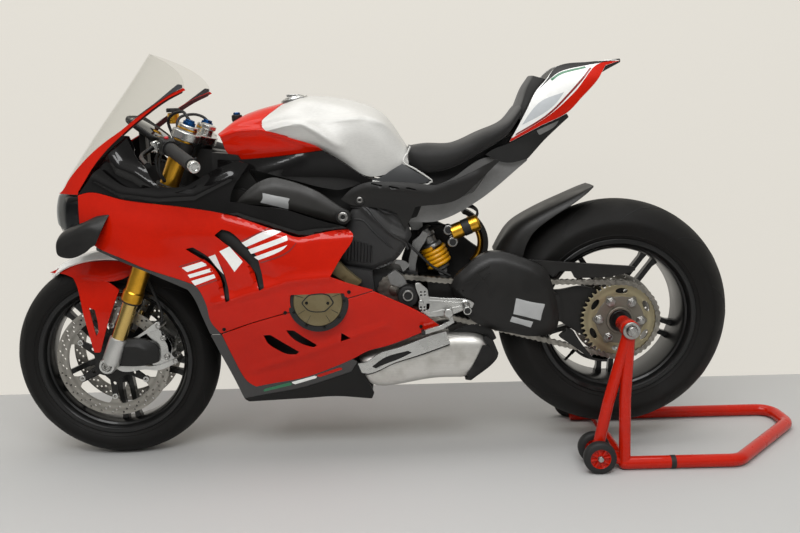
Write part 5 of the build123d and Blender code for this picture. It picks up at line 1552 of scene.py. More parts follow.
# ---- seat and tail ------------------------------------------------------------------------------------
@dataclass
class Seat:
    """The rider's pad, the small back pad, the tail cowl and the frame that carries them."""

    pad: Net = (
        ((880, 0, 846), (880, 60, 848), (879, 76, 860), (879, 80, 876), (880, 74, 890), (881, 50, 898),
         (881, 0, 900)),
        ((926, 0, 826), (926, 76, 826), (928, 94, 838), (930, 100, 860), (930, 92, 884), (930, 60, 902),
         (930, 0, 906)),
        ((1000, 0, 836), (1000, 92, 838), (1002, 112, 850), (1004, 120, 868), (1004, 112, 890), (1004, 74, 902),
         (1004, 0, 906)),
        ((1080, 0, 876), (1080, 100, 878), (1080, 120, 890), (1082, 128, 906), (1084, 120, 924), (1084, 80, 934),
         (1084, 0, 936)),
        ((1150, 0, 920), (1150, 100, 922), (1150, 118, 932), (1150, 124, 944), (1152, 116, 956), (1152, 80, 962),
         (1152, 0, 962)),
        ((1190, 0, 972), (1190, 92, 974), (1190, 110, 982), (1190, 114, 990), (1190, 108, 998), (1190, 74, 1004),
         (1190, 0, 1005)))
    tail: Net = (
        ((1160, 0, 908), (1160, 80, 908), (1162, 100, 912), (1182, 110, 946), (1208, 106, 992), (1234, 70, 1036),
         (1240, 0, 1044)),
        ((1206, 0, 934), (1206, 80, 932), (1208, 100, 940), (1226, 108, 976), (1244, 98, 1022), (1262, 60, 1068),
         (1266, 0, 1076)),
        ((1262, 0, 956), (1262, 74, 954), (1264, 96, 963), (1274, 102, 1006), (1288, 86, 1066), (1294, 48, 1098),
         (1296, 0, 1104)),
        ((1322, 0, 984), (1322, 62, 984), (1326, 80, 995), (1330, 80, 1032), (1340, 58, 1084), (1346, 34, 1108),
         (1346, 0, 1116)),
        ((1372, 0, 1034), (1372, 46, 1034), (1374, 60, 1043), (1382, 60, 1068), (1390, 40, 1098),
         (1394, 22, 1112), (1394, 0, 1120)),
        ((1420, 0, 1082), (1420, 26, 1082), (1422, 36, 1087), (1428, 30, 1099), (1432, 22, 1110),
         (1434, 12, 1118), (1434, 0, 1123)),
        ((1484, 0, 1116), (1484, 7, 1116), (1484, 11, 1118), (1484, 12, 1121), (1484, 10, 1124), (1484, 6, 1126),
         (1484, 0, 1127)))
    side: Skin = Skin((905, 950, 1010, 1070, 1105, 1130),
                      ((1150, 106, 114, 112, 100, 84, 76), (1210, 106, 116, 112, 92, 72, 66),
                       (1270, 92, 106, 108, 90, 60, 44), (1330, 76, 84, 93, 84, 50, 34),
                       (1400, 56, 60, 66, 68, 44, 26), (1484, 24, 24, 22, 20, 16, 10)))
    cowl: tuple[Point, ...] = (
        (1158, 904), (1180, 944), (1206, 992), (1232, 1040), (1262, 1071), (1284, 1096), (1306, 1109), (1386, 1117),
        (1470, 1123), (1483, 1120), (1438, 1107), (1408, 1066), (1362, 1020), (1320, 980), (1244, 946))
    bands: tuple[tuple[tuple[Point, ...], int], ...] = (
        (((1159, 905), (1244, 947), (1320, 981), (1362, 1021), (1408, 1067), (1438, 1108), (1482, 1120),
          (1430, 1116), (1406, 1106), (1339, 1034), (1271, 977), (1163, 914)), 1),
        (((1236, 1041), (1264, 1071), (1284, 1096), (1306, 1110), (1386, 1118), (1478, 1122), (1384, 1109),
          (1302, 1091), (1272, 1072)), 2),
        (((1274, 1072), (1302, 1089), (1377, 1106), (1380, 1101), (1302, 1082), (1278, 1067)), 3),
        (((1244, 1012), (1310, 1036), (1290, 1010), (1258, 984), (1192, 950), (1212, 980)), 4),
        (((1176, 927), (1262, 978), (1330, 1040), (1390, 1102), (1396, 1101), (1333, 1035), (1265, 974),
          (1175, 922)), 5))

    def build(self, shop: Workshop) -> None:
        """Make the seat, the tail and what holds them.

        Args:
            shop: puts the pieces on their bodies.
        """
        pad = shop.fit("seat_pad", skinned(self.pad, 8, 6), VINYL, "seat", sharp=60.0)
        hump = (
            ((1200, 0, 962), (1200, 84, 962), (1196, 98, 964), (1184, 98, 968), (1176, 84, 970), (1174, 0, 972)),
            ((1222, 0, 1000), (1222, 80, 1000), (1214, 94, 1003), (1200, 92, 1008), (1194, 78, 1010),
             (1191, 0, 1012)),
            ((1246, 0, 1042), (1246, 68, 1042), (1238, 82, 1045), (1218, 80, 1050), (1210, 66, 1052),
             (1207, 0, 1054)),
            ((1266, 0, 1072), (1266, 56, 1071), (1260, 68, 1074), (1238, 64, 1081), (1230, 52, 1084),
             (1227, 0, 1086)))
        back_pad = shop.fit("back_pad", skinned(hump, 8, 6), VINYL, sharp=60.0)
        shop.fit("tail_core", skinned(self.tail, 8, 6), SATIN_BLACK, sharp=40.0)
        cowl = panel(flowing(self.cowl, 5, fillet=2), self.side, 5.0, step=6.0)
        shop.fit("tail_skin", cowl.both(), WHITE, "tail_fairing", 0.8)
        film = Shape()
        for outline, slot in self.bands:
            film.join(panel(flowing(outline, 4, fillet=1.0), self.side.raised(0.45), 0.4, step=5.0, slot=slot - 1))
        shop.fit("tail_stripes", film.both(), [RED, SATIN_BLACK, GREEN, GREY, RED_LINE], slot="white_paint")
        self.build_underside(shop)

    def build_underside(self, shop: Workshop) -> None:
        """Make the black tray and the alloy subframe.

        Args:
            shop: puts the pieces on their bodies.
        """
        low = flowing([(1092, 872), (1130, 853), (1161, 848), (1210, 858), (1262, 912), (1304, 950), (1326, 968),
                       (1319, 978), (1244, 943), (1160, 902), (1110, 884)], 6)
        filler = plate(flowing([(890, 846), (905, 862), (1000, 842), (1040, 858), (1090, 884), (1150, 912),
                                (1200, 944), (1216, 880), (1150, 846), (1090, 838), (1030, 780), (930, 780)], 8),
                       -66, 66)
        tray = panel(low, self.side.raised(-4.0), 30.0, step=8.0).both().join(
            filler,
            plate(flowing([(1120, 862), (1206, 866), (1262, 924), (1300, 956), (1240, 938), (1150, 896)], 8), -72, 72))
        clip = panel(flowing([(1233, 934), (1297, 960), (1286, 945), (1242, 921)], 4), self.side.raised(-2.5), 4.0,
                     step=6.0)
        shop.fit("tail_clips", clip.both(), CAST_ALLOY, bevel=0.6)
        shop.fit("tail_tray", tray, MATT_BLACK, "undertail", 1.5)
        rail = plate(flowing([(873, 688), (960, 690), (1070, 742), (1210, 852), (1212, 868), (1130, 862),
                              (1060, 768), (1000, 748), (905, 740), (852, 724)], 8), 72, 88)
        upper = plate(flowing([(905, 739), (960, 740), (1000, 780), (1128, 848), (1130, 862), (1090, 862),
                               (985, 800), (905, 780)], 8), 72, 87)
        beams = Shape()
        for outline in (((1160, 838), (1200, 850), (1200, 861), (1185, 860)),
                        ((940, 700), (964, 700), (964, 722), (940, 722))):
            beams.join(plate(outline, -73, 73))
        for back, up in ((1005, 786), (935, 765)):
            for sign in (1, -1):
                beams.join(turned([(0, 7), (44, 7)], at(back, up, sign * 80), Vector((0, sign, 0)), 16))
        shop.fit("subframe_rails", rail.both().join(upper.both(), beams), CAST_ALLOY, "subframe", 1.5)


# ---- wheels -------------------------------------------------------------------------------------------
def polar(center: Point, radius: float, degrees: float) -> Point:
    """A point round a centre, as (back, up); 0 degrees points back and 90 up."""
    angle = math.radians(degrees)
    return center[0] + radius * math.cos(angle), center[1] + radius * math.sin(angle)


BLADES = Spread("tread_slits_round_axle")


@dataclass(frozen=True)
class Tyre:
    """A tyre: its crown is an arc, its walls narrow to the beads, and thin slits curve over its shoulders."""

    body: str
    node: str
    axle: Point
    radius: float
    half: float
    widest: float
    bead: float
    slits: int
    slit_half: float = 2.3
    slit_sweep: float = 34.0  # degrees round the axle
    slit_reach: Point = (0.10, 0.96)  # shares of the crown, from its middle to its edge
    slit_start: float = 0.35
    slit_steps: int = 14

    def arc(self) -> tuple[float, float, float]:
        """The crown arc's radius, its centre's distance from the axle, and its half-angle.

        Returns:
            Two lengths in millimetres and an angle in radians.
        """
        drop = self.radius - self.widest
        bend = (self.half**2 + drop**2) / (2 * drop)
        return bend, self.radius - bend, math.asin(min(self.half / bend, 1.0))

    def build(self, shop: Workshop) -> None:
        """Make the tyre, and lay its slits as inlays in a darker rubber: painted shade in the grooves.

        Args:
            shop: puts the pieces on their bodies.
        """
        shop = shop.on(self.body)
        bend, middle, spread = self.arc()
        crown = [(bend * math.sin(a), middle + bend * math.cos(a))
                 for a in [spread * k / 14 for k in range(-14, 15)]]
        wall = [(self.half * 0.985, self.widest - 9), (self.half * 0.95, self.widest - 18),
                (self.bead + 6.5, 240.0), (self.bead + 7.4, 238.5), (self.bead + 6.0, 237.0),
                (self.bead + 3.4, 232.0), (self.bead + 0.5, 227.5), (self.bead, 217.0), (self.bead - 9, 217.0),
                (self.half - 11, self.widest - 4)]
        rows = ([(-y, r) for y, r in reversed(wall)] + crown + wall
                + [(0.0, self.radius - 10)])
        shop.fit(f"{self.body}_tyre_rubber", hoop(rows, at(*self.axle), ACROSS, 128), TYRE, self.node, sharp=50.0)
        slit = Shape()
        steps = self.slit_steps
        first, last = self.slit_reach
        for sign, start in ((1, 0.0), (-1, math.pi / self.slits)):
            for k in range(steps + 1):
                t = k / steps
                along = start + math.radians(self.slit_sweep) * t
                lean = sign * spread * (first + (last - first) * t**1.5)
                width = self.slit_half * math.sin(math.pi * min(max(t, 0.06), 0.94)) ** 0.6
                for lift in (0.25, -1.5):
                    for edge in (-width, width):
                        r = middle + (bend + lift) * math.cos(lean)
                        turn = along + sign * edge / r * 0.8
                        y = (bend + lift) * math.sin(lean) - sign * edge * 0.4
                        slit.verts.append(Vector((r * math.cos(turn), r * math.sin(turn), y)) * MM)
            base = len(slit.verts) - 4 * (steps + 1)
            for k in range(steps):
                a, b = base + 4 * k, base + 4 * k + 4
                slit.faces += [(a, a + 1, b + 1, b), (a + 2, b + 2, b + 3, a + 3), (a, b, b + 2, a + 2),
                               (a + 1, a + 3, b + 3, b + 1)]
            end = base + 4 * steps
            slit.faces += [(base, base + 2, base + 3, base + 1), (end, end + 1, end + 3, end + 2)]
        places = [(at(*self.axle), ACROSS, math.tau * k / self.slits + self.slit_start) for k in range(self.slits)]
        # The slits are in the darker rubber, as painted shade in the grooves.
        BLADES.fill(shop, f"{self.body}_tread_slits", places, slit, GROOVE_SHADE)


VALVE_ANGLE = 232


@dataclass(frozen=True)
class Rim:
    """A rim with pairs of spokes that leave the hub together and stay parallel."""

    body: str
    node: str
    axle: Point
    bead: float
    spokes: tuple[float, ...]
    spoke_y: Point
    hub: tuple[tuple[float, float], ...]
    hub_radius: float
    apart: float = 18.0
    seat: float = 216.0

    def build(self, shop: Workshop) -> None:
        """Make the barrel, the hub and the spokes.

        Args:
            shop: puts the pieces on their bodies.
        """
        shop = shop.on(self.body)
        b = self.bead
        inner = [(b + 5.3, 226.5), (b + 5.3, 216), (b - 1, 209), (b - 9, 206), (b - 12, 201), (b - 22, 197)]
        rows = [(-b, self.seat), (b, self.seat), (b, 226), (b + 1.5, 228.5), (b + 4, 228.5), *inner,
                *[(-y, r) for y, r in reversed(inner)], (-b - 4, 228.5), (-b - 1.5, 228.5), (-b, 226)]
        shape = hoop(rows, at(*self.axle), ACROSS, 128)
        shape.join(outward(turned(self.hub, at(*self.axle), ACROSS, 48)))
        low, high = self.spoke_y
        mid, deep = (low + high) / 2, (high - low) / 2
        for degrees in self.spokes:
            ahead, aside = polar((0, 0), 1.0, degrees), polar((0, 0), 1.0, degrees + 90)

            def place(radius: float, offset: float) -> Vector:
                """A point on the spoke pair, by radius and sideways offset."""
                return at(self.axle[0] + radius * ahead[0] + offset * aside[0],
                          self.axle[1] + radius * ahead[1] + offset * aside[1], mid)

            root = self.hub_radius - 6
            shape.join(beam([(place(root, 0), deep, 25), (place(root + 34, 0), deep * 0.92, 24),
                             (place(root + 52, 0), deep * 0.8, 16)]))
            for sign in (1, -1):
                shape.join(beam([(place(root + 20, sign * 13), deep * 0.95, 11),
                                 (place(root + 70, sign * self.apart), deep * 0.85, 7.5),
                                 (place(180, sign * self.apart), deep * 0.75, 7.5),
                                 (place(199, sign * (self.apart + 2)), deep * 0.9, 10)]))
        shop.fit(f"{self.body}_rim_casting", shape, WHEEL_BLACK, self.node, 2.2)
        behind, below = polar((0, 0), 1, VALVE_ANGLE)
        stem = turned([(0, 4), (22, 4), (23, 5.5), (36, 5.5), (38, 3)], at(*polar(self.axle, 197, VALVE_ANGLE), mid),
                      Vector((behind, 0.25, -below)), 14)
        shop.fit(f"{self.body}_valve", stem, BLACK_STEEL, slot="wheel_black")


@dataclass(frozen=True)
class Rotor:
    """A drilled brake disc on a spider, with round bobbins between them."""

    body: str
    node: str
    axle: Point
    sides: tuple[float, ...]
    outer: float
    inner: float
    ear: float
    start: float
    finish: Finish
    count: int = 6
    thickness: float = 5.0
    rows: tuple[float, ...] = (7.0, 15.0, 23.0)
    per_row: int = 30
    hole: float = 3.4
    window: Point = (68.0, 5.5)  # how far out the spider's round windows are, and their radius
    bore: float = 26.0

    def build(self, shop: Workshop) -> None:
        """Make the drilled rings, the spiders and the bobbins.

        Args:
            shop: puts the pieces on their bodies.
        """
        shop = shop.on(self.body)
        pitch = 360 / self.count
        inner = []
        for k in range(180):
            turn = (2 * k - self.start + pitch / 2) % pitch - pitch / 2
            inner.append(polar(self.axle, self.inner - self.ear * math.exp(-((turn / 6.0) ** 4)), 2.0 * k))
        holes = [ring_of(10, self.hole, polar(self.axle, self.outer - depth, 360 * (k + row / 3) / self.per_row))
                 for row, depth in enumerate(self.rows) for k in range(self.per_row)]
        ring = plate(ring_of(120, self.outer, self.axle), -self.thickness / 2, self.thickness / 2,
                     [inner, *holes])
        arm = []
        for k in range(self.count):
            middle = self.start + k * pitch
            for turn, reach in ((-pitch / 2, 0.0), (-13, 0.12), (-5, 0.8), (-3, 1.0), (3, 1.0), (5, 0.8), (13, 0.12)):
                arm.append(polar(self.axle, 52 + reach * (self.inner - self.ear - 50), middle + turn))
        far, radius = self.window
        windows = [ring_of(10, radius, polar(self.axle, far, self.start + k * pitch)) for k in range(self.count)]
        spider = plate(arm, -4.0, 4.0, [ring_of(40, self.bore, self.axle), *windows])
        rings, spiders, studs = Shape(), Shape(), Shape()
        for y in self.sides:
            shift = Matrix.Translation((0, y * MM, 0))
            rings.join(ring.moved(shift))
            spiders.join(spider.moved(shift))
            for k in range(self.count):
                spot = polar(self.axle, self.inner - self.ear + 3, self.start + k * pitch)
                studs.join(hoop([(-5, 9), (5, 9), (6, 8), (6, 4.5), (3, 4.5), (3, 3.9), (-3, 3.9), (-3, 4.5), (-6, 4.5),
                                 (-6, 8)], at(*spot, y), ACROSS, 20))
        shop.fit(f"{self.body}_rotors", rings, self.finish, self.node)
        shop.fit(f"{self.body}_rotor_spiders", spiders, SATIN_BLACK, bevel=0.8, slot="wheel_black")
        shop.fit(f"{self.body}_bobbins", studs, BILLET, slot="steel")


@dataclass(frozen=True)
class Sprocket:
    """The rear sprocket, its carrier with six lobes, and the nuts."""

    axle: Point = REAR_AXLE
    teeth: int = 44
    root: float = 101.0
    tip: float = 111.0
    y: float = 112.0
    bore: float = 66.0
    slot_at: float = 84.0
    lobes: int = 6
    lobe_start: float = -3.0
    nut_at: float = 59.0

    def build(self, shop: Workshop) -> None:
        """Make the toothed ring, the carrier and its fasteners.

        Args:
            shop: puts the pieces on their bodies.
        """
        shop = shop.on("rear_wheel")
        outline = []
        for k in range(self.teeth):
            middle = 360 * (k + 0.5) / self.teeth
            for turn, radius in ((-3.0, self.root), (-1.6, self.root + 3), (-0.7, self.tip), (0.7, self.tip),
                                 (1.6, self.root + 3), (3.0, self.root)):
                outline.append(polar(self.axle, radius, middle + turn))
        slots = []
        pitch = 360 / self.lobes
        for k in range(self.lobes):
            middle = self.lobe_start + (k + 0.5) * pitch
            rim = []
            for j in range(16):
                turn = math.tau * j / 16
                rim.append(polar(self.axle, self.slot_at + 8 * math.sin(turn), middle + 12 * math.cos(turn)))
            slots.append(rim)
        ring = plate(outline, self.y - 2.6, self.y + 2.6, [ring_of(60, self.bore, self.axle), *slots])
        shop.fit("sprocket_ring", ring, SPROCKET_GOLD, "rear_sprocket", 0.5)
        lobes = []
        for k in range(72):
            turn = math.radians(self.lobes * (5 * k - self.lobe_start))
            lobes.append(polar(self.axle, 68 + 11 * math.exp(3 * (math.cos(turn) - 1)), 5.0 * k))
        carrier = plate(lobes, 98, self.y + 5.5, [ring_of(40, 30.5, self.axle)])
        collar = hoop([(self.y + 4, 40), (self.y + 12, 38), (self.y + 12, 31), (self.y + 4, 31)], at(*self.axle),
                      ACROSS, 48)
        shop.fit("sprocket_carrier", carrier.join(collar), CARRIER, bevel=1.2)
        nuts = Shape()
        for k in range(self.lobes):
            spot = at(*polar(self.axle, self.nut_at, self.lobe_start + pitch * k), self.y + 5)
            nuts.join(outward(turned([(0, 14), (2, 14), (3, 12.5), (3, 11.0), (10, 11.0), (11, 10)], spot, ACROSS, 6)),
                      outward(turned([(0, 6.5), (13, 6.5), (14, 5.5)], spot, ACROSS, 16)))
        shop.fit("sprocket_nuts", nuts, STEEL, bevel=0.5)


@dataclass(frozen=True)
class Wheels:
    """Both wheels with their tyres, discs and sprocket."""

    front: Point = FRONT_AXLE
    rear: Point = REAR_AXLE

    def build(self, shop: Workshop) -> None:
        """Make the wheels.

        Args:
            shop: puts the pieces on their bodies.
        """
        Tyre("front_wheel", "front_tyre", self.front, 300.0, 60.0, 262.0, 48.0, 10).build(shop)
        Tyre("rear_wheel", "rear_tyre", self.rear, 336.0, 99.0, 276.0, 80.0, 10).build(shop)
        hub = ((-61, 20), (-61, 33), (-46, 36), (-40, 30), (-16, 30), (-12, 40), (12, 40), (16, 30), (40, 30),
               (46, 36), (61, 33), (61, 20))
        Rim("front_wheel", "front_rim", self.front, 48.0, tuple(-12.0 + 72 * k for k in range(5)), (-14.0, 14.0),
            hub, 38.0).build(shop)
        rear_hub = ((-64, 16), (-64, 30), (-56, 46), (-50, 54), (-20, 54), (-8, 44), (40, 44), (41, 31), (129, 30),
                    (129, 16))
        Rim("rear_wheel", "rear_rim", self.rear, 80.0, (-20.0, 52.0, 124.0, 196.0, 268.0), (-52.0, -20.0),
            rear_hub, 52.0).build(shop)
        Rotor("front_wheel", "front_discs", self.front, (-65.5, 65.5), 165.0, 131.0, 26.0, 28.0,
              FRONT_ROTOR).build(shop)
        Rotor("rear_wheel", "rear_disc", self.rear, (44.0,), 122.0, 86.0, 14.0, 0.0, REAR_ROTOR,
              rows=(8.0, 18.0, 27.0), per_row=24).build(shop)
        Sprocket().build(shop)


# ---- steering -----------------------------------------------------------------------------------------
RAKE = math.radians(22.2)
FORK_SETBACK = 3.66  # how far behind the axle the legs' centre line passes
FORK_DIRECTION = Vector((-math.sin(RAKE), 0, math.cos(RAKE)))


def on_fork(up: float, y: float = 107.0, ahead: float = 0.0) -> Vector:
    """A point on a fork leg's centre line at a height, or ahead of it."""
    return at(FORK_SETBACK + (up - FRONT_AXLE[1]) * math.tan(RAKE) - ahead, up, y)


def round_leg(rows: Sequence[Point], up: float, y: float, sides: int = 40) -> Shape:
    """A part turned about a fork leg, from a height."""
    return turned(rows, on_fork(up, y), FORK_DIRECTION, sides)


BAR_ROOT, BAR_END = at(222, 929, 171), at(347, 870, 345)
BAR_RUN = BAR_END - BAR_ROOT


def on_bar(share: float) -> Vector:
    """A point along the left bar, from its root at 0 to its end at 1."""
    return BAR_ROOT + BAR_RUN * share


STEM_BACK = 30  # how far the steering stem lies behind the legs


@dataclass
class Steering:
    """The fork, its clamps, the bars with their controls, the calipers and the front mudguard."""

    spread: float = 107.0
    clamp_front: tuple[Point, ...] = ((-142, -8), (-134, -26), (-107, -38), (-76, -24), (-40, -22), (0, -20))
    clamp_rear: tuple[Point, ...] = ((142, 10), (130, 30), (107, 40), (78, 34), (46, 52), (20, 62), (0, 64))
    caliper: tuple[Point, ...] = (
        (104, 392), (118, 404), (140, 410), (150, 396), (172, 370), (182, 346), (180, 322), (192, 308), (176, 294),
        (150, 284), (126, 284), (118, 300), (130, 318), (132, 350), (122, 372))
    duct: tuple[Point, ...] = ((6, 316), (16, 366), (30, 373), (72, 376), (115, 370), (142, 352), (146, 322),
                               (143, 303), (109, 296), (60, 294), (24, 298))
    fender: tuple[Point, ...] = (
        (-176, 562), (-130, 580), (-88, 594), (-27, 603), (21, 603), (70, 594), (80, 584), (74, 556), (52, 546),
        (8, 540), (-18, 546), (10, 538), (41, 515), (5, 426), (-26, 334), (-44, 334), (-66, 444), (-82, 531),
        (-92, 552), (-120, 560))
    fender_hole: tuple[Point, ...] = ((-49, 466), (-32, 460), (-26, 420), (-27, 394), (-34, 382))

    def build(self, shop: Workshop) -> None:
        """Make everything that turns with the bars.

        Args:
            shop: puts the pieces on their bodies.
        """
        shop = shop.on("steering")
        self.build_legs(shop)
        self.build_clamps(shop)
        self.build_bars(shop)
        self.build_controls(shop)
        self.build_brakes(shop)
        self.build_fender(shop)

    def build_legs(self, shop: Workshop) -> None:
        """Make the gold outer tubes, the stanchions, the cast feet and the axle.

        Args:
            shop: puts the pieces on their bodies.
        """
        outer, inner, seals, feet = Shape(), Shape(), Shape(), Shape()
        for y in (self.spread, -self.spread):
            length = (on_fork(968, y) - on_fork(486, y)).length / MM
            outer.join(round_leg([(0, 27.5), (3, 29), (28, 29), (32, 26.2), (length, 26.2)], 486, y, 48))
            seals.join(round_leg([(-6, 24), (0, 27.4)], 486, y))
            inner.join(round_leg([(0, 21.5), (120, 21.5)], 378, y))
            foot = round_leg([(0, 24), (10, 25.5), (74, 25.5), (80, 24), (82, 21.8)], 304, y)
            sign = 1 if y > 0 else -1
            boss = turned([(-20, 24), (12, 24), (16, 22.5), (20, 21), (20, 15), (12, 14)], at(0, 300, y),
                          Vector((0, sign, 0)), 40)
            arm = plate(flowing([(10, 290), (76, 296), (125, 290), (188, 309), (194, 298), (140, 277), (100, 280),
                                 (34, 276)], 8), sign * 92 - 6, sign * 92 + 6)
            top = plate(flowing([(6, 372), (63, 371), (142, 420), (154, 418), (150, 402), (98, 380), (60, 352),
                                 (20, 350)], 8), sign * 92 - 6, sign * 92 + 6)
            feet.join(foot, boss, arm, top)
        shop.fit("fork_outer_tubes", outer, GOLD, "fork_tubes", sharp=25.0)
        shop.fit("fork_seals", seals, RUBBER)
        shop.fit("fork_stanchions", inner, NITRIDE)
        shop.fit("fork_foot_castings", feet, FOOT_ALLOY, "fork_feet", 1.5)
        axle = turned([(-129, 9), (-129, 12.4), (129, 12.4), (131, 11), (131, 8), (112, 8)], at(0, 300), ACROSS, 40)
        shop.fit("front_axle_tube", axle, STEEL, "front_axle")

    def build_clamps(self, shop: Workshop) -> None:
        """Make the silver top clamp, the black lower clamp, the caps and the breather hoses.

        Args:
            shop: puts the pieces on their bodies.
        """
        third = ACROSS.cross(FORK_DIRECTION)

        def clamp(up: float, high: float, reach: float) -> Shape:
            """A clamp across both legs, with its underside at a height.

            Args:
                up: the height of its underside on the legs.
                high: how tall it is.
                reach: scales its width.

            Returns:
                The clamp.
            """
            front = [(y * reach, back) for y, back in self.clamp_front]
            rear = [(y * reach, back) for y, back in self.clamp_rear]
            rim = [*front, *[(-y, back) for y, back in reversed(front[:-1])],
                   *rear, *[(-y, back) for y, back in reversed(rear[:-1])]]
            smooth = flowing(rim, 6, corner=50)
            return prism(*[[on_fork(up, 0) + FORK_DIRECTION * (lift * MM) + ACROSS * (y * MM) - third * (back * MM)
                            for y, back in smooth] for lift in (0.0, high)])

        shop.fit("top_clamp", clamp(936, 24, 1.0), BILLET, "fork_clamps", 3.0)
        shop.fit("lower_clamp", clamp(786, 30, 0.96), SATIN_BLACK, bevel=3.0)
        stem = turned([(-150, 17), (40, 17), (42, 22), (52, 22), (54, 18)],
                      on_fork(936, 0) - third * (STEM_BACK * MM), FORK_DIRECTION, 32)
        rings, nuts, bands = Shape(), Shape(), Shape()
        for y in (self.spread, -self.spread):
            rings.join(round_leg([(0, 27), (16, 27), (18, 25), (19, 20)], 958, y))
            bands.join(round_leg([(0, 27.3), (3, 27.6), (5, 27.3)], 962, y))
            nuts.join(round_leg([(0, 19), (6, 19), (7, 15), (14, 15), (15, 13)], 975, y, 6),
                      round_leg([(0, 17), (9, 17)], 975, y, 32))
        shop.fit("fork_caps", rings.join(stem), BILLET, bevel=0.8)
        shop.fit("fork_cap_bands", bands, GOLD)
        shop.fit("fork_cap_nuts", nuts, BLUE_ANODISED, bevel=0.8)
        left = hose([on_fork(985, 107), at(273, 1001, 104), at(258, 1012, 84), at(225, 1006, 60), at(205, 985, 40),
                     at(215, 940, 30)], 4.2)
        right = hose([on_fork(985, -107), at(270, 998, -106), at(245, 1006, -98), at(214, 1000, -70),
                      at(206, 978, -50), at(216, 938, -35)], 4.2)
        shop.fit("fork_sensor_hoses", left.join(right), RUBBER)

    def build_bars(self, shop: Workshop) -> None:
        """Make the clip-on bars, the grips and the bar-end weights.

        Args:
            shop: puts the pieces on their bodies.
        """
        bars = hoop([(0, 27.2), (0, 33), (28, 33), (28, 27.2)], on_fork(905), FORK_DIRECTION, 40)
        neck = beam([(on_fork(914, 128, 4), 13, 12), (at(232, 922, 152), 13, 11), (on_bar(0.04), 13, 13)],
                    FORK_DIRECTION)
        bars.join(neck, tube([on_bar(-0.03), on_bar(0.97)], 11, 24))
        length = BAR_RUN.length / MM
        ribs = [(0.24 + 0.66 * k / 30, 16.4 if k % 2 else 17.2) for k in range(31)]
        grips, ends = [turned([(share * length, radius) for share, radius in rows], BAR_ROOT, BAR_RUN, 32) for rows in (
            [(0.225, 17), (0.23, 21), (0.245, 21), *ribs, (0.9, 17.5), (0.905, 12)],
            [(0.905, 11), (0.91, 14.5), (0.985, 15.6), (0.995, 14.5), (1.0, 9), (0.985, 8), (0.985, 1)])]
        shop.fit("clip_on_bars", bars.both(), SATIN_BLACK, "handlebars", 1.5)
        shop.fit("grips", grips.both(), RUBBER, sharp=60.0)
        shop.fit("bar_end_weights", ends.both(), BILLET, bevel=0.5)

    def build_controls(self, shop: Workshop) -> None:
        """Make the levers, perches, switch blocks, buttons and the fluid reservoirs.

        Args:
            shop: puts the pieces on their bodies.
        """
        pods = beam([(on_bar(0.08), 19, 17), (on_bar(0.13), 22, 19), (on_bar(0.21), 19, 17)], UPRIGHT)
        perch = beam([(on_bar(0.05) + UPRIGHT * 0.002, 11, 12), (at(216, 923, 181), 9, 10),
                      (at(208, 921, 189), 8, 11)], UPRIGHT)
        pivot = turned([(-10, 10), (10, 10), (12, 8)], at(207, 924, 190), Vector((0.3, 0.1, 1)), 24)
        adjuster = turned([(0, 9), (14, 9), (15, 11), (20, 11), (21, 9)], at(212, 912, 176),
                          Vector((0.9, -0.25, 0.2)), 20)
        lever = smooth_path([at(204, 921, 192), at(188, 907, 214), at(186, 897, 250), at(208, 887, 300),
                             at(226, 880, 334)], 6)
        levers = tube(lever, [6.5 - 2.0 * k / len(lever) for k in range(len(lever))], 14).join(
            tube([at(226, 880, 330), at(228, 879, 338)], 7.5, 14))
        shop.fit("switch_pods", pods.both(), MATT_BLACK, bevel=3.0)
        shop.fit("lever_perches", perch.join(pivot, adjuster).both(), BILLET, bevel=1.5)
        shop.fit("levers", levers.both(), BLACK_STEEL, slot="machined_alloy")
        button = turned([(0, 6), (5, 6), (6.5, 4)], on_bar(0.13) + Vector((-0.002, 0.004, 0.019)),
                        Vector((0.1, 0.3, 1)), 20)
        spots = turned([(-3, 5), (3, 5), (4, 3)], at(194, 912, 203), Vector((0.3, 1, 0)), 16)
        shop.fit("switch_buttons", button.both(), BUTTON_RED, bevel=0.4)
        shop.fit("lever_adjuster_dots", spots.both(), YELLOW, bevel=0.4)
        cup = turned([(0, 14), (2, 17), (30, 17), (32, 15)], at(180, 980, -112), UPRIGHT, 32)
        lid = turned([(0, 20), (10, 20), (12, 17)], at(180, 1014, -112), UPRIGHT, 32)
        stalk = hose([at(186, 984, -118), at(202, 978, -134), at(212, 960, -158), at(214, 944, -166)], 4)
        shop.fit("fluid_cups", cup, GOLD, bevel=0.6)
        shop.fit("fluid_lids_and_hoses", lid.join(stalk), RUBBER, bevel=0.8)
        lines = Shape()
        for path, radius in (
                ([at(212, 912, 170), at(196, 890, 148), at(194, 860, 140), at(204, 830, 132), at(222, 806, 118)],
                 4.0),
                ([at(222, 915, 172), at(204, 880, 150), at(202, 850, 142), at(214, 816, 126)], 3.4),
                ([at(238, 900, 152), at(254, 880, 138), at(276, 876, 122), at(292, 884, 104)], 3.6),
                ([at(212, 912, -170), at(196, 888, -148), at(198, 840, -136), at(216, 806, -116)], 4.0)):
            lines.join(hose(path, radius))
        shop.fit("control_hoses", lines, RUBBER)

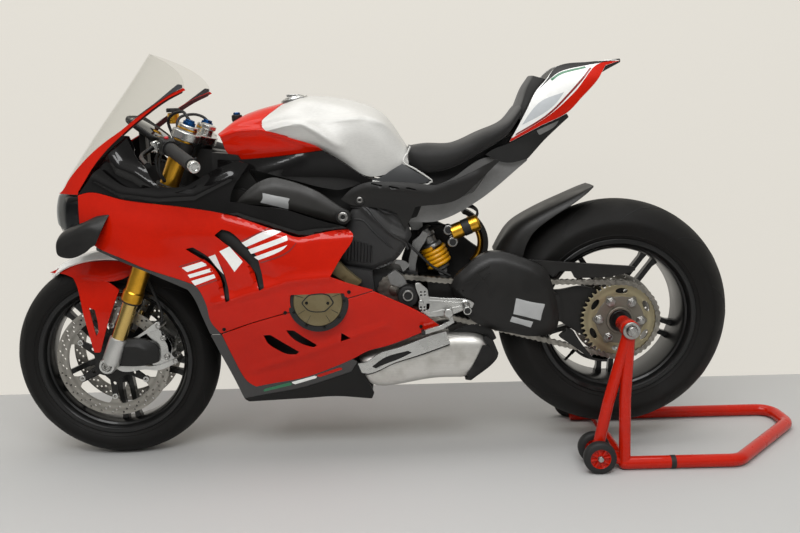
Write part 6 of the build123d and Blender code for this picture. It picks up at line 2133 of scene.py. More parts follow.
    def build_brakes(self, shop: Workshop) -> None:
        """Make the calipers, their pins and hoses, and the ducts that cover them.

        Args:
            shop: puts the pieces on their bodies.
        """
        bodies, pins, hoses = Shape(), Shape(), Shape()
        line = flowing(self.caliper, 6, corner=60)
        for sign in (1, -1):
            for low, high in ((46, 60), (71, 93)):
                bodies.join(plate(line, sign * low, sign * high))
            bridge = [(150, 396), (172, 370), (182, 346), (180, 322), (170, 330), (168, 350), (158, 372)]
            bodies.join(plate(flowing(bridge, 6), sign * 46, sign * 93))
            for back, up in ((148, 408), (190, 303), (160, 372), (166, 316)):
                pins.join(turned([(44, 8.5), (98, 8.5), (100, 7), (100, 4), (96, 3.6)], at(back, up),
                                 Vector((0, sign, 0)), 20))
            hoses.join(hose([at(150, 408, sign * 80), at(156, 440, sign * 78), at(140, 500, sign * 84),
                             at(120, 560, sign * 80), at(130, 640, sign * 70), at(176, 740, sign * 60),
                             at(196, 778, sign * 40)], 4.0, 8.0))
        duct = Skin((280, 320, 350, 380), ((0, 96, 100, 102, 98), (60, 106, 116, 118, 108), (120, 104, 114, 112, 102),
                                           (150, 96, 102, 100, 96)),
                    (Feature(Cut.RIDGE, ((34, 356), (90, 352), (110, 340)), 3.0, 5.0),))
        ducts = panel(flowing(self.duct, 6, corner=60), duct, 14.0, step=6.0)
        shop.fit("brake_caliper_bodies", bodies, BILLET, "brake_calipers", 2.5)
        shop.fit("caliper_pins", pins, STEEL, bevel=0.5)
        shop.fit("brake_ducts", ducts.both(), MATT_BLACK, bevel=1.5)
        shop.fit("brake_hoses", hoses, RUBBER)

    def build_fender(self, shop: Workshop) -> None:
        """Make the mudguard: a white arch over red sides, with a fine line between them.

        Args:
            shop: puts the pieces on their bodies.
        """
        arch, steps, across = [], 40, 14
        for inset in (0.0, 3.5):
            for i in range(steps + 1):
                angle = math.radians(124.5 - 52 * i / steps)
                flare = 1 - 0.55 * (1 - min(i / 14, 1.0)) ** 2
                for j in range(across + 1):
                    s = -1 + 2 * j / across
                    y = (71 - inset) * s * flare
                    lift = 316 - inset - 18 * abs(s) ** 3 + (6 - 10 * (1 - flare))
                    arch.append(at(lift * math.cos(angle), 300 + lift * math.sin(angle), y))
        shop.fit("mudguard_arch", double_sheet(arch, steps, across), WHITE, "front_fender", sharp=50.0)
        side = Skin((330, 440, 520, 560, 610), ((-180, 20, 24, 28, 30, 20), (-130, 60, 62, 62, 56, 40),
                                                (-80, 88, 88, 82, 76, 58), (0, 96, 94, 86, 78, 62),
                                                (80, 92, 90, 84, 78, 62)),
                    (Feature(Cut.RIDGE, ((-60, 560), (0, 552), (60, 566)), 4.0, 9.0),))
        skins = panel(flowing(self.fender, 6), side, 4.0, [flowing(self.fender_hole, 4, fillet=1.5)], 7.0)
        shop.fit("mudguard_sides", skins.both(), RED, bevel=1.0)
        line = [(-150, 574), (-100, 590), (-40, 600), (30, 600), (70, 592)]
        pin = panel([*line, *[(b, u - 4) for b, u in reversed(line)]], side.raised(0.4), 0.4, step=0.0)
        shop.fit("mudguard_pinstripes", pin.both(), RED_LINE)


# ---- engine and what shows of it ----------------------------------------------------------------------
FINS = Spread("fins_up_radiator")


@dataclass
class Engine:
    """The engine's castings and bronze covers, the radiator, the frame and the rear head cover."""

    cover: Point = (621.0, 489.0)

    def build(self, shop: Workshop) -> None:
        """Make the round covers and dress the castings.

        Args:
            shop: puts the pieces on their bodies.
        """
        self.build_covers(shop)
        self.build_head(shop)
        self.build_radiator(shop)
        block = plate(flowing([(432, 385), (430, 420), (470, 560), (560, 650), (640, 640), (690, 575), (770, 560),
                               (780, 440), (784, 385)], 20), -147, 147)
        sump = plate(flowing([(440, 250), (434, 392), (782, 392), (722, 310), (700, 222), (560, 210)], 20), -100, 100)
        case = plate(flowing([(768, 560), (898, 545), (903, 420), (782, 386)], 12), -91.5, 91.5)
        shop.fit("engine_castings", block.join(sump, case), ENGINE, "engine_block", 5.0)
        shop.dress("main_frame", SATIN_BLACK)
        airbox = plate(flowing([(404, 772), (412, 838), (470, 872), (640, 884), (700, 850), (765, 806), (900, 798),
                                (936, 790), (900, 704), (860, 690), (760, 640), (690, 640), (560, 660), (440, 738)],
                               24), -92, 92)
        ducts = plate(flowing([(330, 700), (352, 790), (420, 800), (520, 740), (640, 690), (700, 640), (560, 610),
                               (430, 640)], 24), -128, 128)
        shop.fit("airbox_shell", airbox.join(ducts), MATT_BLACK, bevel=8.0)

    def build_covers(self, shop: Workshop) -> None:
        """Make the round bronze covers with a raised diamond, and the piece behind the fairing.

        Args:
            shop: puts the pieces on their bodies.
        """
        face = [(0, 78), (40, 78), (42, 72), (46, 70), (50, 68), (54, 67), (56, 65.5), (57, 60), (57.5, 44), (57, 1)]
        base = outward(turned(face, at(*self.cover, 148), ACROSS, 72))
        center = self.cover
        for point in base.verts:
            point.z = min(point.z, (center[1] + 24) * MM)
        rhomb = [(-42, 0), (-26, -20), (-10, -24), (18, -24), (42, -2), (30, 18), (14, 22), (-22, 20)]
        diamond = plate(flowing([(center[0] + b, center[1] + u) for b, u in rhomb], 5, fillet=6), 202, 208)
        outline = plate(flowing([(center[0] + 1.1 * b, center[1] + 1.14 * u) for b, u in rhomb], 5, fillet=6), 202,
                        206)
        spokes = Shape()
        for degrees in (-150, -120, -90, -60, -30, 20, 160):
            ends = [at(*polar(center, reach, degrees), 205.6) for reach in (42, 64)]
            spokes.join(beam([(end, 0.5, 0.9) for end in ends], UPRIGHT))
        piece = plate(flowing([(640, 575), (652, 594), (683, 592), (705, 568), (742, 536), (722, 520)], 8), 148, 171)
        shop.fit("bronze_covers", base.join(diamond, piece).both(), BRONZE, "engine_covers", 1.5)
        ring = hoop([(44, 84), (50, 84), (52, 80), (52, 68.5), (44, 68.5)], at(*center, 148), ACROSS, 72)
        for point in ring.verts:
            point.z = min(point.z, (center[1] + 24) * MM)
        shop.fit("cover_seals", ring.join(outline, spokes).both(), RUBBER)
        places = []
        for sign in (1, -1):
            places += [(at(center[0] + b, center[1] + u, sign * 208), ACROSS * sign, 0.2)
                       for b, u in ((-30, 0), (28, -2))]
            places += [(at(*polar(center, 72.5, 40 * k - 158), sign * 200), ACROSS * sign, 0.1 * k) for k in range(5)]
        FASTENERS.fill(shop, "cover_screws", places, socket_screw(4.2, 2.5), BLACK_STEEL)

    def build_head(self, shop: Workshop) -> None:
        """Make the black cover over the rear head, with its raised contour and ribs.

        Args:
            shop: puts the pieces on their bodies.
        """
        line = [(738, 747), (771, 760), (812, 739), (852, 724), (873, 688), (883, 654), (835, 586), (770, 560),
                (700, 568), (676, 592), (684, 640), (704, 690), (718, 730)]
        contour = ((745, 742), (773, 713), (820, 668), (874, 643))
        face = Skin((560, 620, 680, 740, 780), ((670, 118, 124, 126, 124, 116), (780, 124, 132, 134, 130, 118),
                                                (890, 114, 122, 124, 118, 110)),
                    (Feature(Cut.RIDGE, contour, 6.0, 7.0),
                     Feature(Cut.POCKET, ((760, 744), (775, 756), (810, 728), (842, 726), (866, 700), (872, 660),
                                          (822, 684), (784, 722), (760, 744)), -12.0, 18.0),
                     Feature(Cut.ROLL, tuple(line + line[:1]), 8.0, 16.0)))
        ribs = Shape()
        for k in range(8):
            spots = [(708 + 9 * k, 652 - 3 * k), (704 + 9 * k, 590 - k)]
            ribs.join(beam([(at(b, u, face(b, u) + 1), 3.0, 2.4) for b, u in spots], UPRIGHT))
        for radius, edge in (
                (3.4, ((716, 742), (738, 738), (762, 736), (790, 700), (828, 660), (862, 636), (872, 616))),
                (2.6, ((706, 700), (730, 706), (752, 700), (776, 672), (812, 636), (846, 606))),
                (2.6, ((764, 752), (790, 738), (812, 722), (838, 716), (858, 700), (864, 668)))):
            ribs.join(tube(smooth_path([at(b, u, face(b, u) + 0.5) for b, u in edge], 4), radius, 8))
        skin = panel(flowing(line, 5), face, 20.0, step=5.0).join(ribs)
        shop.fit("head_cover_skins", skin.both(), ENGINE, "rear_head_cover", 1.5, slot="black_satin")
        core = plate(flowing([(742, 740), (771, 752), (810, 731), (846, 718), (866, 686), (875, 655), (832, 594),
                              (770, 568), (698, 582), (704, 623)], 20), -106, 106)
        shop.fit("head_core", core, ENGINE, bevel=4.0)

    def build_radiator(self, shop: Workshop) -> None:
        """Make the radiator with its fins and tanks.

        Args:
            shop: puts the pieces on their bodies.
        """
        body = plate([(352, 330), (392, 330), (420, 620), (380, 620)], -118, 118)
        tanks = Shape()
        for sign in (1, -1):
            tanks.join(plate(flowing([(348, 326), (396, 326), (424, 624), (376, 624)], 12), sign * 116, sign * 135))
        stay = plate([(390, 400), (431, 400), (430, 420), (435, 438), (395, 440)], -20, 20)
        shop.fit("radiator_body", body.join(tanks, stay), SATIN_BLACK, "radiator", 2.0)
        places = [(at(352 + 28 * t - 1.2, 330 + 290 * t), Vector((1, 0, 0)), 0.0)
                  for t in [(k + 0.5) / 46 for k in range(46)]]
        fin = prism(*[[Vector((x, y, z)) * MM for y, z in ((-115, 0), (115, 0), (115, 2), (-115, 2))]
                      for x in (-1.2, 1.2)])
        FINS.fill(shop, "radiator_fins", places, fin, BLACK_STEEL)


# ---- swingarm, shock and what rides on them -----------------------------------------------------------
@dataclass
class Rear:
    """The single-sided swingarm, its guards, the shock and the exhaust."""

    blade: tuple[Point, ...] = (
        (1003, 536), (1032, 562), (1062, 586), (1098, 602), (1140, 601), (1186, 586), (1228, 568), (1258, 545),
        (1274, 505), (1286, 455), (1294, 410), (1290, 376), (1272, 360), (1215, 357), (1160, 368), (1096, 384),
        (1044, 412), (1012, 456), (988, 506))
    hugger: tuple[tuple[Point, Point, float], ...] = (
        ((1126, 592), (1188, 560), 1.0), ((1144, 626), (1194, 590), 1.0), ((1166, 658), (1206, 624), 1.0),
        ((1198, 684), (1230, 658), 1.0), ((1261, 717), (1280, 694), 0.98), ((1326, 745), (1332, 724), 0.92),
        ((1376, 765), (1376, 752), 0.8), ((1404, 775), (1402, 770), 0.62))

    def build(self, shop: Workshop) -> None:
        """Make everything behind the engine.

        Args:
            shop: puts the pieces on their bodies.
        """
        self.build_arm(shop)
        self.build_guards(shop)
        self.build_shock(shop)
        self.build_silencer(shop)

    def build_arm(self, shop: Workshop) -> None:
        """Make the hollow blade with its ribs, the pivot beam and the hub.

        Args:
            shop: puts the pieces on their bodies.
        """
        face = Skin((360, 420, 480, 540, 605),
                    ((980, 128, 134, 138, 136, 130), (1060, 134, 146, 150, 148, 136), (1140, 140, 152, 155, 150, 136),
                     (1220, 140, 152, 154, 148, 134), (1300, 130, 142, 144, 138, 126)),
                    (Feature(Cut.ROLL, self.blade + self.blade[:1], 14.0, 26.0),))
        blade = panel(flowing(self.blade, 8), face, 24.0, step=8.0)
        for line in (((1003, 500), (1043, 523), (1064, 550), (1097, 566)),
                     ((1012, 478), (1052, 500), (1078, 530), (1097, 548)), ((1024, 500), (1018, 470), (1030, 440)),
                     ((1060, 545), (1086, 520), (1098, 480))):
            blade.join(beam([(at(b, u, face(b, u)), 2.5, 2.0) for b, u in line], UPRIGHT))
        inner = plate(flowing([(1010, 440), (1006, 490), (1270, 492), (1296, 470), (1300, 400), (1250, 392),
                               (1120, 410)], 10), 104, 124)
        beam_box = plate(flowing([(925, 432), (925, 519), (1085, 519), (1085, 432)], 12), -80, 104)
        lugs = Shape()
        for low, high in ((92.3, 102), (-102, -92.3)):
            lugs.join(plate(flowing([(850, 452), (850, 512), (925, 520), (925, 440)], 8), low, high))
        lugs.join(plate([(908, 430), (926, 430), (926, 520), (908, 520)], -102, 102))
        hub_arm = plate(flowing([(1250, 392), (1252, 484), (1300, 484), (1370, 492), (1440, 462), (1469, 446),
                                 (1469, 346), (1400, 330), (1330, 372), (1303, 391)], 10), 86, 98)
        hub = hoop([(52, 30.3), (52, 60), (55, 62), (95, 62), (98, 60), (98, 30.3)], at(*REAR_AXLE), ACROSS, 64)
        pivot = turned([(-103, 12), (-103, 15), (103, 15), (103, 12)], at(865, 481), ACROSS, 32)
        shop.fit("swingarm_castings", blade.join(inner, beam_box, lugs, hub_arm, hub, pivot), SATIN_BLACK, "swingarm",
                 3.0)
        labels = panel(((1169, 475), (1250, 455), (1238, 408), (1161, 430)), face.raised(0.5), 0.6, step=10.0).join(
            panel(((1158, 423), (1217, 405), (1211, 388), (1152, 408)), face.raised(0.5), 0.6, step=10.0))
        shop.fit("swingarm_labels", labels, LABEL)
        stay = plate(flowing([(1296, 352), (1319, 374), (1337, 368), (1356, 336), (1394, 286), (1386, 282),
                              (1356, 308)], 8), 104, 122)
        low_guide = tube(smooth_path([at(1330, 322, 112), at(1368, 292, 112), at(1410, 278, 112),
                                      at(1436, 276, 112)], 8), 4.0, 8)
        shop.fit("chain_stays", stay.join(low_guide), MATT_BLACK, bevel=1.5)
        caliper = plate(flowing([(1402, 268), (1452, 262), (1478, 282), (1470, 312), (1420, 322), (1396, 300)], 8),
                        29, 37).join(
            plate(flowing([(1402, 268), (1452, 262), (1478, 282), (1470, 312), (1420, 322), (1396, 300)], 8), 51, 58),
            plate(flowing([(1402, 268), (1452, 262), (1456, 274), (1408, 280)], 8), 29, 58),
            plate(flowing([(1420, 318), (1470, 308), (1484, 340), (1440, 346)], 8), 52, 58))
        shop.fit("rear_caliper_body", caliper, BILLET, "rear_caliper", 2.0)

    def build_guards(self, shop: Workshop) -> None:
        """Make the hugger, whose fin sweeps up over the tyre, and the chain guard.

        Args:
            shop: puts the pieces on their bodies.
        """
        rings = []
        for (top_back, top), (low_back, low), wide in self.hugger:
            back, up = top_back * 0.6 + low_back * 0.4, top * 0.6 + low * 0.4
            thick = min(4.0, (top - low) * 0.4)
            rings.append(((top_back, 0, top - thick), (top_back, 48 * wide, top - thick - 2),
                          (back, 82 * wide, up - thick * 0.5), (low_back, 95 * wide, low), (low_back, 99 * wide, low),
                          (back, 88 * wide, up + thick * 0.5), (top_back, 54 * wide, top - 1), (top_back, 0, top)))
        shop.fit("hugger_shell", skinned(rings, 6, 5), SATIN_BLACK, "rear_hugger", sharp=50.0)
        guard = plate(flowing([(1123, 590), (1190, 580), (1300, 568), (1508, 549), (1510, 538), (1484, 530),
                               (1440, 522), (1340, 520), (1330, 540), (1294, 541), (1278, 524), (1250, 545),
                               (1150, 566)], 8), 106, 119)
        shop.fit("chain_guard_blade", guard, SATIN_BLACK, "chain_guard", 2.5)

    def build_shock(self, shop: Workshop) -> None:
        """Make the shock: body, coil spring, remote reservoir, knobs, hoses and the pull rod.

        Args:
            shop: puts the pieces on their bodies.
        """
        top, low = at(918, 664), at(972, 534)
        run = low - top
        length = run.length / MM
        body = turned([(0, 14), (8, 22), (30, 24), (34, 20), (52, 20), (56, 29), (62, 31), (66, 31), (68, 14),
                       (length - 16, 14), (length - 14, 26), (length - 6, 26), (length, 14)], top, run, 40)
        eye = turned([(-14, 6), (-14, 14), (14, 14), (14, 6)], low, ACROSS, 28)
        strut = plate([(873, 688), (883, 654), (918, 655), (916, 678)], -8, 8)
        link = plate(flowing([(878, 533), (872, 560), (880, 604), (886, 631), (905, 646), (915, 660), (930, 652),
                              (924, 634), (904, 602), (893, 560), (892, 533)], 6), 58, 70)
        shop.fit("shock_body", body.join(eye, strut), CAST_ALLOY, "shock_absorber", 1.0)
        shop.fit("pull_rod", link, CAST_ALLOY, bevel=3.0)
        axis = run.normalized()
        side = axis.cross(ACROSS)
        coil = []
        for k in range(110):
            turn = math.tau * k / 24
            place = top + axis * ((66 + (length - 82) * k / 109) * MM)
            coil.append(place + (ACROSS * math.cos(turn) + side * math.sin(turn)) * (32 * MM))
        shop.fit("coil_spring", tube(coil, 6.5, 12), SPRING)
        start, end = at(996, 650, 62), at(1078, 682, 62)
        along = (end - start).normalized()
        shop.fit("shock_reservoir", turned([(0, 16), (3, 23), (34, 23), (37, 20), (40, 23), (80, 23), (86, 18)], start,
                                           along, 40), GOLD, bevel=0.8)
        band = hoop([(36, 24), (58, 24), (58, 21), (36, 21)], start, along, 40)
        knobs, rims = Shape(), Shape()
        for back, up in ((988, 661), (1000, 626)):
            rims.join(turned([(0, 15), (26, 15), (30, 13.5), (30, 10)], at(back, up, 46), ACROSS, 32))
            knobs.join(turned([(0, 9.5), (32, 9.5), (33, 8)], at(back, up, 46), ACROSS, 32))
        shop.fit("adjuster_rims", rims, STEEL, bevel=0.6, slot="machined_alloy")
        hoses = Shape()
        for lift, y in ((0, 62), (6, 54)):
            hoses.join(hose([at(985, 712, y), at(1018, 722 + lift, y), at(1050, 724 + lift, y),
                             at(1072, 710 + lift / 2, y), at(1066, 690, y), at(1046, 668, y)], 3.4))
        hoses.join(hose([at(925, 650, 6), at(960, 668, 30), at(1000, 664, 52)], 6.5),
                   hose([at(860, 640, 90), at(900, 600, 96), at(940, 560, 90), at(990, 530, 84)], 4.0, 8.0))
        shop.fit("shock_hoses_and_bands", hoses.join(band, knobs), RUBBER)
        ring = []
        for k in range(20):
            back, up = polar((1010, 610), 78, 62 - 110 * k / 19)
            ring.append(at(back, up, -30))
        shop.fit("exhaust_bend", tube(ring, 9, 16, wide=1.6), GOLD, slot="titanium")
        shell = [polar((1002, 612), 106, 70 - 120 * k / 23) for k in range(24)]
        inner = [polar((1002, 612), 92, 70 - 120 * k / 23) for k in range(23, -1, -1)]
        backing = plate(flowing([(852, 560), (880, 640), (894, 700), (930, 690), (968, 668), (1019, 640), (1060, 606),
                                 (1100, 580), (1130, 572), (1085, 505), (925, 512), (860, 530)], 16), -70, -40)
        shop.fit("heat_guard", plate(shell + inner, -60, 10).join(backing), MATT_BLACK, bevel=2.0)

    def build_silencer(self, shop: Workshop) -> None:
        """Make the low silencers with their shields and slanted black outlets.

        Args:
            shop: puts the pieces on their bodies.
        """
        rings = []
        for (low_back, low), (top_back, top), half in (
                ((738, 262), (723, 304), 26), ((744, 244), (734, 312), 40), ((764, 224), (762, 320), 49),
                ((815, 221), (826, 334), 52), ((924, 238), (905, 354), 52), ((990, 240), (968, 372), 52),
                ((1024, 240), (1040, 372), 51), ((1044, 248), (1076, 362), 49), ((1052, 254), (1094, 346), 45)):
            ring = []
            for k in range(28):
                turn = math.tau * k / 28
                c, t = math.cos(turn), math.sin(turn)
                across = 98 + half * math.copysign(abs(c) ** 0.55, c)
                rise = 0.5 + 0.5 * math.copysign(abs(t) ** 0.7, t)
                ring.append((low_back + (top_back - low_back) * rise, across, low + (top - low) * rise))
            rings.append(ring)
        shop.fit("silencer_cans", skinned(rings, 5, 1, whole=False).both(), SILENCER, "silencers", sharp=50.0)
        shield_line = [(721, 296), (744, 301), (785, 327), (847, 345), (921, 372), (972, 386), (983, 350), (898, 321),
                       (826, 299), (755, 269), (732, 269)]
        slot = [(761, 289), (799, 315), (864, 333), (875, 327), (841, 311), (795, 294), (772, 283)]
        side = Skin((260, 380), ((720, 142, 146), (760, 152, 150), (960, 156, 152), (1000, 155, 150)))
        shield = panel(flowing(shield_line, 6), side.raised(5.0), 7.0, [flowing(slot, 4, fillet=2)], 7.0)
        shop.fit("silencer_shields", shield.both(), BILLET, bevel=1.5, slot="titanium")
        # A near-black sheet just below each shield's edge: painted shadow of the shield on the can.
        shadow = panel(flowing([(b + 2 * (b > 850) - 2, u - 5) for b, u in shield_line], 6), side.raised(0.5), 3.0,
                       step=7.0)
        shop.fit("shield_gaskets", shadow.both(), SOOT_AND_SHADE)
        lip = [(1024, 238), (1042, 235), (1116, 298), (1121, 314), (1104, 350), (1088, 364), (1078, 360), (1098, 318),
               (1092, 306)]
        # The bores are solid near-black plates: real soot, plus painted shade for the depth of the outlets.
        bore = [(1030, 250), (1046, 248), (1108, 302), (1098, 334), (1076, 340)]
        rims = plate(flowing(lip, 6), 54, 140).both()
        holes = plate(flowing(bore, 6), 62, 150).both()
        shop.fit("outlet_rims", rims, MATT_BLACK, bevel=2.0)
        shop.fit("outlet_bores", holes, SOOT_AND_SHADE, bevel=1.5)
        guard = plate(flowing([(980, 372), (1060, 396), (1100, 384), (1118, 352), (1104, 344), (1070, 368)], 8), 60,
                      120)
        shop.fit("outlet_guards", guard.both(), MATT_BLACK, bevel=2.0)


# ---- footrests and chain ------------------------------------------------------------------------------
@dataclass
class Rests:
    """The footrest plates, pegs, pivots and the gear and brake levers."""

    def build(self, shop: Workshop) -> None:
        """Make both sides.

        Args:
            shop: puts the pieces on their bodies.
        """
        main = [(888, 526), (901, 527), (916, 514), (923, 508), (925, 487), (960, 483), (1038, 474), (1052, 465),
                (1046, 452), (1035, 452), (1000, 438), (992, 436), (968, 442), (966, 432), (926, 430), (906, 436),
                (897, 458), (900, 483), (892, 506)]
        holes = [ring_of(4, 3.4, spot, 45) for spot in ((904, 501), (915, 501), (904, 492), (915, 492), (903, 458),
                                                         (913, 458), (903, 449), (913, 449))]
        holes.append(flowing([(919, 468), (928, 468), (926, 452), (918, 448)], 4, fillet=2))
        plates = plate(flowing(main, 6), 154, 162, holes)
        rib = Shape()
        for path in (((926, 476), (1000, 468), (1036, 466)), ((926, 440), (968, 448), (1030, 460))):
            rib.join(beam([(at(b, u, 162), 2.0, 3.0) for b, u in path]))
        toe = beam([(at(979, 443, 176), 5, 8), (at(988, 420, 178), 5, 7), (at(960, 404, 178), 4.5, 6),
                    (at(912, 391, 178), 4.5, 6)])
        boss = turned([(0, 13), (22, 13), (24, 11), (24, 5)], at(979, 443, 160), ACROSS, 28)
        peg = turned([(-4, 13), (2, 13), (4, 10), *[(8 + 2.2 * k, 10.6 if k % 2 else 9.4) for k in range(30)],
                      (75, 11.5), (78, 11), (78, 8)], at(1027, 462, 160), ACROSS, 28)
        tip = turned([(0, 6), (26, 6), (27, 5)], at(908, 391, 168), ACROSS, 20)
        bolt = turned([(0, 7), (4, 7), (5, 5)], at(904, 472, 161), ACROSS, 20)
        shop.fit("footrest_plates", plates.join(rib, toe, boss, peg, bolt).both(), BILLET, "rearsets", 1.2)
        dark = turned([(0, 8.5), (78.6, 8.5), (79, 7)], at(1027, 462, 160), ACROSS, 24).join(
            tip, turned([(0, 29), (46, 29), (49, 27), (50, 12)], at(868, 486, 102), ACROSS, 40))
        shop.fit("footrest_rubbers", dark.both(), RUBBER, bevel=0.8)
        collar = hoop([(46, 16), (53, 16), (55, 14.5), (55, 11.5), (46, 11.5)], at(868, 490, 102), ACROSS, 36)
        shop.fit("pivot_rings", collar.both(), STEEL)
        heel = plate(flowing([(832, 577), (842, 586), (864, 581), (876, 569), (866, 560), (856, 551), (848, 572)], 5),
                     112, 118)
        case = plate(flowing([(812, 546), (834, 560), (856, 540), (866, 520), (846, 510), (820, 520)], 6), 108, 132)
        shop.fit("sprocket_cover", heel.join(case), CAST_ALLOY, bevel=2.0)


@dataclass(frozen=True)
class Chain:
    """The drive chain, as links set along its path, and the front sprocket."""

    front: Point = (830.0, 500.0)
    front_radius: float = 40.0
    rear: Point = REAR_AXLE
    rear_radius: float = 108.0
    guide: Point = (974.0, 522.0)
    pitch: float = 15.875
    y: float = 112.0

    def path(self) -> list[Point]:
        """The chain's pitch line as a closed row of close points.

        Returns:
            Points as (back, up).
        """
        def tangent(a: Point, ra: float, b: Point, rb: float, sign: int) -> tuple[float, float]:
            """The angle at which a straight run touches two circles, and its own slope."""
            run, slope = math.dist(a, b), math.atan2(b[1] - a[1], b[0] - a[0])
            return slope + sign * (math.pi / 2 + math.asin((rb - ra) / run)), slope

        up_front, _ = tangent(self.front, self.front_radius, self.guide, 0.0, 1)
        up_rear, _ = tangent(self.guide, 0.0, self.rear, self.rear_radius, 1)
        low, _ = tangent(self.front, self.front_radius, self.rear, self.rear_radius, -1)

        def arc(center: Point, radius: float, start: float, end: float) -> list[Point]:
            """Points round a sprocket, clockwise.

            Args:
                center: the sprocket's centre.
                radius: its pitch radius.
                start: the first angle, in radians.
                end: the last angle, in radians.

            Returns:
                Points along the arc.
            """
            end = end if end < start else end - math.tau
            return [(center[0] + radius * math.cos(start + (end - start) * k / 60),
                     center[1] + radius * math.sin(start + (end - start) * k / 60)) for k in range(61)]

        return [self.guide, *arc(self.rear, self.rear_radius, up_rear, low),
                *arc(self.front, self.front_radius, low, up_front), self.guide]

    def build(self, shop: Workshop) -> None:
        """Set the links along the path.

        Args:
            shop: puts the pieces on their bodies.
        """
        line = self.path()
        lengths = [0.0]
        for a, b in zip(line, line[1:]):
            lengths.append(lengths[-1] + math.dist(a, b))
        count = 2 * round(lengths[-1] / self.pitch / 2)
        step = lengths[-1] / count

        def spot(distance: float) -> Point:
            """The point a distance along the path.

            Args:
                distance: millimetres from its start.

            Returns:
                The point.
            """
            k = min(bisect_right(lengths, distance % lengths[-1]), len(line) - 1)
            t = (distance % lengths[-1] - lengths[k - 1]) / max(lengths[k] - lengths[k - 1], 1e-9)
            return tuple(line[k - 1][i] + (line[k][i] - line[k - 1][i]) * t for i in (0, 1))

        sets: dict[bool, list] = {False: [], True: []}
        for k in range(count):
            a, b = spot(k * step), spot((k + 1) * step)
            middle = at((a[0] + b[0]) / 2, (a[1] + b[1]) / 2, self.y)
            sets[bool(k % 2)].append((middle, at(*b) - at(*a), 0.0))
        for outer, name in ((False, "chain_inner_links"), (True, "chain_outer_links")):
            LINKS.fill(shop, name, sets[outer], self.link(outer), CHAIN_STEEL, "" if outer else "drive_chain",
                       sharp=30.0)
        teeth = []
        for k in range(16):
            for turn, radius in ((-7, 34), (-3, 40), (0, 43), (3, 40), (7, 34)):
                teeth.append(polar(self.front, radius, 22.5 * k + turn))
        wheel = plate(teeth, self.y - 2.5, self.y + 2.5)
        nut = turned([(92, 15), (self.y + 8, 15), (self.y + 9, 13)], at(*self.front), ACROSS, 24)
        shop.fit("front_sprocket_teeth", wheel.join(nut), CHAIN_STEEL, "front_sprocket", 0.6)

    def link(self, outer: bool) -> Shape:
        """One link along Z: two waisted plates, and pins or rollers between them.

        Args:
            outer: whether it has the outer plates and pins.

        Returns:
            The link.
        """
        half = self.pitch / 2
        side = [(half + 7.8 * math.cos(a), 7.8 * math.sin(a)) for a in [math.radians(d) for d in range(-120, 121, 24)]]
        outline = side + [(0.0, 5.4)] + [(-z, -x) for z, x in side] + [(0.0, -5.4)]
        shape = Shape()
        inner, rim = (5.6, 7.4) if outer else (3.4, 5.2)
        for low, high in ((inner, rim), (-rim, -inner)):
            shape.join(prism(*[[Vector((x, y, z)) * MM for z, x in outline] for y in (low, high)]))
        for z in (half, -half):
            radius, reach = (2.6, 8.2) if outer else (4.8, 3.4)
            shape.join(outward(turned([(-reach, radius), (reach, radius)], Vector((0, 0, z * MM)), ACROSS, 10)))
        return shape


